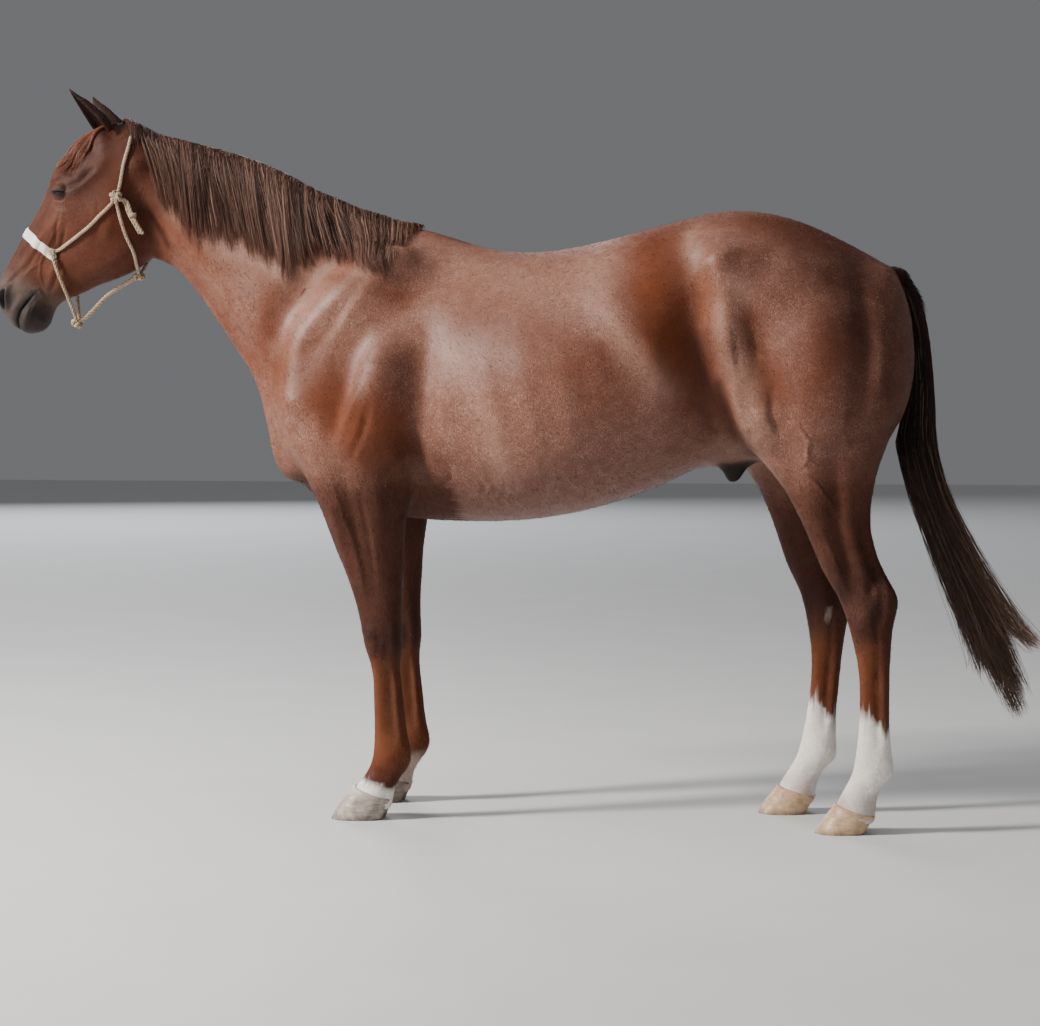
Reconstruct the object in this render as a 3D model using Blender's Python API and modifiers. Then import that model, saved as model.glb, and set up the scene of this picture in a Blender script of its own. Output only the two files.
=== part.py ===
"""A standing stock-type horse: the body fused from lofts and muscle masses."""
import bmesh
import bpy
import math
import numpy as np
from mathutils import Matrix, Vector
from mathutils.bvhtree import BVHTree

VOXEL = 0.010
RING = 40

# ---------------------------------------------------------------- body tables
# top and bottom of the section in the plane of symmetry (x, z), half width, height of the
# widest place, and the roundness of the upper and the lower half (2 is an ellipse)
BODY = [
    ("under tail", (1.005, 1.270), (0.990, 1.070), 0.075, 0.50, 2.0, 2.0),
    ("tail head", (0.955, 1.358), (0.930, 0.985), 0.160, 0.52, 2.0, 2.0),
    ("rump", (0.850, 1.420), (0.830, 0.920), 0.222, 0.55, 2.3, 2.0),
    ("croup", (0.730, 1.474), (0.720, 0.885), 0.252, 0.56, 2.4, 2.0),
    ("hip", (0.600, 1.497), (0.600, 0.872), 0.262, 0.60, 2.4, 2.0),
    ("loin", (0.490, 1.481), (0.500, 0.862), 0.258, 0.57, 2.3, 2.1),
    ("flank", (0.390, 1.457), (0.400, 0.818), 0.274, 0.50, 2.2, 2.2),
    ("barrel", (0.240, 1.421), (0.250, 0.765), 0.292, 0.46, 2.1, 2.2),
    ("back", (0.100, 1.402), (0.110, 0.737), 0.284, 0.45, 2.0, 2.2),
    ("girth", (-0.020, 1.413), (-0.010, 0.728), 0.255, 0.44, 1.85, 2.1),
    ("withers back", (-0.120, 1.450), (-0.110, 0.728), 0.230, 0.42, 1.65, 2.0),
    ("withers", (-0.230, 1.482), (-0.230, 0.735), 0.205, 0.40, 1.5, 2.0),
    ("shoulder", (-0.340, 1.508), (-0.425, 0.762), 0.190, 0.40, 1.5, 2.0),
    ("breast", (-0.440, 1.560), (-0.545, 0.868), 0.168, 0.42, 1.6, 2.0),
    ("neck base", (-0.530, 1.608), (-0.604, 1.015), 0.135, 0.42, 1.7, 2.0),
    ("low neck", (-0.640, 1.655), (-0.658, 1.114), 0.112, 0.42, 1.8, 1.9),
    ("mid neck", (-0.750, 1.686), (-0.719, 1.203), 0.096, 0.44, 1.8, 1.8),
    ("high neck", (-0.845, 1.701), (-0.781, 1.289), 0.086, 0.47, 1.8, 1.8),
    ("throat", (-0.915, 1.714), (-0.842, 1.362), 0.080, 0.50, 1.8, 1.9),
    ("nape", (-0.965, 1.716), (-0.895, 1.388), 0.070, 0.52, 1.8, 1.9),
]
# the head's own axes: along the face from the poll, and out of the face
POLL = (-0.979, 1.750)
FACE_ALONG = (-0.504, -0.863)
FACE_OUT = (-0.863, 0.504)
# distance from the poll, face line, jaw line, half width, height of the widest place, roundness
HEAD = [
    ("poll", 0.000, -0.008, -0.190, 0.058, 0.50, 2.0, 2.0),
    ("ears", 0.050, 0.036, -0.222, 0.074, 0.54, 2.2, 2.0),
    ("forehead", 0.110, 0.070, -0.244, 0.088, 0.60, 2.4, 2.2),
    ("brow", 0.180, 0.079, -0.252, 0.094, 0.64, 2.4, 2.3),
    ("eyes", 0.240, 0.083, -0.250, 0.094, 0.66, 2.3, 2.5),
    ("cheek", 0.300, 0.077, -0.232, 0.085, 0.64, 2.2, 2.5),
    ("crest", 0.350, 0.079, -0.201, 0.073, 0.64, 2.2, 2.3),
    ("nose", 0.400, 0.082, -0.158, 0.060, 0.62, 2.2, 2.1),
    ("bars", 0.445, 0.084, -0.127, 0.050, 0.58, 2.2, 2.0),
    ("chin groove", 0.490, 0.085, -0.091, 0.046, 0.55, 2.2, 2.0),
    ("nostrils", 0.530, 0.080, -0.088, 0.051, 0.55, 2.3, 2.1),
    ("lips", 0.566, 0.054, -0.090, 0.050, 0.52, 2.4, 2.3),
    ("muzzle", 0.590, 0.024, -0.074, 0.040, 0.50, 2.4, 2.4),
    ("tip", 0.604, -0.004, -0.046, 0.022, 0.50, 2.2, 2.2),
]
# height, front, rear, inner side, outer side, and roundness
FORELEG = [
    (1.060, -0.520, -0.170, 0.020, 0.225, 2.0),
    (0.980, -0.520, -0.165, 0.030, 0.240, 2.1),
    (0.900, -0.485, -0.170, 0.045, 0.245, 2.2),
    (0.830, -0.452, -0.180, 0.060, 0.236, 2.2),
    (0.763, -0.418, -0.198, 0.075, 0.224, 2.2),
    (0.660, -0.380, -0.206, 0.088, 0.207, 2.2),
    (0.598, -0.354, -0.209, 0.096, 0.198, 2.2),
    (0.527, -0.331, -0.213, 0.102, 0.190, 2.3),
    (0.470, -0.318, -0.213, 0.101, 0.190, 2.5),
    (0.425, -0.309, -0.211, 0.101, 0.189, 2.6),
    (0.390, -0.298, -0.216, 0.106, 0.184, 2.4),
    (0.350, -0.291, -0.214, 0.113, 0.175, 2.2),
    (0.287, -0.290, -0.206, 0.116, 0.172, 2.2),
    (0.215, -0.288, -0.198, 0.115, 0.173, 2.2),
    (0.165, -0.290, -0.188, 0.108, 0.180, 2.3),
    (0.135, -0.297, -0.192, 0.108, 0.180, 2.2),
    (0.105, -0.315, -0.214, 0.110, 0.178, 2.2),
    (0.075, -0.337, -0.232, 0.098, 0.190, 2.2),
    (0.050, -0.352, -0.236, 0.092, 0.196, 2.2),
    (0.020, -0.362, -0.240, 0.092, 0.196, 2.2),
]
HINDLEG = [
    (1.340, 0.600, 0.930, 0.020, 0.170, 2.0),
    (1.260, 0.575, 1.000, 0.012, 0.225, 2.1),
    (1.170, 0.570, 1.026, 0.010, 0.262, 2.2),
    (1.080, 0.580, 1.028, 0.012, 0.276, 2.2),
    (1.010, 0.588, 1.013, 0.018, 0.276, 2.2),
    (0.945, 0.608, 0.982, 0.030, 0.264, 2.2),
    (0.895, 0.655, 0.966, 0.050, 0.250, 2.2),
    (0.821, 0.718, 0.938, 0.074, 0.228, 2.2),
    (0.740, 0.762, 0.930, 0.088, 0.210, 2.2),
    (0.676, 0.790, 0.943, 0.096, 0.198, 2.2),
    (0.620, 0.814, 0.966, 0.101, 0.192, 2.2),
    (0.566, 0.846, 0.996, 0.102, 0.190, 2.2),
    (0.530, 0.862, 0.994, 0.101, 0.190, 2.3),
    (0.500, 0.872, 0.986, 0.101, 0.190, 2.4),
    (0.455, 0.884, 0.981, 0.104, 0.186, 2.4),
    (0.400, 0.895, 0.979, 0.112, 0.178, 2.2),
    (0.332, 0.900, 0.979, 0.115, 0.175, 2.2),
    (0.250, 0.898, 0.979, 0.115, 0.175, 2.2),
    (0.181, 0.891, 0.985, 0.110, 0.180, 2.3),
    (0.140, 0.883, 0.989, 0.107, 0.183, 2.2),
    (0.110, 0.867, 0.960, 0.110, 0.180, 2.2),
    (0.080, 0.852, 0.948, 0.100, 0.190, 2.2),
    (0.050, 0.838, 0.946, 0.095, 0.195, 2.2),
    (0.020, 0.830, 0.946, 0.095, 0.195, 2.2),
]
# centre, half sizes along, across and through, and pitch of the long side in the side view
MASSES = [
    ("shoulder blade", (-0.335, 0.118, 1.225), (0.240, 0.120, 0.070), 52),
    ("point of shoulder", (-0.430, 0.135, 1.030), (0.130, 0.100, 0.085), 62),
    ("triceps", (-0.270, 0.150, 1.030), (0.180, 0.120, 0.085), 75),
    ("breast muscle", (-0.460, 0.080, 0.945), (0.130, 0.095, 0.085), 62),
    ("croup muscle", (0.700, 0.120, 1.330), (0.240, 0.115, 0.125), -12),
    ("thigh", (0.800, 0.145, 1.130), (0.220, 0.200, 0.130), 80),
    ("stifle", (0.690, 0.160, 1.020), (0.150, 0.085, 0.095), 100),
    ("buttock", (0.942, 0.095, 1.150), (0.220, 0.085, 0.090), 88),
    ("dock", (0.985, 0.000, 1.328), (0.050, 0.030, 0.030), -38),
    ("sheath", (0.578, 0.016, 0.876), (0.062, 0.034, 0.026), 50),
]
# lines drawn on the flank in (x, z): how far the skin is raised or sunk along them, and how wide
FLANK_LINES = [
    ("front of shoulder", 0.016, 0.036, [(-0.30, 1.38), (-0.37, 1.31), (-0.42, 1.24), (-0.46, 1.18),
                                         (-0.48, 1.09), (-0.49, 0.98), (-0.475, 0.92)]),
    ("shoulder groove", -0.012, 0.020, [(-0.31, 1.31), (-0.38, 1.215), (-0.43, 1.155), (-0.445, 1.09)]),
    ("shoulder spine", 0.012, 0.032, [(-0.23, 1.38), (-0.30, 1.31), (-0.345, 1.245), (-0.395, 1.165),
                                      (-0.41, 1.08)]),
    ("ahead of shoulder", -0.022, 0.042, [(-0.42, 1.36), (-0.46, 1.31), (-0.51, 1.25), (-0.542, 1.18),
                                          (-0.54, 1.11)]),
    ("triceps", 0.013, 0.055, [(-0.19, 1.20), (-0.235, 1.16), (-0.26, 1.09), (-0.28, 1.03),
                               (-0.265, 0.96)]),
    ("ahead of triceps", -0.014, 0.028, [(-0.31, 1.15), (-0.335, 1.06), (-0.36, 0.97), (-0.37, 0.92)]),
    ("behind elbow", -0.019, 0.034, [(-0.14, 1.19), (-0.145, 1.10), (-0.150, 1.01), (-0.165, 0.92),
                                     (-0.165, 0.85)]),
    ("elbow", 0.010, 0.028, [(-0.205, 0.905), (-0.200, 0.875)]),
    ("point of shoulder", 0.012, 0.050, [(-0.455, 1.05), (-0.45, 1.00)]),
    ("forearm front", 0.010, 0.030, [(-0.41, 0.87), (-0.375, 0.78), (-0.345, 0.69)]),
    ("forearm groove", -0.008, 0.013, [(-0.345, 0.88), (-0.325, 0.78), (-0.300, 0.66), (-0.285, 0.56)]),
    ("forearm rear", 0.006, 0.026, [(-0.265, 0.87), (-0.255, 0.76), (-0.25, 0.68)]),
    ("last rib", 0.014, 0.050, [(0.27, 1.30), (0.33, 1.24), (0.40, 1.17), (0.455, 1.09), (0.46, 1.01),
                                (0.42, 0.93)]),
    ("flank hollow", -0.034, 0.052, [(0.505, 1.34), (0.525, 1.25), (0.520, 1.15), (0.520, 1.04),
                                     (0.545, 0.95)]),
    ("thigh front", 0.020, 0.034, [(0.575, 1.31), (0.585, 1.21), (0.605, 1.12), (0.625, 1.04),
                                   (0.645, 0.98)]),
    ("hip point", 0.024, 0.044, [(0.565, 1.385), (0.580, 1.340)]),
    ("behind hip", -0.012, 0.050, [(0.66, 1.36), (0.72, 1.34)]),
    ("thigh groove", -0.014, 0.030, [(0.645, 1.26), (0.675, 1.17), (0.705, 1.07), (0.735, 0.98),
                                     (0.745, 0.92)]),
    ("biceps", 0.012, 0.065, [(0.80, 1.28), (0.82, 1.14), (0.81, 1.02)]),
    ("poverty line", -0.012, 0.018, [(0.895, 1.34), (0.915, 1.24), (0.922, 1.12), (0.905, 1.00),
                                     (0.875, 0.90)]),
    ("kneecap", 0.014, 0.040, [(0.668, 1.00), (0.680, 0.955)]),
    ("below kneecap", -0.008, 0.018, [(0.725, 0.93), (0.750, 0.88), (0.765, 0.84)]),
    ("gaskin front", 0.010, 0.028, [(0.775, 0.88), (0.795, 0.78), (0.825, 0.68), (0.85, 0.61)]),
    ("gaskin groove", -0.012, 0.015, [(0.845, 0.93), (0.850, 0.82), (0.855, 0.72), (0.880, 0.63),
                                      (0.895, 0.58)]),
    ("hamstring hollow", -0.016, 0.013, [(0.915, 0.76), (0.922, 0.70), (0.938, 0.64), (0.952, 0.60)]),
    ("throat groove", -0.014, 0.024, [(-0.835, 1.46), (-0.79, 1.39), (-0.735, 1.30), (-0.665, 1.205),
                                      (-0.61, 1.12), (-0.575, 1.06)]),
    ("neck band", 0.007, 0.036, [(-0.88, 1.55), (-0.80, 1.47), (-0.72, 1.38), (-0.64, 1.29),
                                 (-0.56, 1.20)]),
    ("neck hollow", -0.008, 0.045, [(-0.80, 1.58), (-0.68, 1.50), (-0.56, 1.41), (-0.46, 1.36)]),
    ("atlas", 0.012, 0.030, [(-0.925, 1.645), (-0.905, 1.60)]),
    ("behind jaw", -0.016, 0.022, [(-0.915, 1.56), (-0.885, 1.49), (-0.868, 1.43)]),
    ("below withers", -0.010, 0.060, [(-0.15, 1.37), (-0.05, 1.34)]),
]
# the same on the front of the chest and on the back of the quarters in (y, z)
FRONT_LINES = [
    ("between breasts", -0.028, 0.026, [(0.0, 1.10), (0.0, 1.00), (0.0, 0.90)]),
    ("breast", 0.010, 0.050, [(0.085, 1.04), (0.080, 0.96), (0.085, 0.89)]),
    ("breast to arm", -0.014, 0.022, [(0.150, 0.99), (0.135, 0.90), (0.120, 0.84)]),
]
REAR_LINES = [
    ("cleft", -0.035, 0.030, [(0.0, 1.30), (0.0, 1.15), (0.0, 1.00), (0.0, 0.90)]),
    ("buttock", 0.008, 0.040, [(0.085, 1.22), (0.090, 1.05), (0.100, 0.93)]),
    ("inner gaskin", -0.010, 0.020, [(0.130, 0.95), (0.140, 0.85)]),
]
# the same on the sides of the head, in (along, out) from the poll
HEAD_LINES = [
    ("face ridge", 0.007, 0.014, [(0.285, -0.010), (0.340, 0.004), (0.400, 0.020)]),
    ("below face ridge", -0.008, 0.024, [(0.330, -0.060), (0.380, -0.030), (0.440, -0.010)]),
    ("masseter", 0.012, 0.060, [(0.170, -0.120), (0.230, -0.120), (0.270, -0.100)]),
    ("jaw edge", 0.005, 0.018, [(0.200, -0.205), (0.270, -0.205), (0.330, -0.175), (0.390, -0.125)]),
    ("temple hollow", -0.014, 0.020, [(0.150, 0.040), (0.170, 0.036)]),
    ("brow", 0.012, 0.018, [(0.165, 0.062), (0.200, 0.060), (0.235, 0.050)]),
    ("cheekbone", 0.009, 0.014, [(0.235, 0.006), (0.200, -0.012), (0.150, -0.030), (0.110, -0.040)]),
    ("nose edge", 0.004, 0.014, [(0.290, 0.060), (0.380, 0.066), (0.460, 0.068)]),
    ("nose hollow", -0.007, 0.020, [(0.310, 0.034), (0.380, 0.044), (0.470, 0.045)]),
    ("before ear", -0.008, 0.020, [(0.095, 0.020), (0.110, 0.000)]),
    ("nostril", 0.008, 0.020, [(0.520, 0.045), (0.550, 0.040), (0.570, 0.020)]),
    ("above nostril", -0.004, 0.014, [(0.485, 0.056), (0.500, 0.030)]),
    ("chin", 0.005, 0.018, [(0.545, -0.050), (0.565, -0.040)]),
    ("cheek end", -0.006, 0.022, [(0.430, -0.050), (0.470, -0.035)]),
]
# joints and tendons, in (x, z) of the near legs
LEG_LINES = [
    ("knee top", -0.004, 0.010, [(-0.31, 0.487), (-0.23, 0.487)]),
    ("knee", 0.004, 0.018, [(-0.285, 0.455), (-0.285, 0.415)]),
    ("knee foot", -0.003, 0.008, [(-0.295, 0.392), (-0.25, 0.392)]),
    ("knee back", -0.006, 0.010, [(-0.247, 0.475), (-0.243, 0.42), (-0.250, 0.38)]),
    ("cannon groove", -0.007, 0.009, [(-0.246, 0.37), (-0.244, 0.28), (-0.238, 0.20)]),
    ("fetlock", 0.004, 0.020, [(-0.243, 0.165), (-0.243, 0.150)]),
    ("heel of pastern", -0.004, 0.012, [(-0.245, 0.118), (-0.262, 0.100)]),
    ("hock", 0.006, 0.024, [(0.920, 0.545), (0.925, 0.500)]),
    ("hock bone groove", -0.007, 0.010, [(0.962, 0.580), (0.955, 0.540), (0.950, 0.490)]),
    ("hock foot", -0.003, 0.009, [(0.890, 0.452), (0.960, 0.452)]),
    ("hind cannon groove", -0.007, 0.009, [(0.945, 0.43), (0.944, 0.33), (0.946, 0.22)]),
    ("hind fetlock", 0.004, 0.020, [(0.938, 0.165), (0.938, 0.145)]),
    ("hind heel of pastern", -0.004, 0.012, [(0.930, 0.112), (0.915, 0.095)]),
]


def blend_rows(rows, steps):
    """Rows of numbers, with smooth values put in between each two."""
    rows = np.array(rows, float)
    tangent = np.gradient(rows, axis=0)
    out = []
    for i in range(len(rows) - 1):
        for t in np.linspace(0, 1, steps, endpoint=False):
            a, b = rows[i], rows[i + 1]
            ta, tb = tangent[i], tangent[i + 1]
            out.append(a * (2 * t**3 - 3 * t**2 + 1) + ta * (t**3 - 2 * t**2 + t)
                       + b * (3 * t**2 - 2 * t**3) + tb * (t**3 - t**2))
    return out + [rows[-1]]


def section(low, high, half_width, widest, round_high, round_low):
    """A ring in the upright plane through low and high, two (x, z) points."""
    low, high = np.array(low), np.array(high)
    ring = []
    for k in range(RING):
        angle = 2 * math.pi * k / RING
        side, rise = math.sin(angle), math.cos(angle)
        power = 2 / (round_high if rise > 0 else round_low)
        reach = (1 - widest) if rise > 0 else widest
        height = widest + reach * math.copysign(abs(rise) ** power, rise)
        x, z = low + (high - low) * height
        y = half_width * math.copysign(abs(side) ** power, side)
        ring.append((x, y, z))
    return ring


def level_ring(z, front, rear, inner, outer, roundness):
    """A ring at one height, between front and rear, inner and outer side."""
    ring = []
    for k in range(RING):
        angle = 2 * math.pi * k / RING
        c, s = math.cos(angle), math.sin(angle)
        power = 2 / roundness
        x = (front + rear) / 2 + (rear - front) / 2 * math.copysign(abs(c) ** power, c)
        y = (inner + outer) / 2 + (outer - inner) / 2 * math.copysign(abs(s) ** power, s)
        ring.append((x, y, z))
    return ring


def loft(name, rings):
    """A closed tube through the rings, all with the same number of points."""
    verts = [p for ring in rings for p in ring]
    faces = []
    n = len(rings[0])
    for i in range(len(rings) - 1):
        for k in range(n):
            a, b = i * n + k, i * n + (k + 1) % n
            faces.append((a, b, b + n, a + n))
    faces.append(tuple(range(n))[::-1])
    faces.append(tuple(range(len(verts) - n, len(verts))))
    mesh = bpy.data.meshes.new(name)
    mesh.from_pydata(verts, [], faces)
    mesh.update()
    piece = bpy.data.objects.new(name, mesh)
    bpy.context.scene.collection.objects.link(piece)
    return piece


def head_point(along, out):
    return (POLL[0] + along * FACE_ALONG[0] + out * FACE_OUT[0],
            POLL[1] + along * FACE_ALONG[1] + out * FACE_OUT[1])


def body_loft():
    rows = [(*high, *low, w, c, a, b) for _, high, low, w, c, a, b in BODY]
    return loft("body", [section(r[2:4], r[0:2], *r[4:]) for r in blend_rows(rows, 4)])


def head_loft():
    rings = []
    for along, face, jaw, w, c, a, b in blend_rows([row[1:] for row in HEAD], 3):
        rings.append(section(head_point(along, jaw), head_point(along, face), w, c, a, b))
    return loft("head", rings)


def leg_loft(name, table, side, pose):
    rings = []
    for row in blend_rows(table, 3):
        ring = np.array(level_ring(*row))
        ring[:, 1] *= side
        ring[:, 0] += pose(ring[:, 2])
        rings.append([tuple(p) for p in ring])
    return loft(name, rings)


def fore_pose(side):
    """How far back or forward the foreleg stands at a height, against the near one."""
    return lambda z: 0 * z if side < 0 else -0.020 * np.clip((0.95 - z) / 0.3, 0, 1)


def hind_pose(side):
    def shift(z):
        if side < 0:
            return 0 * z
        fade = np.clip((1.32 - z) / 0.45, 0, 1)
        return -(0.157 - 0.093 * (z - 0.14)) * fade * fade * (3 - 2 * fade)
    return shift


def mass(name, centre, half, pitch, side):
    bpy.ops.mesh.primitive_uv_sphere_add(segments=32, ring_count=20, radius=1)
    piece = bpy.context.object
    piece.name = name
    piece.scale = (half[0], half[2], half[1])
    piece.rotation_euler = (0, -math.radians(pitch), 0)
    piece.location = (centre[0], centre[1] * side, centre[2])
    bpy.context.view_layer.update()
    piece.data.transform(piece.matrix_world)
    piece.matrix_world = Matrix.Identity(4)
    return piece


def bend(x, y, z):
    """How far the far legs and the muscle above them stand from the near ones."""
    shift = np.where(x > 0.3, hind_pose(1)(z), np.where(z < 0.97, fore_pose(1)(z), 0))
    return np.where(y > 0, shift, 0)


def points_of(mesh):
    co = np.empty(len(mesh.vertices) * 3)
    mesh.vertices.foreach_get("co", co)
    return co.reshape(-1, 3)


def normals_of(mesh):
    nor = np.empty(len(mesh.vertices) * 3)
    mesh.vertex_normals.foreach_get("vector", nor)
    return nor.reshape(-1, 3)


def move_points(mesh, co):
    mesh.vertices.foreach_set("co", co.ravel())
    mesh.update()


def links(mesh):
    ends = np.empty(len(mesh.edges) * 2, int)
    mesh.edges.foreach_get("vertices", ends)
    return ends[0::2], ends[1::2]


def relax(co, a, b, weight, rounds):
    """Evens the skin out, each point towards the middle of its neighbours."""
    n = len(co)
    count = np.maximum(np.bincount(a, minlength=n) + np.bincount(b, minlength=n), 1)
    for _ in range(rounds):
        mean = np.empty_like(co)
        for k in range(3):
            mean[:, k] = (np.bincount(a, co[b, k], n) + np.bincount(b, co[a, k], n)) / count
        co += (mean - co) * weight[:, None]
    return co


def ramp(value, low, high):
    t = np.clip((value - low) / (high - low), 0, 1)
    return t * t * (3 - 2 * t)


def line_gap(u, v, line):
    """Distance of each (u, v) from a line through points."""
    gap = np.full(len(u), 9.0)
    place = np.zeros(len(u))
    for i, ((ax, ay), (bx, by)) in enumerate(zip(line, line[1:])):
        dx, dy = bx - ax, by - ay
        t = np.clip(((u - ax) * dx + (v - ay) * dy) / (dx * dx + dy * dy), 0, 1)
        here = np.hypot(u - ax - t * dx, v - ay - t * dy)
        place = np.where(here < gap, (i + t) / (len(line) - 1), place)
        gap = np.minimum(gap, here)
    return gap, place


def stroke(u, v, depth, width, line):
    """Height of a soft ridge or groove along a line, weaker at its ends."""
    gap, place = line_gap(u, v, line)
    fade = 0.45 + 0.55 * ramp(np.minimum(place, 1 - place), 0, 0.3)
    return depth * fade * np.exp(-(gap / width) ** 2)


def carve(mesh):
    """Draws the muscles, bones and hollows on the skin."""
    co = points_of(mesh)
    nor = normals_of(mesh)
    x, y, z = co.T
    x = x - bend(x, y, z)
    move = np.zeros(len(co))
    side = ramp(np.abs(nor[:, 1]), 0.15, 0.65)
    outer = ramp(nor[:, 1] * np.sign(y), 0.10, 0.60)
    for _, depth, width, line in FLANK_LINES:
        move += stroke(x, z, depth, width, line) * (outer if line[0][1] > 0.8 else side)
    for _, depth, width, line in LEG_LINES:
        move += stroke(x, z, depth, width, line) * side * (z < 0.62)
    front = ramp(-nor[:, 0], 0.2, 0.7) * (x > -0.66) * (x < -0.3) * (z > 0.8)
    for _, depth, width, line in FRONT_LINES:
        move += stroke(np.abs(y), z, depth, width, line) * front
    rear = ramp(nor[:, 0], 0.2, 0.7) * (x > 0.8) * (z > 0.8)
    for _, depth, width, line in REAR_LINES:
        move += stroke(np.abs(y), z, depth, width, line) * rear
    along = (x - POLL[0]) * FACE_ALONG[0] + (z - POLL[1]) * FACE_ALONG[1]
    out = (x - POLL[0]) * FACE_OUT[0] + (z - POLL[1]) * FACE_OUT[1]
    head = ramp(along, 0.03, 0.09) * (out > -0.24) * (x < -0.85)
    for _, depth, width, line in HEAD_LINES:
        move += stroke(along, out, depth, width, line) * side * head
    move_points(mesh, co + nor * move[:, None])


def smooth(mesh, voxel):
    """Runs the masses into one another, most on the trunk."""
    co = points_of(mesh)
    a, b = links(mesh)
    trunk = ramp(co[:, 2], 0.80, 1.00) * ramp(co[:, 0], -0.92, -0.80)
    co = relax(co, a, b, trunk * 0.5, round(60 * (0.01 / voxel) ** 2))
    co = relax(co, a, b, np.full(len(co), 0.5), round(5 * (0.01 / voxel) ** 2))
    move_points(mesh, co)


def clear_scene():
    for obj in list(bpy.data.objects):
        bpy.data.objects.remove(obj)


def fuse(name, pieces, voxel):
    """Joins closed pieces into one skin."""
    whole = bmesh.new()
    for piece in pieces:
        whole.from_mesh(piece.data)
        bpy.data.objects.remove(piece)
    bmesh.ops.recalc_face_normals(whole, faces=whole.faces)
    mesh = bpy.data.meshes.new(name)
    whole.to_mesh(mesh)
    whole.free()
    obj = bpy.data.objects.new(name, mesh)
    bpy.context.scene.collection.objects.link(obj)
    remesh = obj.modifiers.new("fuse", "REMESH")
    remesh.mode = "VOXEL"
    remesh.voxel_size = voxel
    remesh.use_smooth_shade = True
    graph = bpy.context.evaluated_depsgraph_get()
    solid = bpy.data.meshes.new_from_object(obj.evaluated_get(graph))
    obj.modifiers.clear()
    obj.data = solid
    return obj


def soften(mesh, voxel):
    """A last light smoothing, strongest on the trunk."""
    co = points_of(mesh)
    a, b = links(mesh)
    weight = 0.15 + 0.35 * ramp(co[:, 2], 0.7, 0.95) * ramp(co[:, 0], -0.92, -0.80)
    move_points(mesh, relax(co, a, b, weight, round(8 * (0.01 / voxel) ** 2)))


def body():
    clear_scene()
    pieces = [body_loft(), head_loft()]
    for side in (-1, 1):
        pieces.append(leg_loft("foreleg", FORELEG, side, fore_pose(side)))
        pieces.append(leg_loft("hindleg", HINDLEG, side, hind_pose(side)))
        for name, centre, half, pitch in MASSES:
            piece = mass(name, centre, half, pitch, side)
            for vert in piece.data.vertices:
                vert.co.x += bend(vert.co.x, vert.co.y * side if side > 0 else -1, vert.co.z)
            pieces.append(piece)
    horse = fuse("horse", pieces, VOXEL)
    smooth(horse.data, VOXEL)
    carve(horse.data)
    soften(horse.data, VOXEL)
    return horse


# ---------------------------------------------------------------- other measures
WELD = 0.0001
GAP = 0.0003
SKIN_FACES = 3500
# the joints between the nodes of flesh: outlines in (x, z), each a convex prism across y
HEAD_CUT = [(-1.60, 1.80), (-0.948, 1.80), (-0.810, 1.02), (-1.60, 1.02)]
NECK_CUT = [(-0.9474, 1.80), (-0.1855, 1.80), (-0.633, 0.99), (-0.8094, 1.02)]
ELBOW_Z = 0.840
ELBOW_X = -0.172
STIFLE_LINE = [(0.56, 0.840), (1.25, 1.053)]
# the blocks that cut the legs off: reach fore and aft, and distance from the middle plane
LEG_BLOCKS = {"fore": ((-0.62, ELBOW_X), 0.050), "hind": ((0.56, 1.25), 0.012)}
FOOT_Z = 0.06
CLEARANCE = 0.0005
MANE_CLEARANCE = 0.0009
ROPE_CLEARANCE = 0.0006
CURVE_WELD = 0.00005
# hooves of the near side: toe and heel on the ground, coronet in front and behind (x, z),
# half widths at the coronet and on the ground
HOOVES = {
    "fore": (-0.394, -0.256, (-0.334, 0.082), (-0.237, 0.047), 0.052, 0.063),
    "hind": (0.797, 0.924, (0.849, 0.070), (0.946, 0.041), 0.050, 0.058),
}
HOOF_Y = 0.144
HOOF_SIDES = 16
HOOF_RINGS = (0.0, 0.10, 0.5, 1.0)
HOOF_ROLL = 0.002
HEEL_CLEFT = 0.011
HEEL_NARROWING = 0.12
EYE_AT = (0.234, 0.023)
EYE_Y = 0.0765
EYE_RADIUS = 0.0195
# along the ear: place (x, z) on the near side, y, half width, cup depth
EAR = [
    ((-1.010, 1.705), 0.054, 0.022, 0.010),
    ((-1.022, 1.722), 0.058, 0.029, 0.020),
    ((-1.036, 1.744), 0.064, 0.031, 0.024),
    ((-1.052, 1.768), 0.071, 0.026, 0.020),
    ((-1.070, 1.792), 0.078, 0.017, 0.012),
    ((-1.084, 1.809), 0.083, 0.008, 0.005),
    ((-1.090, 1.818), 0.085, 0.002, 0.001),
]
EAR_WALL = 0.0036
EAR_TIP_WALL = 0.0012
EAR_SEAM = 0.0008
EAR_OPENS = (-0.72, 0.60, -0.35)
EAR_ARC = 4
# crest of the mane and the ends of its locks on the near side (x, z)
CREST = [(-0.945, 1.752), (-0.885, 1.722), (-0.778, 1.706), (-0.672, 1.676), (-0.566, 1.634),
         (-0.462, 1.583), (-0.357, 1.530), (-0.254, 1.502), (-0.165, 1.477)]
MANE_ENDS = [(-0.925, 1.600), (-0.872, 1.540), (-0.815, 1.465), (-0.741, 1.385), (-0.690, 1.400),
             (-0.637, 1.384), (-0.585, 1.365), (-0.531, 1.333), (-0.505, 1.300), (-0.467, 1.342),
             (-0.426, 1.362), (-0.380, 1.358), (-0.326, 1.350), (-0.270, 1.320), (-0.225, 1.292),
             (-0.200, 1.355), (-0.140, 1.375), (-0.085, 1.392)]
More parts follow.
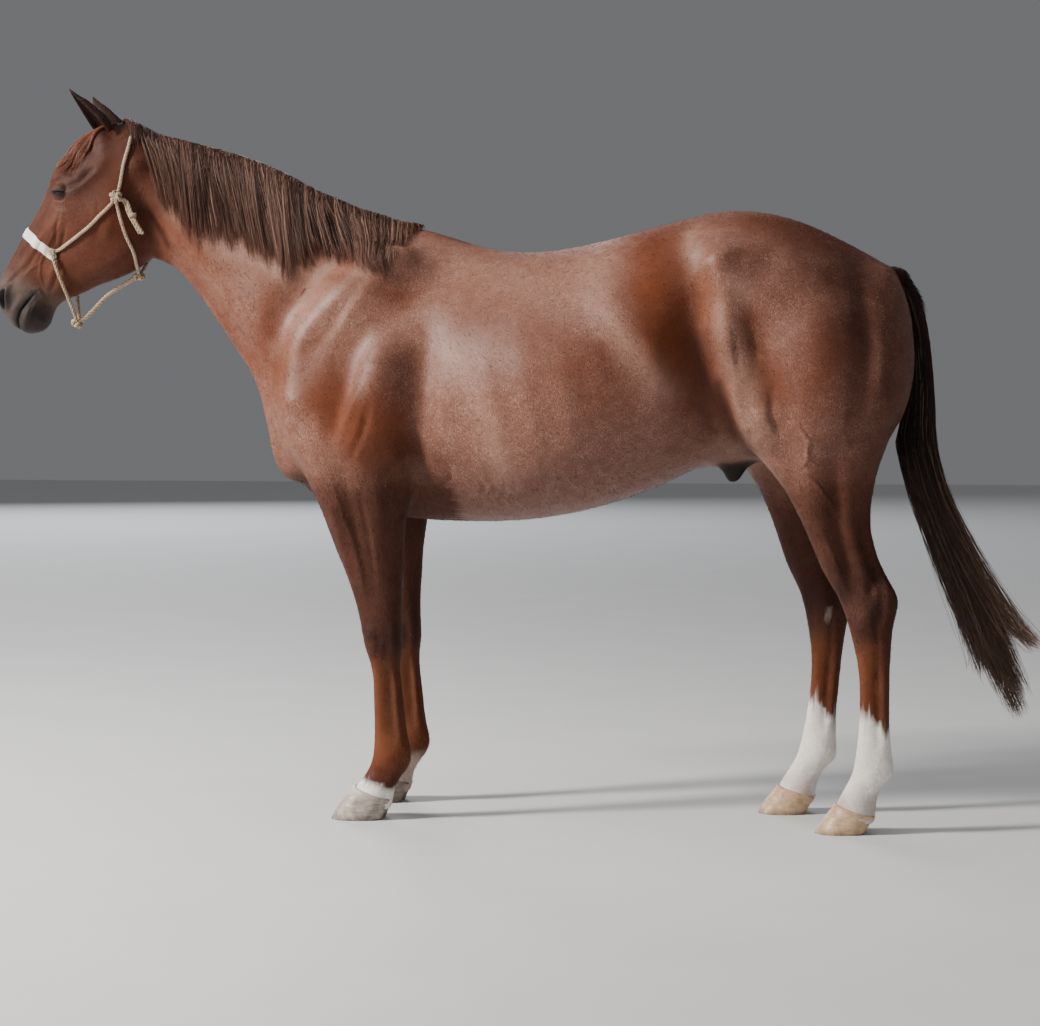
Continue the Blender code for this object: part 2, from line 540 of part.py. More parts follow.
# locks of the tail: middle line (x, y, z), width fore and aft, thickness across
TAIL_CORE = [(0.985, 0, 1.335), (1.022, 0, 1.27), (1.036, 0, 1.17), (1.036, 0, 1.05),
             (1.030, 0, 0.93), (1.050, 0, 0.82), (1.100, 0, 0.69), (1.160, 0, 0.56), (1.215, 0, 0.44)]
TAIL_CORE_WIDTH = [0.050, 0.064, 0.066, 0.074, 0.086, 0.090, 0.105, 0.110, 0.060]
TAIL_CORE_THICK = [0.050, 0.066, 0.074, 0.084, 0.096, 0.100, 0.088, 0.066, 0.036]
TAIL_LOCKS = [
    [(1.060, 0.010, 0.86), (1.130, 0.012, 0.70), (1.215, 0.010, 0.56), (1.316, 0.004, 0.445)],
    [(1.050, -0.022, 0.84), (1.120, -0.026, 0.66), (1.200, -0.022, 0.48), (1.280, -0.012, 0.330)],
    [(1.040, 0.024, 0.82), (1.105, 0.028, 0.64), (1.185, 0.022, 0.46), (1.274, 0.010, 0.276)],
    [(1.030, -0.010, 0.80), (1.075, -0.016, 0.66), (1.130, -0.014, 0.52), (1.186, -0.006, 0.385)],
    [(1.040, 0.004, 0.78), (1.095, 0.008, 0.60), (1.160, 0.010, 0.46), (1.232, 0.008, 0.345)],
]
# width and thickness of a lock from its root to its tip
LOCK_WIDTH = [0.050, 0.056, 0.050, 0.042, 0.034, 0.022, 0.006]
LOCK_THICK = [0.034, 0.036, 0.032, 0.026, 0.020, 0.014, 0.005]
TAIL_VOXEL = 0.007
TAIL_FACES = 760
FORELOCK = [(0.030, 0.020), (0.075, 0.058), (0.115, 0.078), (0.155, 0.084), (0.195, 0.086)]
FORELOCK_HALF = [0.020, 0.032, 0.034, 0.026, 0.008]
FORELOCK_THICK = [0.018, 0.018, 0.016, 0.013, 0.006]
FORELOCK_LIFT = 0.002
MANE_STEPS = 32
MANE_RIDGE = 0.010
MANE_ROOT = 0.010
MANE_SWELL = 0.018
MANE_THICK = 0.015
MANE_EDGE = 0.009
MANE_LEAST = 0.007
# the mane's thin stretch at either end, in steps, and how far its locks swing about their length
MANE_TAPER = 8
MANE_TAPER_END = 0.35
LOCK_SWING = 0.07
LOCK_BULGE = 0.0015
# the halter: radii of the rope and its loose end, and routes in (along, out) from the poll,
# with y on the near side where the rope hangs free
ROPE = 0.0042
ROPE_LIFT = ROPE + 0.0015
TAG_RADIUS = 0.0052
KNOT_VOXEL = 0.0024
KNOT_FACES = 90
TAG_FACES = 170
KNOT_TURNS = ((0.3, 0.2, 0.0), (1.2, 0.5, 0.4), (0.2, 1.3, 1.1))
CHEEK_KNOT_SIZE = 0.0135
NOSE_KNOT_SIZE = 0.0095
HANGING_KNOT_SIZE = 0.0125
CHEEK_KNOT_LIFT = 0.008
NOSE_KNOT_LIFT = 0.006
THROAT_TURN = (0.305, -0.240, 0.040)
FIADOR_POINTS = 6
FIADOR_WIDTH = 0.0155
FIADOR_THICK = 0.0085
CROWN_HEIGHT = 1.80
CROWN_OVER = ((-0.925, -0.035), (-0.925, 0.0), (-0.925, 0.035))
BAND_WIDTH = 0.026
BAND_THICK = 0.0042
BAND_LIFT = 0.0022
BAND_TOP = (0.376, 0.10)
BAND_TOP_YS = (-0.018, 0.0, 0.018)
CHEEK_KNOT = (0.172, -0.119)
NOSE_KNOT = (0.379, -0.026)
CROWN_ROPE = [(0.150, -0.114), (0.100, -0.097), (0.044, -0.077), (0.005, -0.058)]
CHEEK_ROPE = [(0.366, -0.040), (0.306, -0.075), (0.251, -0.102), (0.198, -0.117)]
NOSEBAND = [(0.378, -0.010), (0.380, 0.030), (0.376, 0.070)]
THROAT_ROPE = [(0.190, -0.132), (0.239, -0.178), (0.270, -0.212)]
THROAT_KNOT = (0.325, -0.238)
CHIN_ROPE = [(0.393, -0.040, 0.066), (0.420, -0.066, 0.058), (0.460, -0.108, 0.036),
             (0.500, -0.146, 0.012)]
FIADOR_KNOT = (0.512, -0.153)
FIADOR_ROPE = [(0.494, -0.164), (0.462, -0.175), (0.410, -0.190), (0.350, -0.222)]
TAG_END = [(0.168, -0.150, 0.098), (0.190, -0.180, 0.100), (0.217, -0.222, 0.098)]
ROAN = (0.36, 0.18, 0.13)
CHESTNUT = (0.20, 0.06, 0.028)
HORN = (0.62, 0.42, 0.27)
DARK_HAIR = (0.045, 0.022, 0.016)
MANE_BROWN = (0.13, 0.055, 0.035)
CREAM = (0.78, 0.70, 0.56)


def frozen(obj):
    """The object with its modifiers worked in."""
    graph = bpy.context.evaluated_depsgraph_get()
    solid = bpy.data.meshes.new_from_object(obj.evaluated_get(graph))
    obj.modifiers.clear()
    obj.data = solid
    return obj


def meet(obj, other, how):
    """Boolean of two closed solids, worked into the first."""
    mod = obj.modifiers.new(how.lower(), "BOOLEAN")
    mod.operation = how
    mod.solver = "EXACT"
    mod.object = other
    return frozen(obj)


def copy_of(obj, name):
    twin = bpy.data.objects.new(name, obj.data.copy())
    bpy.context.scene.collection.objects.link(twin)
    return twin


def swollen(obj, by):
    """A copy with its skin moved out."""
    twin = copy_of(obj, obj.name + " clearance")
    move_points(twin.data, points_of(twin.data) + normals_of(twin.data) * by)
    return twin


def clear_of(obj, others, by=CLEARANCE):
    """Keeps a solid out of its neighbours."""
    for other in others:
        twin = swollen(other, by)
        meet(obj, twin, "DIFFERENCE")
        bpy.data.objects.remove(twin)
    return obj


def grown(outline, by):
    """A convex outline moved outwards."""
    middle = np.mean(outline, axis=0)
    out = []
    n = len(outline)
    for i in range(n):
        here = np.array(outline[i])
        turn = np.zeros(2)
        for a, b in ((outline[i - 1], outline[i]), (outline[i], outline[(i + 1) % n])):
            edge = np.array(b) - np.array(a)
            normal = np.array([edge[1], -edge[0]]) / np.hypot(*edge)
            if np.dot(normal, here - middle) < 0:
                normal = -normal
            turn += normal
        out.append(tuple(here + turn * by * 2 / np.dot(turn, turn)))
    return out


def prism(name, outline, low, high, by=0.0):
    """A block with the outline in (x, z) between two values of y."""
    outline = grown(outline, by) if by else outline
    piece = loft(name, [[(x, y, z) for x, z in outline] for y in (low - by, high + by)])
    return outward(piece)


def outward(piece):
    """Normals out, and every face a triangle, so that each later step reads the same surface."""
    mesh = bmesh.new()
    mesh.from_mesh(piece.data)
    bmesh.ops.triangulate(mesh, faces=mesh.faces)
    bmesh.ops.recalc_face_normals(mesh, faces=mesh.faces)
    mesh.to_mesh(piece.data)
    mesh.free()
    return piece


def regions():
    """The blocks that divide the flesh, by node."""
    out = {"head": (HEAD_CUT, -0.5, 0.5), "neck": (NECK_CUT, -0.5, 0.5)}
    for side, word in ((-1, "left"), (1, "right")):
        for leg, (reach, inner) in LEG_BLOCKS.items():
            front, rear = HOOVES[leg][2:4]
            slope = (rear[1] - front[1]) / (rear[0] - front[0])
            shift = float(pose_at_foot(leg, side))
            low = [front[1] + (x - shift - front[0]) * slope for x in reach]
            if leg == "fore":
                top = [(reach[0], ELBOW_Z), (reach[1], ELBOW_Z)]
            else:
                top = STIFLE_LINE
            outline = top + [(reach[1], low[1]), (reach[0], low[0])]
            span = (inner, 0.5) if side > 0 else (-0.5, -inner)
            out[f"{leg}leg_{word}"] = (outline, *span)
    return out


def pose_at_foot(leg, side):
    z = np.array([FOOT_Z])
    return (fore_pose(side) if leg == "fore" else hind_pose(side))(z)[0]


def hoof(name, leg, side):
    """A hoof: coronet ring on the slope, flat sole."""
    toe, heel, front, rear, top_half, sole_half = HOOVES[leg]
    shift = float(pose_at_foot(leg, side))
    rings = []
    for t in HOOF_RINGS:
        ring = []
        for i in range(HOOF_SIDES):
            angle = 2 * math.pi * i / HOOF_SIDES
            c, s = math.cos(angle), math.sin(angle)
            bulge = HOOF_ROLL if t > 0 else 0.0
            x0 = front[0] + (toe - front[0]) * t - bulge
            x1 = rear[0] + (heel - rear[0]) * t + bulge
            half = top_half + (sole_half - top_half) * t + bulge
            x = (x0 + x1) / 2 - (x1 - x0) / 2 * math.copysign(abs(c) ** 0.9, c)
            if c < 0:
                x -= HEEL_CLEFT * math.exp(-(s / 0.28) ** 2)
            y = half * math.copysign(abs(s) ** 0.86, s) * (1 - HEEL_NARROWING * (1 - c) / 2)
            across = (x - front[0]) / (rear[0] - front[0])
            z = (front[1] + (rear[1] - front[1]) * across - 2 * GAP) * (1 - t)
            ring.append((x + shift, side * HOOF_Y + y, max(z, 0.0)))
        rings.append(ring)
    return outward(loft(name, rings))


def ear(name, side):
    """A cupped leaf with its hollow turned forwards and out."""
    path = np.array([(p[0], y, p[1]) for p, y, _, _ in EAR])
    rings = []
    for i, (_, _, half, depth) in enumerate(EAR):
        tangent = path[min(i + 1, len(path) - 1)] - path[max(i - 1, 0)]
        tangent /= np.linalg.norm(tangent)
        open_way = np.array(EAR_OPENS)
        open_way -= tangent * np.dot(open_way, tangent)
        open_way /= np.linalg.norm(open_way)
        across = np.cross(tangent, open_way)
        ring = []
        wall = EAR_WALL if i < len(EAR) - 1 else EAR_TIP_WALL
        for inner in (0, 1):
            for k in range(EAR_ARC + 1):
                a = math.pi * (k if not inner else EAR_ARC - k) / EAR_ARC
                r = half - (wall * 0.6 if inner else 0)
                d = depth * 1.3 - (wall if inner else 0)
                p = path[i] + across * r * math.cos(a) - open_way * d * math.sin(a)
                if inner:
                    p = p + open_way * EAR_SEAM
                ring.append((p[0], p[1] * side, p[2]))
        rings.append(ring)
    return outward(loft(name, rings))


def ball(name, place, radius, segments=12, rings=7):
    bpy.ops.mesh.primitive_uv_sphere_add(segments=segments, ring_count=rings, radius=radius)
    piece = bpy.context.object
    piece.name = name
    piece.data.transform(Matrix.Translation(place))
    return piece


def tube(name, path, radius):
    """A rope: a round curve through the points, as a closed mesh."""
    curve = bpy.data.curves.new(name, "CURVE")
    curve.dimensions = "3D"
    curve.bevel_depth = radius
    curve.bevel_resolution = 1
    curve.use_fill_caps = True
    spline = curve.splines.new("POLY")
    spline.points.add(len(path) - 1)
    for point, place in zip(spline.points, path):
        point.co = (*place, 1)
    wire = bpy.data.objects.new(name, curve)
    bpy.context.scene.collection.objects.link(wire)
    graph = bpy.context.evaluated_depsgraph_get()
    mesh = bpy.data.meshes.new_from_object(wire.evaluated_get(graph))
    bpy.data.objects.remove(wire)
    whole = bmesh.new()
    whole.from_mesh(mesh)
    bmesh.ops.remove_doubles(whole, verts=whole.verts, dist=CURVE_WELD)
    bmesh.ops.recalc_face_normals(whole, faces=whole.faces)
    whole.to_mesh(mesh)
    whole.free()
    piece = bpy.data.objects.new(name, mesh)
    bpy.context.scene.collection.objects.link(piece)
    return piece


def lock(name, path, widths, thicks, wide=(1, 0, 0), sides=10):
    """A flattened lock of hair along the points, wide along one direction."""
    path = np.array(path, float)
    rings = []
    for i in range(len(path)):
        tangent = path[min(i + 1, len(path) - 1)] - path[max(i - 1, 0)]
        tangent /= np.linalg.norm(tangent)
        a = np.array(wide, float)
        a -= tangent * np.dot(a, tangent)
        a /= np.linalg.norm(a)
        b = np.cross(tangent, a)
        rings.append([tuple(path[i] + a * widths[i] / 2 * math.cos(t) + b * thicks[i] / 2 * math.sin(t))
                      for t in np.linspace(0, 2 * math.pi, sides, endpoint=False)])
    return outward(loft(name, rings))


def slim(obj, faces):
    """Fewer triangles, same form."""
    mod = obj.modifiers.new("slim", "DECIMATE")
    obj.data.calc_loop_triangles()
    mod.ratio = min(1.0, faces / max(len(obj.data.loop_triangles), 1))
    return frozen(obj)


def along_line(points, count):
    """Evenly spread points on a line through the given ones."""
    points = np.array(points, float)
    span = np.concatenate([[0], np.cumsum(np.linalg.norm(np.diff(points, axis=0), axis=1))])
    t = np.linspace(0, span[-1], count)
    return np.stack([np.interp(t, span, points[:, k]) for k in range(points.shape[1])], 1)


def on_skin(tree, point, side, lift):
    """The point of the flank at (x, z), lifted off it."""
    origin = Vector((point[0], side * 0.8, point[1]))
    hit, normal, _, _ = tree.ray_cast(origin, Vector((0, -side, 0)))
    if hit is None:
        hit, normal, _, _ = tree.find_nearest(Vector((point[0], 0, point[1])))
    return np.array(hit + normal * lift)


def hug(tree, point, lift):
    """The nearest point of the skin, lifted off it."""
    hit, normal, _, _ = tree.find_nearest(Vector(point))
    return np.array(hit + normal * lift)


def mane(tree):
    """The mane on the near side of the neck: one shell, its lower edge in locks."""
    crest = along_line(CREST, MANE_STEPS)
    ends = along_line(MANE_ENDS, MANE_STEPS)
    rings = []
    for i in range(MANE_STEPS):
        x, z = crest[i]
        top, _, _, _ = tree.ray_cast(Vector((x, 0, 3)), Vector((0, 0, -1)))
        from_end = min(i, MANE_STEPS - 1 - i)
        taper = min(1.0, MANE_TAPER_END + from_end / MANE_TAPER)
        wave = math.sin(i * 1.75) + 0.6 * math.sin(i * 2.73 + 1)
        length = 1.0 + LOCK_SWING * wave
        outer = [(x, MANE_RIDGE, z - MANE_RIDGE), (x, 0.0, z)]
        inner = [(x, MANE_RIDGE / 2, top.z - MANE_ROOT)]
        for t in np.linspace(0.2, 1, 5) * length:
            px, pz = crest[i] + (ends[i] - crest[i]) * t
            pz += MANE_SWELL * math.sin(math.pi * min(t, 1)) * (1 if i < MANE_STEPS / 4 else 0.4)
            hit, _, _, _ = tree.ray_cast(Vector((px, -1, pz)), Vector((0, 1, 0)))
            flank = hit.y if hit else -MANE_RIDGE / 2
            thick = (MANE_THICK + (MANE_EDGE - MANE_THICK) * t) * taper
            thick = max(thick + LOCK_BULGE * wave * t, MANE_LEAST)
            outer.append((px, flank - thick, pz + thick / 3))
            inner.append((px, min(flank + MANE_ROOT, -MANE_RIDGE / 10), pz))
        rings.append(outer + inner[:0:-1] + inner[:1])
    return outward(loft("mane", rings))


def tail():
    pieces = [lock("core", TAIL_CORE, TAIL_CORE_WIDTH, TAIL_CORE_THICK, sides=14)]
    for line in TAIL_LOCKS:
        path = along_line(line, len(LOCK_WIDTH))
        pieces.append(lock("lock", path, LOCK_WIDTH, LOCK_THICK))
    return slim(fuse("tail", pieces, TAIL_VOXEL), TAIL_FACES)


def forelock(tree):
    path = []
    for along, out in FORELOCK:
        x, z = head_point(along, out)
        path.append(hug(tree, (x, 0.0, z), FORELOCK_LIFT))
    widths = [w * 2 for w in FORELOCK_HALF]
    return lock("forelock", path, widths, FORELOCK_THICK, (0, 1, 0), 12)


def hanging(along, out, y):
    """A point given on the head's own axes, free of the skin."""
    x, z = head_point(along, out)
    return (x, y, z)


def rope_points(tree, line, side, lift, count):
    path = []
    for along, out in along_line(line, count):
        x, z = head_point(along, out)
        path.append(on_skin(tree, (x, z), side, lift))
    return path


def knot(name, place, size):
    """A bulky knot: three crossed rings of rope run together."""
    pieces = []
    for turn in KNOT_TURNS:
        bpy.ops.mesh.primitive_torus_add(major_radius=size * 0.55, minor_radius=size * 0.42,
                                         major_segments=14, minor_segments=8, rotation=turn)
        piece = bpy.context.object
        bpy.context.view_layer.update()
        piece.data.transform(piece.matrix_world)
        piece.matrix_world = Matrix.Identity(4)
        piece.data.transform(Matrix.Translation(place))
        pieces.append(piece)
    return slim(fuse(name, pieces, KNOT_VOXEL), KNOT_FACES)


def halter(tree):
    """The rope halter, rope by rope and knot by knot."""
    made = []
    for side, word in ((-1, "left"), (1, "right")):
        def at(spot, lift):
            return on_skin(tree, head_point(*spot), side, lift)
        cheek_at = at(CHEEK_KNOT, CHEEK_KNOT_LIFT)
        nose_at = at(NOSE_KNOT, NOSE_KNOT_LIFT)
        cheek = knot("cheek_knot_" + word, cheek_at, CHEEK_KNOT_SIZE)
        if side < 0:
            path = [cheek_at] + [hanging(a, b, side * y) for a, b, y in TAG_END]
            end = tube("tag", along_line(path, 7), TAG_RADIUS)
            cheek = slim(fuse("cheek_knot_left", [cheek, end], KNOT_VOXEL), TAG_FACES)
        nose = knot("nose_knot_" + word, nose_at, NOSE_KNOT_SIZE)
        rope = tube("cheek_rope_" + word, [nose_at] + rope_points(tree, CHEEK_ROPE, side, ROPE_LIFT, 5)
                    + [cheek_at], ROPE)
        throat = tube("throat_rope_" + word, [cheek_at] + rope_points(tree, THROAT_ROPE, side, ROPE_LIFT, 4)
                      + [hug(tree, hanging(*THROAT_TURN[:2], side * THROAT_TURN[2]), ROPE_LIFT),
                         hanging(*THROAT_KNOT, 0.0)], ROPE)
        chin = tube("chin_rope_" + word, [nose_at] + [hanging(a, b, side * y) for a, b, y in CHIN_ROPE]
                    + [hanging(*FIADOR_KNOT, side * 0.002)], ROPE)
        made += [cheek, nose, rope, throat, chin]
    made.append(knot("fiador_knot", hanging(*FIADOR_KNOT, 0.0), HANGING_KNOT_SIZE))
    made.append(knot("throat_knot", hanging(*THROAT_KNOT, 0.0), HANGING_KNOT_SIZE))
    line = [FIADOR_KNOT] + FIADOR_ROPE + [THROAT_KNOT]
    path = [hanging(a, b, 0.0) for a, b in along_line(line, FIADOR_POINTS)]
    made.append(lock("fiador_rope", path, [FIADOR_WIDTH] * FIADOR_POINTS, [FIADOR_THICK] * FIADOR_POINTS,
                     (0.5, 0, 0.8), 6))
    crown = rope_points(tree, [CHEEK_KNOT] + CROWN_ROPE, -1, ROPE_LIFT, 6)
    over = [hug(tree, (x, y, CROWN_HEIGHT), ROPE_LIFT) for x, y in CROWN_OVER]
    other = rope_points(tree, [CHEEK_KNOT] + CROWN_ROPE, 1, ROPE_LIFT, 6)[::-1]
    made.append(tube("crown_rope", crown + over + other, ROPE))
    band = []
    for side in (-1, 1):
        points = [on_skin(tree, head_point(*p), side, BAND_LIFT) for p in along_line(NOSEBAND, 4)]
        band.append(points if side < 0 else points[::-1])
    top = [hug(tree, hanging(*BAND_TOP, y), BAND_LIFT) for y in BAND_TOP_YS]
    path = band[0] + top + band[1]
    made.append(lock("noseband", path, [BAND_WIDTH] * len(path), [BAND_THICK] * len(path),
                     (FACE_ALONG[0], 0, FACE_ALONG[1]), 6))
    return made


def paint(obj, name, colour, roughness):
    mat = bpy.data.materials.new(name)
    mat.use_nodes = True
    shader = mat.node_tree.nodes["Principled BSDF"]
    shader.inputs["Base Color"].default_value = (*colour, 1)
    shader.inputs["Roughness"].default_value = roughness
    obj.data.materials.clear()
    obj.data.materials.append(mat)


def put_in(name, objects):
    group = bpy.data.collections.new(name)
    bpy.context.scene.collection.children.link(group)
    for obj in objects:
        for old in list(obj.users_collection):
            old.objects.unlink(obj)
        group.objects.link(obj)
    return group


def flesh(skin):
    """Head, neck, trunk and legs, divided by thin saw cuts."""
    nodes = {}
    trunk = copy_of(skin, "trunk")
    for name, (outline, low, high) in regions().items():
        block = prism(name + " block", outline, low, high)
        node = meet(copy_of(skin, name), block, "INTERSECT")
        bpy.data.objects.remove(block)
        nodes[name] = node
        block = prism(name + " block", outline, low, high, GAP)
        meet(trunk, block, "DIFFERENCE")
        bpy.data.objects.remove(block)
    nodes["trunk"] = trunk
    return nodes


def largest_piece(obj):
    """Drops any crumb a cut has left."""
    mesh = bmesh.new()
    mesh.from_mesh(obj.data)
    bmesh.ops.remove_doubles(mesh, verts=mesh.verts, dist=WELD)
    bmesh.ops.triangulate(mesh, faces=mesh.faces)
    left = set(mesh.faces)
    groups = []
    while left:
        stack = [left.pop()]
        group = set(stack)
        while stack:
            for edge in stack.pop().edges:
                for face in edge.link_faces:
                    if len(edge.link_faces) == 2 and face in left:
                        left.discard(face)
                        group.add(face)
                        stack.append(face)
        groups.append(group)
    best = max(groups, key=len)
    bmesh.ops.delete(mesh, geom=[f for f in mesh.faces if f not in best], context="FACES")
    mesh.to_mesh(obj.data)
    mesh.free()
    return obj


def build():
    skin = body()
    tree = BVHTree.FromPolygons([v.co for v in skin.data.vertices],
                                [p.vertices for p in skin.data.polygons])
    rough = slim(copy_of(skin, "skin"), SKIN_FACES)
    bpy.data.objects.remove(skin)
    nodes = flesh(rough)
    for node in nodes.values():
        largest_piece(node)
    for side, word in ((-1, "left"), (1, "right")):
        x, z = head_point(*EYE_AT)
        eye = ball("eye_" + word, (x, side * EYE_Y, z), EYE_RADIUS)
        clear_of(nodes["head"], [eye], GAP)
        nodes["eye_" + word] = eye
    body_nodes = [nodes[n] for n in ("head", "neck", "trunk")]
    for side, word in ((-1, "left"), (1, "right")):
        nodes["ear_" + word] = clear_of(ear("ear_" + word, side), [nodes["head"], nodes["neck"]])
        for leg in ("fore", "hind"):
            name = f"hoof_{leg}_{word}"
            nodes[name] = hoof(name, leg, side)
    nodes["tail"] = clear_of(tail(), [nodes["trunk"], nodes["hindleg_left"], nodes["hindleg_right"]])
    ears = [nodes["ear_left"], nodes["ear_right"]]
    nodes["forelock"] = clear_of(forelock(tree), body_nodes + ears)
    strings = halter(tree)
    knots = [s for s in strings if "knot" in s.name]
    ropes = [s for s in strings if "knot" not in s.name]
    for k in knots:
        clear_of(k, [nodes["head"], nodes["neck"]])
    done = list(knots)
    for r in ropes:
        clear_of(r, [nodes["head"], nodes["neck"]] + ears + done, ROPE_CLEARANCE)
        done.append(r)
    for s in done:
        nodes[s.name] = s
    nodes["mane"] = clear_of(mane(tree), body_nodes + ears + [nodes["crown_rope"], nodes["forelock"],
                             nodes["cheek_knot_left"]], MANE_CLEARANCE)
    bpy.data.objects.remove(rough)
    for name, node in nodes.items():
        largest_piece(node)
        node.name = name
        node.data.name = name
        if name.startswith("hoof"):
            paint(node, "horn " + name, HORN, 0.45)
        elif name.startswith("eye"):
            paint(node, "eye " + name, (0.02, 0.012, 0.01), 0.08)
        elif name == "tail":
            paint(node, "hair of tail", DARK_HAIR, 0.6)
        elif name in ("mane", "forelock"):
            paint(node, "mane " + name, MANE_BROWN, 0.6)
        elif "rope" in name or "knot" in name or name == "noseband":
            paint(node, "rope " + name, CREAM, 0.8)
        elif name in ("trunk", "neck"):
            paint(node, "coat " + name, ROAN, 0.6)
        else:
            paint(node, "coat " + name, CHESTNUT, 0.6)
    put_in("horse", nodes.values())
    return nodes


build()
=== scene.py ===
"""The looks of the standing roan horse: one skin over the solids, its coat, hair, hooves, eyes and halter."""
import bmesh
import bpy
import math
import numpy as np
from mathutils import Matrix, Vector
from mathutils.bvhtree import BVHTree


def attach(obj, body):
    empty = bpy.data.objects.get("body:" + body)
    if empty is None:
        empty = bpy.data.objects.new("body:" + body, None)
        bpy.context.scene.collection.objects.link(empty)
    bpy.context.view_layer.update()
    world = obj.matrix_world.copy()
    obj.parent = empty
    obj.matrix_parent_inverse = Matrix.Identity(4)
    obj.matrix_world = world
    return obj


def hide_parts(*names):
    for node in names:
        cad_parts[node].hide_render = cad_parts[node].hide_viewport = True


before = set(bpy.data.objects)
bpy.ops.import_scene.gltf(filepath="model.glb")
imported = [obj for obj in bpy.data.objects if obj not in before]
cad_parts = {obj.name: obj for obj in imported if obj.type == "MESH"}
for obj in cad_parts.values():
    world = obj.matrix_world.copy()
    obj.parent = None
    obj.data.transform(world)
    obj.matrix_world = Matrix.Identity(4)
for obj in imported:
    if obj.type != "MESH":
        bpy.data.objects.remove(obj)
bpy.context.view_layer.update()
# the one source of random draws: the hair stays the same as long as their order does
CHANCE = np.random.default_rng(7)
SIDES = ((-1, "left"), (1, "right"))
# size of the voxels that run the body's masses into one skin
VOXEL = 0.0055
# points round each section of the body, the head and the legs
RING = 40


# ---------------------------------------------------------------- body tables
# name, top and bottom of the section in the plane of symmetry (x, z), half width, height of the
# widest place, and the roundness of the upper and the lower half (2 is an ellipse)
BODY = [
    ("under tail", (1.005, 1.270), (0.990, 1.070), 0.075, 0.50, 2.0, 2.0),
    ("tail head", (0.955, 1.358), (0.930, 0.985), 0.160, 0.52, 2.0, 2.0),
    ("rump", (0.850, 1.420), (0.830, 0.920), 0.222, 0.55, 2.3, 2.0),
    ("croup", (0.730, 1.474), (0.720, 0.885), 0.252, 0.56, 2.4, 2.0),
    ("hip", (0.600, 1.497), (0.600, 0.872), 0.262, 0.60, 2.4, 2.0),
    ("loin", (0.490, 1.481), (0.500, 0.862), 0.258, 0.57, 2.3, 2.1),
    ("flank", (0.390, 1.457), (0.400, 0.818), 0.274, 0.50, 2.2, 2.2),
    ("barrel", (0.240, 1.421), (0.250, 0.765), 0.292, 0.46, 2.1, 2.2),
    ("back", (0.100, 1.402), (0.110, 0.737), 0.284, 0.45, 2.0, 2.2),
    ("girth", (-0.020, 1.413), (-0.010, 0.728), 0.255, 0.44, 1.85, 2.1),
    ("withers back", (-0.120, 1.450), (-0.110, 0.728), 0.230, 0.42, 1.65, 2.0),
    ("withers", (-0.230, 1.482), (-0.230, 0.735), 0.205, 0.40, 1.5, 2.0),
    ("shoulder", (-0.340, 1.508), (-0.425, 0.762), 0.190, 0.40, 1.5, 2.0),
    ("breast", (-0.440, 1.560), (-0.545, 0.868), 0.168, 0.42, 1.6, 2.0),
    ("neck base", (-0.530, 1.608), (-0.604, 1.015), 0.135, 0.42, 1.7, 2.0),
    ("low neck", (-0.640, 1.655), (-0.658, 1.114), 0.112, 0.42, 1.8, 1.9),
    ("mid neck", (-0.750, 1.686), (-0.719, 1.203), 0.096, 0.44, 1.8, 1.8),
    ("high neck", (-0.845, 1.701), (-0.781, 1.289), 0.086, 0.47, 1.8, 1.8),
    ("throat", (-0.915, 1.714), (-0.842, 1.362), 0.080, 0.50, 1.8, 1.9),
    ("nape", (-0.965, 1.716), (-0.895, 1.388), 0.070, 0.52, 1.8, 1.9),
]
# the head's own axes: along the face from the poll, and out of the face
POLL = (-0.979, 1.750)
FACE_ALONG = (-0.504, -0.863)
FACE_OUT = (-0.863, 0.504)
# name, distance from the poll, face line, jaw line, half width, height of the widest place, and
# the roundness of both halves
HEAD = [
    ("poll", 0.000, -0.008, -0.190, 0.058, 0.50, 2.0, 2.0),
    ("ears", 0.050, 0.036, -0.222, 0.074, 0.54, 2.2, 2.0),
    ("forehead", 0.110, 0.070, -0.244, 0.088, 0.60, 2.4, 2.2),
    ("brow", 0.180, 0.079, -0.252, 0.094, 0.64, 2.4, 2.3),
    ("eyes", 0.240, 0.083, -0.250, 0.094, 0.66, 2.3, 2.5),
    ("cheek", 0.300, 0.077, -0.232, 0.085, 0.64, 2.2, 2.5),
    ("crest", 0.350, 0.079, -0.201, 0.073, 0.64, 2.2, 2.3),
    ("nose", 0.400, 0.082, -0.158, 0.060, 0.62, 2.2, 2.1),
    ("bars", 0.445, 0.084, -0.127, 0.050, 0.58, 2.2, 2.0),
    ("chin groove", 0.490, 0.085, -0.091, 0.046, 0.55, 2.2, 2.0),
    ("nostrils", 0.530, 0.080, -0.088, 0.051, 0.55, 2.3, 2.1),
    ("lips", 0.566, 0.054, -0.090, 0.050, 0.52, 2.4, 2.3),
    ("muzzle", 0.590, 0.024, -0.074, 0.040, 0.50, 2.4, 2.4),
    ("tip", 0.604, -0.004, -0.046, 0.022, 0.50, 2.2, 2.2),
]
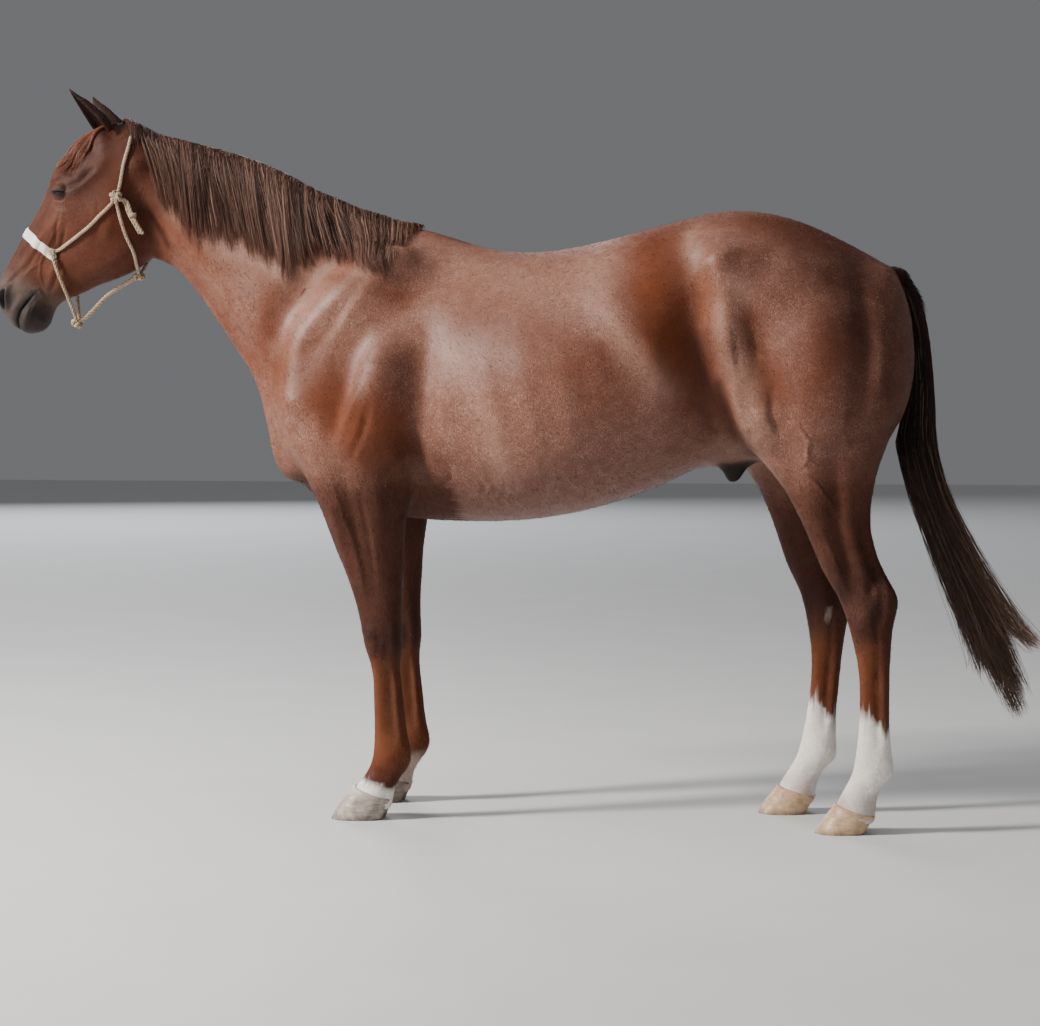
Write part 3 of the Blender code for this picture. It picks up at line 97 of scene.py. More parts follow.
# height, front, rear, inner side, outer side, and roundness; on the near side, the far one mirrors it
FORELEG = [
    (1.060, -0.520, -0.170, 0.020, 0.225, 2.0),
    (0.980, -0.520, -0.165, 0.030, 0.240, 2.1),
    (0.900, -0.485, -0.170, 0.045, 0.245, 2.2),
    (0.830, -0.452, -0.180, 0.060, 0.236, 2.2),
    (0.763, -0.418, -0.198, 0.075, 0.224, 2.2),
    (0.660, -0.380, -0.206, 0.088, 0.207, 2.2),
    (0.598, -0.354, -0.209, 0.096, 0.198, 2.2),
    (0.527, -0.331, -0.213, 0.102, 0.190, 2.3),
    (0.470, -0.318, -0.213, 0.101, 0.190, 2.5),
    (0.425, -0.309, -0.211, 0.101, 0.189, 2.6),
    (0.390, -0.298, -0.216, 0.106, 0.184, 2.4),
    (0.350, -0.291, -0.214, 0.113, 0.175, 2.2),
    (0.287, -0.290, -0.206, 0.116, 0.172, 2.2),
    (0.215, -0.288, -0.198, 0.115, 0.173, 2.2),
    (0.165, -0.290, -0.188, 0.108, 0.180, 2.3),
    (0.135, -0.297, -0.192, 0.108, 0.180, 2.2),
    (0.105, -0.315, -0.214, 0.110, 0.178, 2.2),
    (0.075, -0.337, -0.232, 0.098, 0.190, 2.2),
    (0.050, -0.352, -0.236, 0.092, 0.196, 2.2),
    (0.020, -0.362, -0.240, 0.092, 0.196, 2.2),
]
HINDLEG = [
    (1.340, 0.600, 0.930, 0.020, 0.170, 2.0),
    (1.260, 0.575, 1.000, 0.012, 0.225, 2.1),
    (1.170, 0.570, 1.026, 0.010, 0.262, 2.2),
    (1.080, 0.580, 1.028, 0.012, 0.276, 2.2),
    (1.010, 0.588, 1.013, 0.018, 0.276, 2.2),
    (0.945, 0.608, 0.982, 0.030, 0.264, 2.2),
    (0.895, 0.655, 0.966, 0.050, 0.250, 2.2),
    (0.821, 0.718, 0.938, 0.074, 0.228, 2.2),
    (0.740, 0.762, 0.930, 0.088, 0.210, 2.2),
    (0.676, 0.790, 0.943, 0.096, 0.198, 2.2),
    (0.620, 0.814, 0.966, 0.101, 0.192, 2.2),
    (0.566, 0.846, 0.996, 0.102, 0.190, 2.2),
    (0.530, 0.862, 0.994, 0.101, 0.190, 2.3),
    (0.500, 0.872, 0.986, 0.101, 0.190, 2.4),
    (0.455, 0.884, 0.981, 0.104, 0.186, 2.4),
    (0.400, 0.895, 0.979, 0.112, 0.178, 2.2),
    (0.332, 0.900, 0.979, 0.115, 0.175, 2.2),
    (0.250, 0.898, 0.979, 0.115, 0.175, 2.2),
    (0.181, 0.891, 0.985, 0.110, 0.180, 2.3),
    (0.140, 0.883, 0.989, 0.107, 0.183, 2.2),
    (0.110, 0.867, 0.960, 0.110, 0.180, 2.2),
    (0.080, 0.852, 0.948, 0.100, 0.190, 2.2),
    (0.050, 0.838, 0.946, 0.095, 0.195, 2.2),
    (0.020, 0.830, 0.946, 0.095, 0.195, 2.2),
]
# name, centre, half sizes along, across and through, and pitch of the long side in the side view
MASSES = [
    ("shoulder blade", (-0.335, 0.118, 1.225), (0.240, 0.120, 0.070), 52),
    ("point of shoulder", (-0.430, 0.135, 1.030), (0.130, 0.100, 0.085), 62),
    ("triceps", (-0.270, 0.150, 1.030), (0.180, 0.120, 0.085), 75),
    ("breast muscle", (-0.460, 0.080, 0.945), (0.130, 0.095, 0.085), 62),
    ("croup muscle", (0.700, 0.120, 1.330), (0.240, 0.115, 0.125), -12),
    ("thigh", (0.800, 0.145, 1.130), (0.220, 0.200, 0.130), 80),
    ("stifle", (0.690, 0.160, 1.020), (0.150, 0.085, 0.095), 100),
    ("buttock", (0.942, 0.095, 1.150), (0.220, 0.085, 0.090), 88),
    ("dock", (0.985, 0.000, 1.328), (0.050, 0.030, 0.030), -38),
    ("sheath", (0.590, 0.008, 0.882), (0.062, 0.034, 0.026), 80),
]
# a mass no farther than this from the plane of symmetry doesn't follow the far leg
MIDLINE = 0.03
# lines drawn on the flank: name, how far the skin is raised or sunk along them, how wide, and (x, z)
FLANK_LINES = [
    ("front of shoulder", 0.012, 0.042, [(-0.30, 1.38), (-0.37, 1.31), (-0.42, 1.24), (-0.46, 1.18),
       (-0.48, 1.09), (-0.49, 0.98), (-0.475, 0.92)]),
    ("shoulder groove", -0.008, 0.024, [(-0.31, 1.31), (-0.38, 1.215), (-0.43, 1.155), (-0.445, 1.09)]),
    ("shoulder spine", 0.009, 0.038, [(-0.23, 1.38), (-0.30, 1.31), (-0.345, 1.245), (-0.395, 1.165),
       (-0.41, 1.08)]),
    ("ahead of shoulder", -0.022, 0.042, [(-0.42, 1.36), (-0.46, 1.31), (-0.51, 1.25), (-0.542, 1.18),
       (-0.54, 1.11)]),
    ("triceps", 0.013, 0.055, [(-0.19, 1.20), (-0.235, 1.16), (-0.26, 1.09), (-0.28, 1.03), (-0.265, 0.96)]),
    ("ahead of triceps", -0.014, 0.028, [(-0.31, 1.15), (-0.335, 1.06), (-0.36, 0.97), (-0.37, 0.92)]),
    ("behind elbow", -0.019, 0.034, [(-0.14, 1.19), (-0.145, 1.10), (-0.150, 1.01), (-0.165, 0.92),
       (-0.165, 0.85)]),
    ("elbow", 0.010, 0.028, [(-0.205, 0.905), (-0.200, 0.875)]),
    ("point of shoulder", 0.012, 0.050, [(-0.455, 1.05), (-0.45, 1.00)]),
    ("forearm front", 0.010, 0.030, [(-0.41, 0.87), (-0.375, 0.78), (-0.345, 0.69)]),
    ("forearm groove", -0.008, 0.013, [(-0.345, 0.88), (-0.325, 0.78), (-0.300, 0.66), (-0.285, 0.56)]),
    ("forearm rear", 0.006, 0.026, [(-0.265, 0.87), (-0.255, 0.76), (-0.25, 0.68)]),
    ("last rib", 0.014, 0.050, [(0.27, 1.30), (0.33, 1.24), (0.40, 1.17), (0.455, 1.09), (0.46, 1.01),
       (0.42, 0.93)]),
    ("flank hollow", -0.034, 0.052, [(0.505, 1.34), (0.525, 1.25), (0.520, 1.15), (0.520, 1.04),
       (0.545, 0.95)]),
    ("thigh front", 0.020, 0.034, [(0.575, 1.31), (0.585, 1.21), (0.605, 1.12), (0.625, 1.04),
       (0.645, 0.98)]),
    ("hip point", 0.024, 0.044, [(0.565, 1.385), (0.580, 1.340)]),
    ("behind hip", -0.012, 0.050, [(0.66, 1.36), (0.72, 1.34)]),
    ("thigh groove", -0.014, 0.030, [(0.645, 1.26), (0.675, 1.17), (0.705, 1.07), (0.735, 0.98),
       (0.745, 0.92)]),
    ("biceps", 0.012, 0.065, [(0.80, 1.28), (0.82, 1.14), (0.81, 1.02)]),
    ("poverty line", -0.012, 0.018, [(0.895, 1.34), (0.915, 1.24), (0.922, 1.12), (0.905, 1.00),
       (0.875, 0.90)]),
    ("kneecap", 0.014, 0.040, [(0.668, 1.00), (0.680, 0.955)]),
    ("below kneecap", -0.008, 0.018, [(0.725, 0.93), (0.750, 0.88), (0.765, 0.84)]),
    ("gaskin front", 0.010, 0.028, [(0.775, 0.88), (0.795, 0.78), (0.825, 0.68), (0.85, 0.61)]),
    ("gaskin groove", -0.012, 0.015, [(0.845, 0.93), (0.850, 0.82), (0.855, 0.72), (0.880, 0.63),
       (0.895, 0.58)]),
    ("hamstring hollow", -0.016, 0.013, [(0.915, 0.76), (0.922, 0.70), (0.938, 0.64), (0.952, 0.60)]),
    ("throat groove", -0.014, 0.024, [(-0.835, 1.46), (-0.79, 1.39), (-0.735, 1.30), (-0.665, 1.205),
       (-0.61, 1.12), (-0.575, 1.06)]),
    ("neck band", 0.007, 0.036, [(-0.88, 1.55), (-0.80, 1.47), (-0.72, 1.38), (-0.64, 1.29), (-0.56, 1.20)]),
    ("neck hollow", -0.008, 0.045, [(-0.80, 1.58), (-0.68, 1.50), (-0.56, 1.41), (-0.46, 1.36)]),
    ("atlas", 0.012, 0.030, [(-0.925, 1.645), (-0.905, 1.60)]),
    ("behind jaw", -0.016, 0.022, [(-0.915, 1.56), (-0.885, 1.49), (-0.868, 1.43)]),
    ("below withers", -0.010, 0.060, [(-0.15, 1.37), (-0.05, 1.34)]),
]
# the same on the front of the chest and on the back of the quarters in (y, z)
FRONT_LINES = [
    ("between breasts", -0.028, 0.026, [(0.0, 1.10), (0.0, 1.00), (0.0, 0.90)]),
    ("breast", 0.010, 0.050, [(0.085, 1.04), (0.080, 0.96), (0.085, 0.89)]),
    ("breast to arm", -0.014, 0.022, [(0.150, 0.99), (0.135, 0.90), (0.120, 0.84)]),
]
REAR_LINES = [
    ("cleft", -0.035, 0.030, [(0.0, 1.30), (0.0, 1.15), (0.0, 1.00), (0.0, 0.90)]),
    ("buttock", 0.008, 0.040, [(0.085, 1.22), (0.090, 1.05), (0.100, 0.93)]),
    ("inner gaskin", -0.010, 0.020, [(0.130, 0.95), (0.140, 0.85)]),
]
# the same on the sides of the head, in (along, out) from the poll
HEAD_LINES = [
    ("face ridge", 0.007, 0.014, [(0.285, -0.010), (0.340, 0.004), (0.400, 0.020)]),
    ("below face ridge", -0.008, 0.024, [(0.330, -0.060), (0.380, -0.030), (0.440, -0.010)]),
    ("masseter", 0.012, 0.060, [(0.170, -0.120), (0.230, -0.120), (0.270, -0.100)]),
    ("jaw edge", 0.005, 0.018, [(0.200, -0.205), (0.270, -0.205), (0.330, -0.175), (0.390, -0.125)]),
    ("temple hollow", -0.014, 0.020, [(0.150, 0.040), (0.170, 0.036)]),
    ("brow", 0.012, 0.018, [(0.165, 0.062), (0.200, 0.060), (0.235, 0.050)]),
    ("cheekbone", 0.009, 0.014, [(0.235, 0.006), (0.200, -0.012), (0.150, -0.030), (0.110, -0.040)]),
    ("nose edge", 0.004, 0.014, [(0.290, 0.060), (0.380, 0.066), (0.460, 0.068)]),
    ("nose hollow", -0.007, 0.020, [(0.310, 0.034), (0.380, 0.044), (0.470, 0.045)]),
    ("before ear", -0.008, 0.020, [(0.095, 0.020), (0.110, 0.000)]),
    ("nostril", 0.008, 0.020, [(0.520, 0.045), (0.550, 0.040), (0.570, 0.020)]),
    ("above nostril", -0.004, 0.014, [(0.485, 0.056), (0.500, 0.030)]),
    ("chin", 0.005, 0.018, [(0.545, -0.050), (0.565, -0.040)]),
    ("cheek end", -0.006, 0.022, [(0.430, -0.050), (0.470, -0.035)]),
]
# above this height a line of the flank keeps to the outer side, and below it shows on both
ARM_TOP = 0.8
# the head lies ahead of this
NAPE_X = -0.85
# joints and tendons, in (x, z) of the near legs, as far up as this
KNEE_LINES_TOP = 0.62
LEG_LINES = [
    ("knee top", -0.004, 0.010, [(-0.31, 0.487), (-0.23, 0.487)]),
    ("knee", 0.004, 0.018, [(-0.285, 0.455), (-0.285, 0.415)]),
    ("knee foot", -0.003, 0.008, [(-0.295, 0.392), (-0.25, 0.392)]),
    ("knee back", -0.006, 0.010, [(-0.247, 0.475), (-0.243, 0.42), (-0.250, 0.38)]),
    ("cannon groove", -0.007, 0.009, [(-0.246, 0.37), (-0.244, 0.28), (-0.238, 0.20)]),
    ("fetlock", 0.004, 0.020, [(-0.243, 0.165), (-0.243, 0.150)]),
    ("heel of pastern", -0.004, 0.012, [(-0.245, 0.118), (-0.262, 0.100)]),
    ("hock", 0.006, 0.024, [(0.920, 0.545), (0.925, 0.500)]),
    ("hock bone groove", -0.007, 0.010, [(0.962, 0.580), (0.955, 0.540), (0.950, 0.490)]),
    ("hock foot", -0.003, 0.009, [(0.890, 0.452), (0.960, 0.452)]),
    ("hind cannon groove", -0.007, 0.009, [(0.945, 0.43), (0.944, 0.33), (0.946, 0.22)]),
    ("hind fetlock", 0.004, 0.020, [(0.938, 0.165), (0.938, 0.145)]),
    ("hind heel of pastern", -0.004, 0.012, [(0.930, 0.112), (0.915, 0.095)]),
]


def blend_rows(rows, steps):
    """Rows of numbers, with smooth values put in between each two."""
    rows = np.array(rows, float)
    tangent = np.gradient(rows, axis=0)
    out = []
    for i in range(len(rows) - 1):
        for t in np.linspace(0, 1, steps, endpoint=False):
            a, b = rows[i], rows[i + 1]
            ta, tb = tangent[i], tangent[i + 1]
            out.append(a * (2 * t**3 - 3 * t**2 + 1) + ta * (t**3 - 2 * t**2 + t)
                       + b * (3 * t**2 - 2 * t**3) + tb * (t**3 - t**2))
    return out + [rows[-1]]


def section(low, high, half_width, widest, round_high, round_low):
    """A ring in the upright plane through low and high, two (x, z) points."""
    low, high = np.array(low), np.array(high)
    ring = []
    for k in range(RING):
        angle = 2 * math.pi * k / RING
        side, rise = math.sin(angle), math.cos(angle)
        power = 2 / (round_high if rise > 0 else round_low)
        reach = (1 - widest) if rise > 0 else widest
        height = widest + reach * math.copysign(abs(rise) ** power, rise)
        x, z = low + (high - low) * height
        y = half_width * math.copysign(abs(side) ** power, side)
        ring.append((x, y, z))
    return ring


def level_ring(z, front, rear, inner, outer, roundness):
    """A ring at one height, between front and rear, inner and outer side."""
    ring = []
    for k in range(RING):
        angle = 2 * math.pi * k / RING
        c, s = math.cos(angle), math.sin(angle)
        power = 2 / roundness
        x = (front + rear) / 2 + (rear - front) / 2 * math.copysign(abs(c) ** power, c)
        y = (inner + outer) / 2 + (outer - inner) / 2 * math.copysign(abs(s) ** power, s)
        ring.append((x, y, z))
    return ring


def new_object(name, data):
    """An object for a mesh, a lamp or a camera, linked into the scene."""
    obj = bpy.data.objects.new(name, data)
    bpy.context.scene.collection.objects.link(obj)
    return obj


def gathered(name, pieces):
    """One object with the meshes of several, which it takes the place of."""
    whole = bmesh.new()
    for piece in pieces:
        whole.from_mesh(piece.data)
        bpy.data.objects.remove(piece)
    mesh = bpy.data.meshes.new(name)
    whole.to_mesh(mesh)
    whole.free()
    return new_object(name, mesh)


def reworked(obj, triangles=False, outwards=False):
    """The object with its faces cut into triangles, or turned outwards, or both."""
    mesh = bmesh.new()
    mesh.from_mesh(obj.data)
    if triangles:
        bmesh.ops.triangulate(mesh, faces=mesh.faces)
    if outwards:
        bmesh.ops.recalc_face_normals(mesh, faces=mesh.faces)
    mesh.to_mesh(obj.data)
    mesh.free()
    return obj


def outward(obj):
    """The object with its faces turned outwards and shaded smooth."""
    reworked(obj, outwards=True)
    obj.data.shade_smooth()
    return obj


def frozen(obj):
    """The object with its modifiers worked in."""
    graph = bpy.context.evaluated_depsgraph_get()
    solid = bpy.data.meshes.new_from_object(obj.evaluated_get(graph))
    obj.modifiers.clear()
    obj.data = solid
    return obj


def loft(name, rings):
    """A closed tube through the rings, all with the same number of points."""
    verts = [p for ring in rings for p in ring]
    faces = []
    n = len(rings[0])
    for i in range(len(rings) - 1):
        for k in range(n):
            a, b = i * n + k, i * n + (k + 1) % n
            faces.append((a, b, b + n, a + n))
    faces.append(tuple(range(n))[::-1])
    faces.append(tuple(range(len(verts) - n, len(verts))))
    mesh = bpy.data.meshes.new(name)
    mesh.from_pydata(verts, [], faces)
    mesh.update()
    return new_object(name, mesh)


def head_axes(co):
    """Distance of points from the poll along the face, and out of it."""
    x, z = co[:, 0] - POLL[0], co[:, 2] - POLL[1]
    return x * FACE_ALONG[0] + z * FACE_ALONG[1], x * FACE_OUT[0] + z * FACE_OUT[1]


def head_point(along, out):
    """The (x, z) of a place along the face from the poll, and out of it."""
    return (POLL[0] + along * FACE_ALONG[0] + out * FACE_OUT[0],
            POLL[1] + along * FACE_ALONG[1] + out * FACE_OUT[1])


def body_loft():
    """Trunk and neck, from under the tail to the nape."""
    rows = [(*high, *low, w, c, a, b) for _, high, low, w, c, a, b in BODY]
    return loft("body", [section(r[2:4], r[0:2], *r[4:]) for r in blend_rows(rows, 4)])


def head_loft():
    """The head, from the poll to the tip of the muzzle."""
    rings = []
    for along, face, jaw, w, c, a, b in blend_rows([row[1:] for row in HEAD], 3):
        rings.append(section(head_point(along, jaw), head_point(along, face), w, c, a, b))
    return loft("head", rings)


def leg_loft(name, table, side, pose):
    """A leg on one side, set forward or back at each height by its pose."""
    rings = []
    for row in blend_rows(table, 3):
        ring = np.array(level_ring(*row))
        ring[:, 1] *= side
        ring[:, 0] += pose(ring[:, 2])
        rings.append([tuple(p) for p in ring])
    return loft(name, rings)


def fore_pose(side):
    """How far back or forward the foreleg stands at a height, against the near one."""
    return lambda z: 0 * z if side < 0 else -0.020 * np.clip((0.95 - z) / 0.3, 0, 1)


def hind_pose(side):
    """The same for the hind leg."""
    def shift(z):
        if side < 0:
            return 0 * z
        fade = np.clip((1.32 - z) / 0.45, 0, 1)
        return -(0.157 - 0.093 * (z - 0.14)) * fade * fade * (3 - 2 * fade)
    return shift


def mass(name, centre, half, pitch, side):
    """A muscle as a stretched ball."""
    bpy.ops.mesh.primitive_uv_sphere_add(segments=32, ring_count=20, radius=1)
    piece = bpy.context.object
    piece.name = name
    piece.scale = (half[0], half[2], half[1])
    piece.rotation_euler = (0, -math.radians(pitch), 0)
    piece.location = (centre[0], centre[1] * side, centre[2])
    bpy.context.view_layer.update()
    piece.data.transform(piece.matrix_world)
    piece.matrix_world = Matrix.Identity(4)
    return piece


def bend(x, y, z):
    """How far the far legs and the muscle above them stand from the near ones."""
    shift = np.where(x > 0.3, hind_pose(1)(z), np.where(z < 0.97, fore_pose(1)(z), 0))
    return np.where(y > 0, shift, 0)


def points_of(mesh):
    """The mesh's points (n, 3)."""
    co = np.empty(len(mesh.vertices) * 3)
    mesh.vertices.foreach_get("co", co)
    return co.reshape(-1, 3)


def normals_of(mesh):
    """The way out of the skin at each point (n, 3)."""
    nor = np.empty(len(mesh.vertices) * 3)
    mesh.vertex_normals.foreach_get("vector", nor)
    return nor.reshape(-1, 3)


def move_points(mesh, co):
    """Puts the mesh's points in new places."""
    mesh.vertices.foreach_set("co", co.ravel())
    mesh.update()


def links(mesh):
    """The two ends of each edge."""
    ends = np.empty(len(mesh.edges) * 2, int)
    mesh.edges.foreach_get("vertices", ends)
    return ends[0::2], ends[1::2]


def relax(co, a, b, weight, rounds):
    """Evens the skin out, each point towards the middle of its neighbours."""
    n = len(co)
    count = np.maximum(np.bincount(a, minlength=n) + np.bincount(b, minlength=n), 1)
    for _ in range(rounds):
        mean = np.empty_like(co)
        for k in range(3):
            mean[:, k] = (np.bincount(a, co[b, k], n) + np.bincount(b, co[a, k], n)) / count
        co += (mean - co) * weight[:, None]
    return co


def ramp(value, low, high):
    """0 up to low, 1 from high on, and smooth between them."""
    t = np.clip((value - low) / (high - low), 0, 1)
    return t * t * (3 - 2 * t)


def bell(gap, width):
    """1 where the gap is 0, falling away over the width."""
    return np.exp(-(gap / width) ** 2)


def line_gap(u, v, line):
    """Distance of each (u, v) from a line through points, and how far along the line it lies, 0 to 1."""
    gap = np.full(len(u), 9.0)
    place = np.zeros(len(u))
    for i, ((ax, ay), (bx, by)) in enumerate(zip(line, line[1:])):
        dx, dy = bx - ax, by - ay
        t = np.clip(((u - ax) * dx + (v - ay) * dy) / (dx * dx + dy * dy), 0, 1)
        here = np.hypot(u - ax - t * dx, v - ay - t * dy)
        place = np.where(here < gap, (i + t) / (len(line) - 1), place)
        gap = np.minimum(gap, here)
    return gap, place


def stroke(u, v, depth, width, line):
    """Height of a soft ridge or groove along a line, weaker at its ends."""
    gap, place = line_gap(u, v, line)
    fade = 0.45 + 0.55 * ramp(np.minimum(place, 1 - place), 0, 0.3)
    return depth * fade * bell(gap, width)


def beside(u, v, line, width):
    """1 on a line through points, falling away over the width at its sides."""
    return bell(line_gap(u, v, line)[0], width)


def draw(move, u, v, lines, shown):
    """Adds a table of ridges and grooves to move; shown cuts each down to where the skin takes it, from
    its heights and the second coordinate of its start."""
    for _, depth, width, line in lines:
        move += shown(stroke(u, v, depth, width, line), line[0][1])


def carve(mesh):
    """Draws the muscles, bones and hollows on the skin."""
    co, nor = points_of(mesh), normals_of(mesh)
    x, y, z = co.T
    x = x - bend(x, y, z)
    move = np.zeros(len(co))
    side = ramp(np.abs(nor[:, 1]), 0.15, 0.65)
    outer = ramp(nor[:, 1] * np.sign(y), 0.10, 0.60)
    draw(move, x, z, FLANK_LINES, lambda height, start: height * (outer if start > ARM_TOP else side))
    draw(move, x, z, LEG_LINES, lambda height, _: height * side * (z < KNEE_LINES_TOP))
    front = ramp(-nor[:, 0], 0.2, 0.7) * (x > -0.66) * (x < -0.3) * (z > ARM_TOP)
    draw(move, np.abs(y), z, FRONT_LINES, lambda height, _: height * front)
    rear = ramp(nor[:, 0], 0.2, 0.7) * (x > 0.8) * (z > ARM_TOP)
    draw(move, np.abs(y), z, REAR_LINES, lambda height, _: height * rear)
    along, out = head_axes(co)
    head = ramp(along, 0.03, 0.09) * (out > -0.24) * (x < NAPE_X)
    draw(move, along, out, HEAD_LINES, lambda height, _: height * side * head)
    move_points(mesh, co + nor * move[:, None])


def rounds_for(count):
    """Rounds of smoothing that reach as far as count does with points 1 cm apart."""
    return round(count * (0.01 / VOXEL) ** 2)


def smooth(mesh):
    """Runs the masses into one another, most on the trunk."""
    co = points_of(mesh)
    a, b = links(mesh)
    trunk = ramp(co[:, 2], 0.80, 1.00) * ramp(co[:, 0], -0.92, -0.80)
    co = relax(co, a, b, trunk * 0.5, rounds_for(60))
    co = relax(co, a, b, np.full(len(co), 0.5), rounds_for(5))
    move_points(mesh, co)


def fuse(name, pieces):
    """Joins closed pieces into one skin."""
    obj = reworked(gathered(name, pieces), outwards=True)
    remesh = obj.modifiers.new("fuse", "REMESH")
    remesh.mode = "VOXEL"
    remesh.voxel_size = VOXEL
    remesh.use_smooth_shade = True
    return frozen(obj)


def soften(mesh):
    """A last light smoothing, strongest on the trunk."""
    co = points_of(mesh)
    a, b = links(mesh)
    weight = 0.15 + 0.35 * ramp(co[:, 2], 0.7, 0.95) * ramp(co[:, 0], -0.92, -0.80)
    move_points(mesh, relax(co, a, b, weight, rounds_for(8)))


def body():
    """The whole body without its ears, as one skin with its muscles, bones and hollows."""
    pieces = [body_loft(), head_loft()]
    for side in (-1, 1):
        pieces.append(leg_loft("foreleg", FORELEG, side, fore_pose(side)))
        pieces.append(leg_loft("hindleg", HINDLEG, side, hind_pose(side)))
        for name, centre, half, pitch in MASSES:
            piece = mass(name, centre, half, pitch, side)
            if side > 0 and centre[1] > MIDLINE:
                for vert in piece.data.vertices:
                    vert.co.x += bend(*vert.co)
            pieces.append(piece)
    horse = fuse("horse", pieces)
    smooth(horse.data)
    carve(horse.data)
    soften(horse.data)
    return horse


# ---------------------------------------------------------------- skin
# how far the skin lies under the outline, for the tufts to fill
COAT_DEPTH = 0.0022
# the skin's triangles before its openings are refined
SKIN_TRIANGLES = 105000
# the eyeball's middle: (along, out) from the poll, and its distance from the plane of symmetry
EYE_AT = (0.234, 0.023)
EYE_Y = 0.0765
EYE_RADIUS = 0.0195
# thickness of the lids over the eyeball
LID = 0.0024
# the dome of the lids runs out between these distances from the eye's middle
DOME_EDGE = (0.030, 0.048)
# how far the skin inside the slit lies under the eyeball's surface
SOCKET = 0.0045
# folds of the upper and of the lower lid: distance from the slit, height, half width
UPPER_FOLDS = [(0.0085, -0.0017, 0.0020), (0.0150, -0.0013, 0.0024)]
LOWER_FOLDS = [(0.0055, -0.0014, 0.0016), (0.0105, -0.0014, 0.0018), (0.0160, -0.0012, 0.0022)]
# the slit between the lids: its middle ahead of and above the eyeball's, half length, and how far
# the upper and the lower lid stand from it
SLIT = (0.002, -0.001, 0.0215, 0.0034, 0.0052)
# the nostril: (x, z) and distance from the plane of symmetry, half sizes across and up, and depth
NOSTRIL_AT = (-1.286, 1.291)
NOSTRIL_Y = 0.041
NOSTRIL_HALF = (0.0115, 0.027)
NOSTRIL_DEPTH = 0.022
# the line between the lips: depth, half width, and (along, out) from the poll
MOUTH_DEPTH = 0.0075
MOUTH_HALF_WIDTH = 0.0024
MOUTH = [(0.607, -0.037), (0.580, -0.026), (0.552, -0.022), (0.522, -0.026), (0.500, -0.031)]
# up the ear: place (x, z), distance from the plane of symmetry, half width, cup depth
EAR = [
    ((-1.012, 1.702), 0.046, 0.0360, 0.0240),
    ((-1.028, 1.728), 0.055, 0.0370, 0.0260),
    ((-1.046, 1.753), 0.063, 0.0290, 0.0220),
    ((-1.063, 1.777), 0.071, 0.0200, 0.0160),
    ((-1.076, 1.795), 0.078, 0.0115, 0.0090),
    ((-1.086, 1.810), 0.083, 0.0050, 0.0035),
    ((-1.090, 1.817), 0.085, 0.0015, 0.0010),
]
# thickness of the ear
EAR_WALL = 0.0036
# the way the left ear's hollow faces, mirrored for the right one, and the steps round it
EAR_OPENS = (-0.72, 0.60, -0.35)
EAR_STEPS = 12
# lines in (along, out) from the poll, as above, for the small forms of the face
FACE_LINES = [
    ("upper lip", 0.0035, 0.011, [(0.596, -0.016), (0.566, -0.006), (0.530, -0.008)]),
    ("lower lip", 0.0055, 0.013, [(0.600, -0.052), (0.575, -0.046), (0.545, -0.042), (0.520, -0.046)]),
    ("chin hollow", -0.0050, 0.010, [(0.512, -0.060), (0.500, -0.082)]),
    ("chin", 0.0040, 0.014, [(0.560, -0.070), (0.540, -0.078)]),
    ("mouth corner", 0.0030, 0.007, [(0.492, -0.018), (0.484, -0.034), (0.492, -0.048)]),
    ("false nostril", -0.0030, 0.007, [(0.520, 0.050), (0.498, 0.040), (0.470, 0.034)]),
    ("nose vein", 0.0018, 0.0036, [(0.300, -0.020), (0.340, -0.012), (0.380, -0.006), (0.420, -0.008),
       (0.452, -0.020), (0.470, -0.040)]),
    ("nose fork", 0.0013, 0.0032, [(0.420, -0.008), (0.448, 0.008), (0.476, 0.014)]),
    ("lip muscle", 0.0028, 0.008, [(0.330, 0.020), (0.390, 0.026), (0.450, 0.034), (0.500, 0.048)]),
    ("under lip muscle", -0.0028, 0.006, [(0.345, 0.006), (0.400, 0.012), (0.455, 0.020)]),
    ("cheek muscle", 0.0030, 0.009, [(0.385, -0.050), (0.425, -0.046), (0.470, -0.050)]),
    ("under cheek muscle", -0.0022, 0.006, [(0.395, -0.068), (0.435, -0.062), (0.470, -0.064)]),
    ("cheek crease", -0.0026, 0.005, [(0.284, -0.003), (0.320, -0.014), (0.360, -0.023)]),
    ("face ridge edge", -0.0030, 0.006, [(0.300, -0.034), (0.345, -0.040), (0.390, -0.038)]),
    ("tear groove", -0.0016, 0.006, [(0.262, 0.040), (0.290, 0.036), (0.330, 0.038)]),
    ("brow edge", 0.0022, 0.008, [(0.236, 0.062), (0.214, 0.058), (0.196, 0.044), (0.190, 0.020)]),
    ("above eye", -0.0042, 0.010, [(0.186, 0.046), (0.176, 0.026), (0.180, 0.006)]),
    ("ear base", 0.0100, 0.018, [(0.050, 0.016), (0.064, 0.000), (0.078, -0.014)]),
    ("behind eye", -0.0060, 0.008, [(0.217, 0.012), (0.185, -0.008), (0.145, -0.028)]),
    ("temple ridge", 0.0018, 0.009, [(0.180, 0.012), (0.146, -0.002)]),
    ("temple groove", -0.0050, 0.010, [(0.206, -0.004), (0.180, -0.014), (0.150, -0.022), (0.130, -0.034)]),
    ("under eye", -0.0012, 0.006, [(0.266, 0.030), (0.272, 0.010), (0.264, -0.010)]),
    ("masseter groove", -0.0014, 0.006, [(0.200, -0.080), (0.250, -0.110), (0.300, -0.120)]),
    ("masseter band", 0.0014, 0.010, [(0.180, -0.100), (0.235, -0.135), (0.290, -0.145)]),
    ("jaw vein", 0.0013, 0.004, [(0.330, -0.150), (0.350, -0.110), (0.352, -0.075), (0.345, -0.050)]),
]
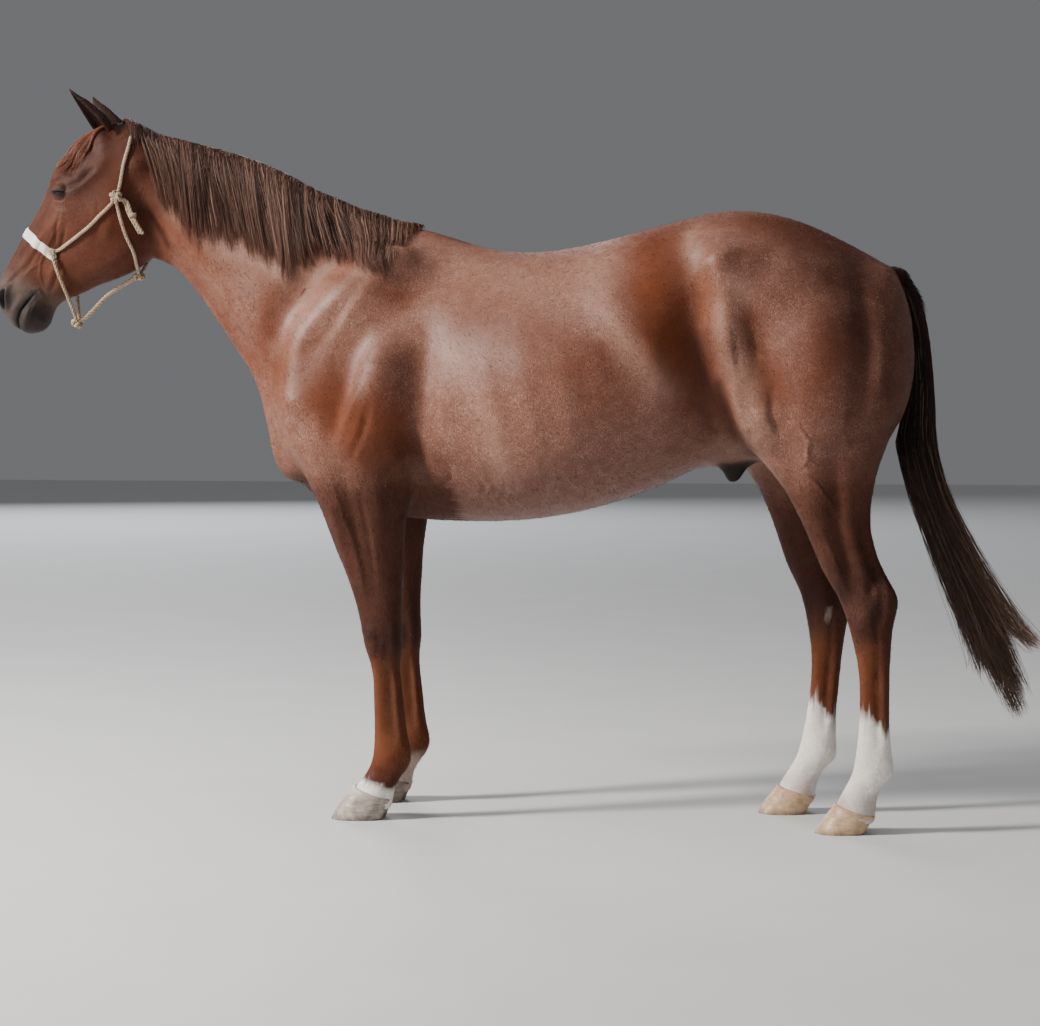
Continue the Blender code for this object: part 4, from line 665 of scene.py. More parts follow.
# veins, folds and tendons of the body in (x, z), as above
FINE_LINES = [
    ("thigh vein", 0.0046, 0.0044, [(0.752, 0.984), (0.789, 0.937), (0.784, 0.886), (0.770, 0.872)]),
    ("thigh vein fork", 0.0038, 0.0040, [(0.789, 0.937), (0.822, 0.925), (0.846, 0.934)]),
    ("thigh vein loop", 0.0036, 0.0038, [(0.784, 0.900), (0.800, 0.880), (0.822, 0.872)]),
    ("gaskin vein", 0.0034, 0.0042, [(0.700, 0.872), (0.755, 0.866), (0.800, 0.842), (0.838, 0.790),
       (0.862, 0.735)]),
    ("first fold", -0.0036, 0.0085, [(0.614, 1.194), (0.622, 1.140), (0.626, 1.096)]),
    ("second fold", -0.0034, 0.0085, [(0.649, 1.206), (0.662, 1.160), (0.670, 1.119)]),
    ("stifle fold", -0.0055, 0.0100, [(0.700, 1.050), (0.706, 0.990), (0.722, 0.945)]),
    ("flank fold", -0.0120, 0.0130, [(0.575, 1.060), (0.586, 1.010), (0.604, 0.955), (0.642, 0.910)]),
    ("flank fold edge", 0.0100, 0.0160, [(0.610, 1.050), (0.628, 0.980), (0.656, 0.938), (0.690, 0.918)]),
    ("shoulder line", 0.0014, 0.0130, [(-0.270, 1.330), (-0.330, 1.250), (-0.375, 1.180)]),
    ("shoulder line low", -0.0013, 0.0120, [(-0.300, 1.330), (-0.352, 1.255), (-0.398, 1.180)]),
    ("arm band", 0.0040, 0.0120, [(-0.300, 1.060), (-0.330, 0.990), (-0.350, 0.930)]),
    ("arm groove", -0.0046, 0.0100, [(-0.272, 1.020), (-0.290, 0.950), (-0.318, 0.890)]),
    ("breast edge", 0.0036, 0.0110, [(-0.500, 1.000), (-0.480, 0.925), (-0.440, 0.880)]),
    ("elbow fold", -0.0060, 0.0085, [(-0.170, 0.960), (-0.158, 0.905), (-0.140, 0.860)]),
    ("second elbow fold", -0.0034, 0.0070, [(-0.128, 0.940), (-0.112, 0.890), (-0.085, 0.850)]),
    ("rib", 0.0030, 0.0200, [(0.010, 1.140), (0.045, 1.000), (0.060, 0.880)]),
    ("next rib", 0.0026, 0.0200, [(0.105, 1.150), (0.135, 1.010), (0.145, 0.890)]),
    ("third rib", 0.0022, 0.0200, [(0.200, 1.150), (0.225, 1.020), (0.232, 0.900)]),
    ("girth wrinkle", -0.0026, 0.0040, [(0.020, 0.800), (0.050, 0.786), (0.082, 0.778)]),
    ("girth wrinkle 2", -0.0024, 0.0038, [(0.018, 0.816), (0.046, 0.802), (0.078, 0.796)]),
    ("girth wrinkle 3", -0.0022, 0.0036, [(0.030, 0.786), (0.058, 0.772), (0.086, 0.766)]),
    ("forearm vein", 0.0026, 0.0045, [(-0.372, 0.850), (-0.350, 0.770), (-0.322, 0.690), (-0.306, 0.610),
       (-0.296, 0.540)]),
    ("extensor", 0.0045, 0.0120, [(-0.372, 0.760), (-0.350, 0.660), (-0.328, 0.570)]),
    ("outer forearm groove", -0.0055, 0.0080, [(-0.300, 0.800), (-0.284, 0.700), (-0.272, 0.590)]),
    ("knee fold", -0.0026, 0.0055, [(-0.270, 0.478), (-0.262, 0.440), (-0.268, 0.405)]),
    ("knee bump", 0.0030, 0.0120, [(-0.292, 0.462), (-0.290, 0.452)]),
    ("knee bump low", 0.0026, 0.0110, [(-0.286, 0.415), (-0.284, 0.406)]),
    ("front tendon", 0.0018, 0.0070, [(-0.276, 0.380), (-0.270, 0.280), (-0.266, 0.190)]),
    ("flexor", 0.0028, 0.0060, [(-0.226, 0.370), (-0.222, 0.280), (-0.212, 0.195)]),
    ("splint groove", -0.0030, 0.0050, [(-0.240, 0.370), (-0.236, 0.280), (-0.228, 0.200)]),
    ("pastern fold", -0.0028, 0.0050, [(-0.300, 0.128), (-0.262, 0.112), (-0.232, 0.098)]),
    ("ergot fold", -0.0026, 0.0055, [(-0.215, 0.142), (-0.205, 0.130)]),
    ("hind extensor", 0.0028, 0.0090, [(0.842, 0.640), (0.862, 0.560), (0.880, 0.500)]),
    ("saphenous vein", 0.0022, 0.0045, [(0.800, 0.760), (0.836, 0.680), (0.862, 0.610), (0.884, 0.555)]),
    ("hock hollow", -0.0065, 0.0110, [(0.930, 0.600), (0.934, 0.565)]),
    ("hock bone", 0.0036, 0.0110, [(0.968, 0.600), (0.972, 0.560)]),
    ("hock side", 0.0026, 0.0120, [(0.905, 0.500), (0.910, 0.480)]),
    ("hock groove", -0.0028, 0.0060, [(0.940, 0.520), (0.946, 0.470), (0.948, 0.430)]),
    ("hind tendon", 0.0018, 0.0070, [(0.914, 0.420), (0.916, 0.320), (0.914, 0.220)]),
    ("hind flexor", 0.0028, 0.0060, [(0.966, 0.430), (0.966, 0.320), (0.968, 0.210)]),
    ("hind splint groove", -0.0030, 0.0050, [(0.948, 0.420), (0.948, 0.320), (0.950, 0.210)]),
    ("hind pastern fold", -0.0028, 0.0050, [(0.880, 0.124), (0.915, 0.112), (0.945, 0.098)]),
    ("buttock vein", 0.0018, 0.0045, [(0.880, 1.020), (0.870, 0.960), (0.884, 0.900)]),
    ("semitendinosus", 0.0040, 0.0200, [(0.955, 1.200), (0.965, 1.080), (0.955, 0.980)]),
    ("neck vein", 0.0026, 0.0060, [(-0.800, 1.372), (-0.730, 1.265), (-0.655, 1.160)]),
    ("brachial muscle", 0.0050, 0.0160, [(-0.840, 1.480), (-0.760, 1.370), (-0.680, 1.270), (-0.600, 1.180)]),
    ("throat", 0.0030, 0.0120, [(-0.870, 1.400), (-0.820, 1.340)]),
]
# below this height they are the legs' own, on both the outer and the inner side
LEG_LINES_TOP = 0.66
ELBOW_WRINKLES = [(0.0, 0.83), (0.07, 0.79)]


def carve_body(mesh):
    """Draws the veins, folds and tendons of the body and the legs."""
    co, nor = points_of(mesh), normals_of(mesh)
    x = co[:, 0] - bend(*co.T)
    outer = ramp(nor[:, 1] * np.sign(co[:, 1]), 0.10, 0.60)
    side = ramp(np.abs(nor[:, 1]), 0.15, 0.65)
    leg = side * (co[:, 2] < LEG_LINES_TOP)
    move = np.zeros(len(co))
    draw(move, x, co[:, 2], FINE_LINES,
         lambda height, start: height * (leg if start < LEG_LINES_TOP else outer))
    wrinkle = np.sin(x * 230 + 2.2 * np.sin(co[:, 2] * 90)) * beside(x, co[:, 2], ELBOW_WRINKLES, 0.035)
    move += 0.0011 * wrinkle * outer
    move_points(mesh, co + nor * move[:, None])


def carve_face(mesh):
    """Draws the small forms of the face, the mouth and the folds at its corner."""
    co, nor = points_of(mesh), normals_of(mesh)
    along, out = head_axes(co)
    side = ramp(np.abs(nor[:, 1]), 0.15, 0.60)
    head = (along > 0.02) * (out > -0.26) * (co[:, 0] < NAPE_X)
    tip = ramp(along, 0.545, 0.575)
    reach = np.maximum(side, tip * (out < 0.0)) * head
    move = np.zeros(len(co))
    draw(move, along, out, FACE_LINES, lambda height, _: height * reach)
    gap, place = line_gap(along, out, MOUTH)
    fade = 1 - 0.75 * ramp(place, 0.75, 1.0)
    move -= MOUTH_DEPTH * fade * bell(gap, MOUTH_HALF_WIDTH) * reach
    folds = np.sin(out * 620 + 3 * np.sin(along * 70)) * bell(np.hypot(along - 0.545, out + 0.045), 0.022)
    move += 0.0005 * folds * side * head
    move_points(mesh, co + nor * move[:, None])


def refine(obj, near, rounds):
    """Cuts the edges in a region in two, and evens the new points out."""
    mesh = bmesh.new()
    mesh.from_mesh(obj.data)
    co = np.array([v.co for v in mesh.verts])
    inside = near(co)
    mesh.verts.ensure_lookup_table()
    edges = [e for e in mesh.edges if inside[e.verts[0].index] and inside[e.verts[1].index]]
    bmesh.ops.subdivide_edges(mesh, edges=edges, cuts=1, use_grid_fill=True)
    bmesh.ops.triangulate(mesh, faces=[f for f in mesh.faces if len(f.verts) > 3])
    mesh.to_mesh(obj.data)
    mesh.free()
    obj.data.update()
    co = points_of(obj.data)
    a, b = links(obj.data)
    move_points(obj.data, relax(co, a, b, near(co) * 0.5, rounds))


def axes_at(out, ahead):
    """Three directions square to each other: about ahead, up, and out."""
    out = Vector(out).normalized()
    ahead = Vector(ahead)
    ahead = (ahead - out * ahead.dot(out)).normalized()
    up = out.cross(ahead)
    if up.z < 0:
        up.negate()
    return np.array(ahead), np.array(up), np.array(out)


def eye_place(side):
    """The eyeball's middle."""
    x, z = head_point(*EYE_AT)
    return np.array((x, side * EYE_Y, z))


def nostril_place(side):
    """The nostril's middle, a little under the skin."""
    return np.array((NOSTRIL_AT[0], side * NOSTRIL_Y, NOSTRIL_AT[1]))


def eye_axes(side):
    """Ahead, up and out at the eye."""
    return axes_at((-0.20, side * 0.98, -0.05), (-1, 0, 0.05))


def slit_gap(a, b):
    """Distance from the slit between the lids: below zero inside it, and the sign of the side."""
    a0, b0, half, upper, lower = SLIT
    shape = np.maximum(1 - ((a - a0) / half) ** 2, -1.5)
    above = b - (b0 + upper * shape)
    below = (b0 - lower * shape) - b
    return np.maximum(above, below), np.where(above > below, 1, -1)


def open_eye(mesh, side):
    """Domes the lids over the eyeball and opens the slit between them."""
    co = points_of(mesh)
    ahead, up, out = eye_axes(side)
    d = co - eye_place(side)
    a, b, h = d @ ahead, d @ up, d @ out
    r = np.hypot(a, b)
    zone = (r < 0.05) & (h > -0.008)
    reach = (1 - ramp(r, *DOME_EDGE)) * zone
    edge = (EYE_RADIUS + LID) * 0.9
    dome = np.sqrt((EYE_RADIUS + LID) ** 2 - np.minimum(r, edge) ** 2) - 2.1 * np.maximum(r - edge, 0)
    soft = 0.0030
    lids = h + soft * np.log1p(np.exp(np.clip((dome - h) / soft, -30, 30)))
    gap, above = slit_gap(a, b)
    e = np.maximum(gap, 0)
    fade = 1 - ramp(np.abs(a), 0.014, 0.030)
    lids += np.where(above > 0, 0.0022, 0.0014) * bell(e, 0.0032) * fade
    for folds, on_lid in ((UPPER_FOLDS, above > 0), (LOWER_FOLDS, above < 0)):
        for place, depth, width in folds:
            lids += depth * bell(e - place, width) * on_lid * fade
    inside = 1 - ramp(gap, -0.0010, 0.0006)
    ball = np.sqrt(np.maximum(EYE_RADIUS ** 2 - r * r, 0)) - SOCKET
    new = lids * (1 - inside) + np.minimum(ball, lids) * inside
    move_points(mesh, co + (reach * (new - h))[:, None] * out)


def nostril_frame(tree, side):
    """The nostril's middle on the skin, and ahead, up and out there."""
    ahead, up, out = axes_at((-0.60, side * 0.76, 0.16), (-1, 0, 0.2))
    start = Vector(nostril_place(side)) + Vector(out) * 0.1
    hit, _, _, _ = tree.ray_cast(start, -Vector(out))
    return np.array(hit), ahead, up, out


def open_nostril(mesh, tree, side):
    """A deep comma-shaped opening with a raised rim."""
    co = points_of(mesh)
    place, ahead, up, out = nostril_frame(tree, side)
    d = co - place
    a, b, h = d @ ahead, d @ up, d @ out
    half, tall = NOSTRIL_HALF
    a = a + 0.004 * (b / tall) ** 2
    r = np.hypot(a / (half * (1 - 0.22 * b / tall)), b / tall)
    gap = (r - 1) * half
    zone = (np.hypot(a, b) < 0.05) & (h > -0.030) & (h < 0.03)
    rim = bell(gap - 0.003, 0.0048) * np.where(a < 0, 0.0050, 0.0030)
    inside = 1 - ramp(gap, -0.0060, 0.0004)
    shift = rim - NOSTRIL_DEPTH * inside
    move_points(mesh, co + (shift * zone)[:, None] * out)


def ear(name, side):
    """A cupped leaf with its hollow turned forwards and out."""
    rows = blend_rows([(*p, y, half, depth) for p, y, half, depth in EAR], 6)
    path = np.array([(r[0], r[2], r[1]) for r in rows])
    rings = []
    for i, (_, _, _, half, depth) in enumerate(rows):
        tangent = path[min(i + 1, len(path) - 1)] - path[max(i - 1, 0)]
        tangent /= np.linalg.norm(tangent)
        open_way = np.array(EAR_OPENS)
        open_way -= tangent * np.dot(open_way, tangent)
        open_way /= np.linalg.norm(open_way)
        across = np.cross(tangent, open_way)
        ring = []
        wall = min(EAR_WALL, half * 0.8)
        for inner in (0, 1):
            for k in range(EAR_STEPS + 1):
                a = math.pi * (k if not inner else EAR_STEPS - k) / EAR_STEPS
                r = half - (wall * 0.6 if inner else 0)
                d = depth * 1.3 - (wall if inner else 0)
                p = path[i] + across * r * math.cos(a) - open_way * d * math.sin(a)
                if inner:
                    p = p + open_way * 0.0008
                ring.append((p[0], p[1] * side, p[2]))
        rings.append(ring)
    return reworked(loft(name, rings), triangles=True, outwards=True)


def add_ears(skin):
    """Joins the ears to the head and runs their roots into it."""
    for side in (-1, 1):
        piece = ear("ear", side)
        mod = skin.modifiers.new("ear", "BOOLEAN")
        mod.operation = "UNION"
        mod.solver = "EXACT"
        mod.object = piece
        frozen(skin)
        bpy.data.objects.remove(piece)
    co = points_of(skin.data)
    a, b = links(skin.data)
    (x, z), y = EAR[0][0], EAR[0][1]
    root = np.hypot(np.hypot(co[:, 0] - x, co[:, 2] - z), np.abs(co[:, 1]) - y)
    weight = (1 - ramp(root, 0.018, 0.044)) * 0.5
    move_points(skin.data, relax(co, a, b, weight, 8))


def slim(obj, triangles, keep):
    """Fewer triangles where the skin is plain; keep gives 1 where they stay."""
    obj.data.calc_loop_triangles()
    group = obj.vertex_groups.new(name="plain")
    for weight in range(11):
        share = np.nonzero(np.round((1 - keep) * 10).astype(int) == weight)[0]
        group.add([int(i) for i in share], weight / 10, "REPLACE")
    mod = obj.modifiers.new("slim", "DECIMATE")
    mod.ratio = triangles / len(obj.data.loop_triangles)
    mod.vertex_group = "plain"
    mod.vertex_group_factor = 1.0
    frozen(obj)
    obj.vertex_groups.clear()


def veined(co):
    """The bony, veined part of the face, outside the zones of the eye, the nostril and the mouth."""
    along, out = head_axes(co)
    flat = (np.abs(co[:, 1]) > 0.022) & (out > -0.10) & (co[:, 0] < -1.0)
    return flat & (along > 0.30) & (along < 0.49)


def tree_of(mesh):
    """The mesh as a surface to find places on."""
    return BVHTree.FromPolygons([v.co for v in mesh.vertices], [p.vertices for p in mesh.polygons])


def near_openings(eye_reach, nostril_reach, mouth_reach):
    """A test for points no farther than that from the eyes, the nostrils and the mouth."""
    def test(co):
        inside = (line_gap(*head_axes(co), MOUTH)[0] < mouth_reach) & (co[:, 0] < -1.1)
        for side in (-1, 1):
            inside |= np.linalg.norm(co - eye_place(side), axis=1) < eye_reach
            inside |= np.linalg.norm(co - nostril_place(side), axis=1) < nostril_reach
        return inside
    return test


def build_skin():
    """The skin, and the same skin without its ears to comb the hair on."""
    skin = body()
    carve_body(skin.data)
    co = points_of(skin.data)
    along, _ = head_axes(co)
    head = ramp(along, 0.0, 0.06) * (co[:, 0] < NAPE_X)
    depth = COAT_DEPTH * (1 - 0.6 * head)
    move_points(skin.data, co - normals_of(skin.data) * depth[:, None])
    slim(skin, SKIN_TRIANGLES, 0.6 * head)
    refine(skin, near_openings(0.070, 0.060, 0.030), 3)
    refine(skin, veined, 2)
    carve_face(skin.data)
    refine(skin, near_openings(0.034, 0.036, 0.007), 2)
    for side in (-1, 1):
        open_eye(skin.data, side)
    tree = tree_of(skin.data)
    for side in (-1, 1):
        open_nostril(skin.data, tree, side)
    bare = tree_of(skin.data)
    add_ears(skin)
    reworked(skin, triangles=True)
    skin.name = "skin"
    skin.data.shade_smooth()
    return skin, bare


# ---------------------------------------------------------------- markings
# colours, linear red, green and blue
ROAN = (0.200, 0.076, 0.048)
# pale roan: the roan's white hairs on the tufts, and painted highlights in the coat's patches
PALE_ROAN_AND_HIGHLIGHT = (0.360, 0.190, 0.138)
CHESTNUT = (0.115, 0.030, 0.012)
BRIGHT = (0.200, 0.050, 0.015)
HEAD_BROWN = (0.058, 0.017, 0.009)
LEG_BROWN = (0.052, 0.017, 0.010)
CANNON = (0.140, 0.042, 0.016)
# dark brown: the poll's own colour, and painted shade in the coat's creases, behind the arm, on the quarters,
# knees, hocks, backs of the lower legs, temple and ears
DARK_BROWN_AND_SHADE = (0.030, 0.012, 0.010)
GREY_BROWN = (0.085, 0.058, 0.048)
LID_BROWN = (0.040, 0.024, 0.019)
LIP_GREY = (0.026, 0.021, 0.021)
SOCK = (0.860, 0.800, 0.740)
DIRTY_SOCK = (0.420, 0.330, 0.270)
HORNY = (0.260, 0.200, 0.160)
SHEATH = (0.020, 0.013, 0.012)
# the sheath's middle line, (x, z)
SHEATH_LINE = [(0.560, 0.925), (0.605, 0.920), (0.590, 0.850)]
# patches of the body on both sides: colour, strength, half width, line in (x, z)
COAT_PATCHES = [
    (CHESTNUT, 0.95, 0.078, [(0.420, 1.420), (0.430, 1.300), (0.460, 1.190), (0.520, 1.080)]),
    (BRIGHT, 0.35, 0.055, [(0.400, 1.330), (0.430, 1.220), (0.465, 1.130)]),
    (BRIGHT, 0.60, 0.032, [(0.545, 1.310), (0.552, 1.240)]),
    # painted highlight: a gloss on the hip
    (PALE_ROAN_AND_HIGHLIGHT, 0.55, 0.030, [(0.580, 1.250), (0.598, 1.200)]),
    # painted shadow under the ends of the mane
    (CHESTNUT, 0.60, 0.034, [(-0.830, 1.470), (-0.700, 1.370), (-0.600, 1.350), (-0.500, 1.290),
       (-0.400, 1.330), (-0.280, 1.310), (-0.210, 1.280)]),
    # painted shade in the flank hollow
    (DARK_BROWN_AND_SHADE, 0.60, 0.036, [(0.525, 1.160), (0.530, 1.060), (0.545, 0.960)]),
    (CHESTNUT, 0.60, 0.035, [(0.655, 1.215), (0.675, 1.120), (0.690, 1.050)]),
    # painted shadow behind the triceps
    (DARK_BROWN_AND_SHADE, 0.55, 0.060, [(-0.215, 1.120), (-0.200, 1.020), (-0.190, 0.930)]),
    (BRIGHT, 0.75, 0.060, [(-0.370, 1.010), (-0.310, 0.960), (-0.270, 0.930)]),
    (CHESTNUT, 0.60, 0.075, [(-0.400, 1.130), (-0.360, 1.040), (-0.300, 0.980)]),
    (CHESTNUT, 0.60, 0.040, [(-0.560, 1.270), (-0.550, 1.180), (-0.520, 1.100)]),
    (CHESTNUT, 0.55, 0.075, [(-0.860, 1.390), (-0.740, 1.250), (-0.620, 1.120)]),
    (CHESTNUT, 0.50, 0.070, [(0.840, 1.150), (0.800, 1.080), (0.730, 1.060)]),
    # darker quarters: partly a browner coat, partly painted shade where they turn from the light
    (DARK_BROWN_AND_SHADE, 0.60, 0.130, [(0.760, 1.420), (0.880, 1.260), (0.960, 1.080), (0.960, 0.900)]),
    (CHESTNUT, 0.45, 0.035, [(-0.200, 1.475), (0.150, 1.408), (0.550, 1.475), (0.930, 1.400)]),
    # painted highlights down the shoulder, over the ribs and the last rib, and on the hip
    (PALE_ROAN_AND_HIGHLIGHT, 0.18, 0.040, [(-0.420, 1.330), (-0.460, 1.240), (-0.490, 1.160)]),
    (PALE_ROAN_AND_HIGHLIGHT, 0.18, 0.055, [(-0.250, 1.420), (-0.310, 1.290), (-0.350, 1.190)]),
    (PALE_ROAN_AND_HIGHLIGHT, 0.50, 0.034, [(-0.060, 1.130), (-0.012, 1.040), (0.030, 0.950), (0.061, 0.850)]),
    (PALE_ROAN_AND_HIGHLIGHT, 0.60, 0.034, [(0.270, 1.400), (0.290, 1.260), (0.380, 1.130), (0.460, 1.050)]),
    (PALE_ROAN_AND_HIGHLIGHT, 0.55, 0.030, [(0.612, 1.310), (0.640, 1.290)]),
    (PALE_ROAN_AND_HIGHLIGHT, 0.50, 0.022, [(0.500, 1.430), (0.506, 1.380)]),
    # painted shade in the flank fold
    (DARK_BROWN_AND_SHADE, 0.70, 0.020, [(0.575, 1.060), (0.588, 1.010), (0.606, 0.955), (0.645, 0.908)]),
    # painted highlight on the edge of the flank fold
    (PALE_ROAN_AND_HIGHLIGHT, 0.65, 0.036, [(0.625, 1.110), (0.650, 1.010), (0.672, 0.955)]),
    # darker middle of the barrel: partly the coat's colour, partly painted shade
    (CHESTNUT, 0.45, 0.085, [(-0.030, 1.250), (0.110, 1.210), (0.210, 1.140), (0.300, 1.050)]),
    (DARK_BROWN_AND_SHADE, 0.25, 0.030, [(0.290, 1.150), (0.330, 1.090)]),
    # painted highlights on the neck and along the top of the barrel
    (PALE_ROAN_AND_HIGHLIGHT, 0.35, 0.060, [(-0.780, 1.520), (-0.620, 1.400), (-0.470, 1.320)]),
    (PALE_ROAN_AND_HIGHLIGHT, 0.22, 0.070, [(-0.100, 1.360), (0.080, 1.320), (0.250, 1.330)]),
]
# the head lies ahead of and above these
HEAD_X = -0.93
HEAD_Z = 1.1
# where the fore half meets the hind half, and the middle height of the cannons
WAIST_X = 0.2
CANNON_Z = 0.28
# places of the head's marks, (along, out) from the poll
JAW_RED = [(0.14, -0.11), (0.26, -0.14)]
RIDGE_PALE = [(0.30, -0.02), (0.43, -0.02)]
# painted shade over the temple and in the groove behind the eye
TEMPLE_SHADE = [(0.090, 0.006), (0.160, 0.012), (0.196, -0.004)]
BEHIND_EYE_SHADE = [(0.222, 0.014), (0.185, -0.008), (0.145, -0.028)]
# horny growths bare of hair, inside the legs: middle and half length, on both sides
CHESTNUTS = [((-0.262, 0.560), 0.020), ((0.935, 0.505), 0.016)]
# the legs' inner sides lie nearer to the plane of symmetry than this
INNER_Y = 0.137


def ragged(p, scale, seed):
    """Smooth noise of about -1 to 1 with features of about the given size."""
    chance = np.random.default_rng(seed)
    total = np.zeros(len(p))
    for k in range(7):
        way = chance.normal(size=3)
        way *= (1 + 0.35 * k) * 2.2 / (scale * np.linalg.norm(way))
        total += np.sin(p @ way + chance.uniform(0, 7)) / (1 + 0.35 * k)
    return total / 2.6


def mixed(base, colour, share):
    """Colours (n, 3), or one colour, turned towards another by a share for each point."""
    share = np.clip(share, 0, 1)[:, None]
    return np.array(base) * (1 - share) + np.array(colour) * share


def on_head(along, x, z, low, high):
    """0 up to low along the face, 1 from high on, and 0 off the head."""
    return ramp(along, low, high) * (x < HEAD_X) * (z > HEAD_Z)


def on_ears(x, z):
    """Whether the points are on the ears."""
    return (z > 1.715) * (x < -1.0) * (x > -1.13)


def store_colour(mesh, name, values):
    """Keeps four numbers for each point of the mesh, for its material."""
    layer = mesh.color_attributes.new(name, "FLOAT_COLOR", "POINT")
    layer.data.foreach_set("color", values.astype(np.float32).ravel())


def markings(p):
    """Colour of the coat at points of the skin, and how much white hair is mixed into it."""
    x = p[:, 0] - bend(*p.T)
    y, z = p[:, 1], p[:, 2]
    along, out = head_axes(p)
    blotch = ragged(p, 0.11, 1)
    fine = ragged(p, 0.035, 2)
    edge = 0.6 * ragged(p, 0.030, 3) + 0.5 * ragged(p, 0.011, 4)
    colour = np.tile(np.array(ROAN), (len(p), 1))
    white = np.full(len(p), 0.85) + 0.12 * blotch

    def put(tone, share):
        colour[:] = mixed(colour, tone, share)
    for tone, strength, width, line in COAT_PATCHES:
        share = strength * beside(x, z, line, width * (1 + 0.25 * blotch)) * (1 + 0.2 * fine)
        put(tone, share)
        # the painted highlights also raise the share of white hair
        white -= share * (-0.2 if tone is PALE_ROAN_AND_HIGHLIGHT else 0.9)
    put(CHESTNUT, 0.18 + 0.20 * blotch + 0.12 * fine)
    # painted shade: the belly painted darker
    belly = (1 - ramp(z - 0.25 * np.abs(x - 0.1), 0.80, 0.92)) * (x > -0.3) * (x < 0.65)
    put(LEG_BROWN, 0.35 * belly)
    # legs: chestnut from above the elbow and the stifle, brightest on the cannons, with painted shade on the
    # knees, the hocks and the backs of the lower legs
    fore_half = x < WAIST_X
    top = np.where(fore_half, 0.90, 0.86) + 0.05 * blotch
    leg = (1 - ramp(z, top - 0.14, top + 0.06)) * ((x < -0.08) | (x > 0.62) | (z < LEG_LINES_TOP))
    put(LEG_BROWN, leg * (0.86 + 0.14 * fine))
    white -= 0.80 * leg
    cannon = 1 - ramp(np.abs(z - CANNON_Z - 0.03 * (x > WAIST_X)), 0.09, 0.17)
    put(CANNON, 0.90 * cannon * leg)
    # painted shade on the knees and the hocks
    knee = np.where(fore_half, bell(z - 0.455, 0.060), bell(z - 0.560, 0.080))
    put(DARK_BROWN_AND_SHADE, (0.48 + 0.2 * fine) * knee * (z < 0.70))
    # painted shade down the backs of the lower legs
    behind = np.where(fore_half, x + 0.262 + 0.10 * (z - CANNON_Z), x - 0.938)
    back = ramp(behind, -0.010, 0.018) * (z < 0.44)
    put(DARK_BROWN_AND_SHADE, 0.35 * back * leg)
    fetlock = bell(z - 0.150, 0.045) * fore_half
    put(BRIGHT, 0.35 * fetlock)
    # head and upper neck
    brown = ramp(x + 0.25 * (1.30 - z), -0.83 + 0.05 * blotch, -0.96 + 0.05 * blotch) * (z > HEAD_Z)
    brown = np.maximum(brown, on_head(along, x, z, -0.02, 0.05))
    put(HEAD_BROWN, brown * 0.96)
    white -= 0.78 * brown
    face = brown * (along > 0.05)
    put(CHESTNUT, 0.35 * face * bell(along - 0.36, 0.12) * (out < 0.03))
    put(CHESTNUT, 0.40 * face * beside(along, out, JAW_RED, 0.05))
    put(ROAN, 0.25 * face * beside(along, out, RIDGE_PALE, 0.025))
    put(GREY_BROWN, face * ramp(along + 0.02 * fine, 0.44, 0.54))
    # painted shade on the temple and in the groove behind the eye
    put(DARK_BROWN_AND_SHADE, 0.50 * face * beside(along, out, TEMPLE_SHADE, 0.036))
    put(DARK_BROWN_AND_SHADE, 0.55 * face * beside(along, out, BEHIND_EYE_SHADE, 0.010))
    lip = beside(along, out, MOUTH, 0.016) * (along > 0.47)
    chin = ramp(along, 0.50, 0.54) * ramp(-out, 0.015, 0.045)
    put(LIP_GREY, face * np.maximum(lip, 0.85 * chin))
    for side in (-1, 1):
        nose = np.linalg.norm(p - nostril_place(side), axis=1)
        put(LIP_GREY, 0.92 * (1 - ramp(nose, 0.020, 0.046)))
        ahead, up, _ = eye_axes(side)
        d = p - eye_place(side)
        gap, _ = slit_gap(d @ ahead, d @ up)
        distance = np.linalg.norm(d, axis=1)
        put(LID_BROWN, (1 - ramp(gap, 0.0015, 0.018)) * (distance < 0.045) * 0.85)
        put(LIP_GREY, (1 - ramp(gap, 0.0008, 0.0030)) * (distance < 0.04))
    # ears: painted shade, nearly black; the poll dark; and the roots of the mane
    put(np.array(DARK_BROWN_AND_SHADE) * 0.6, 0.90 * (ramp(z, 1.690, 1.712) * (x < -1.0) * (x > -1.14)))
    put(DARK_BROWN_AND_SHADE, 0.6 * (1 - ramp(np.hypot(x + 0.975, z - 1.755), 0.02, 0.06)))
    roots = 1 - ramp(line_gap(x, z, CREST)[0], 0.016, 0.034)
    put(MANE_DARK, 0.92 * roots)
    white -= roots
    # socks: white on both hind feet, on the near fore pastern's front, and dirty on the far one
    hind = (x > 0.5) & (z < 0.5)
    sock_top = 0.262 + 0.018 * edge + 0.022 * np.cos((x - 0.915) * 55)
    put(SOCK, hind * (1 - ramp(z, sock_top - 0.010, sock_top + 0.010)))
    put(DIRTY_SOCK, hind * (0.45 + 0.3 * fine) * (1 - ramp(z, 0.07, 0.13)))
    fore = fore_half & (z < 0.5)
    near_top = 0.098 + 0.012 * edge - 0.30 * (x + 0.315)
    put(SOCK, fore * (y < 0) * (1 - ramp(z, near_top - 0.008, near_top + 0.008)))
    far_top = 0.125 + 0.012 * edge
    put(DIRTY_SOCK, fore * (y > 0) * (1 - ramp(z, far_top - 0.02, far_top + 0.015)))
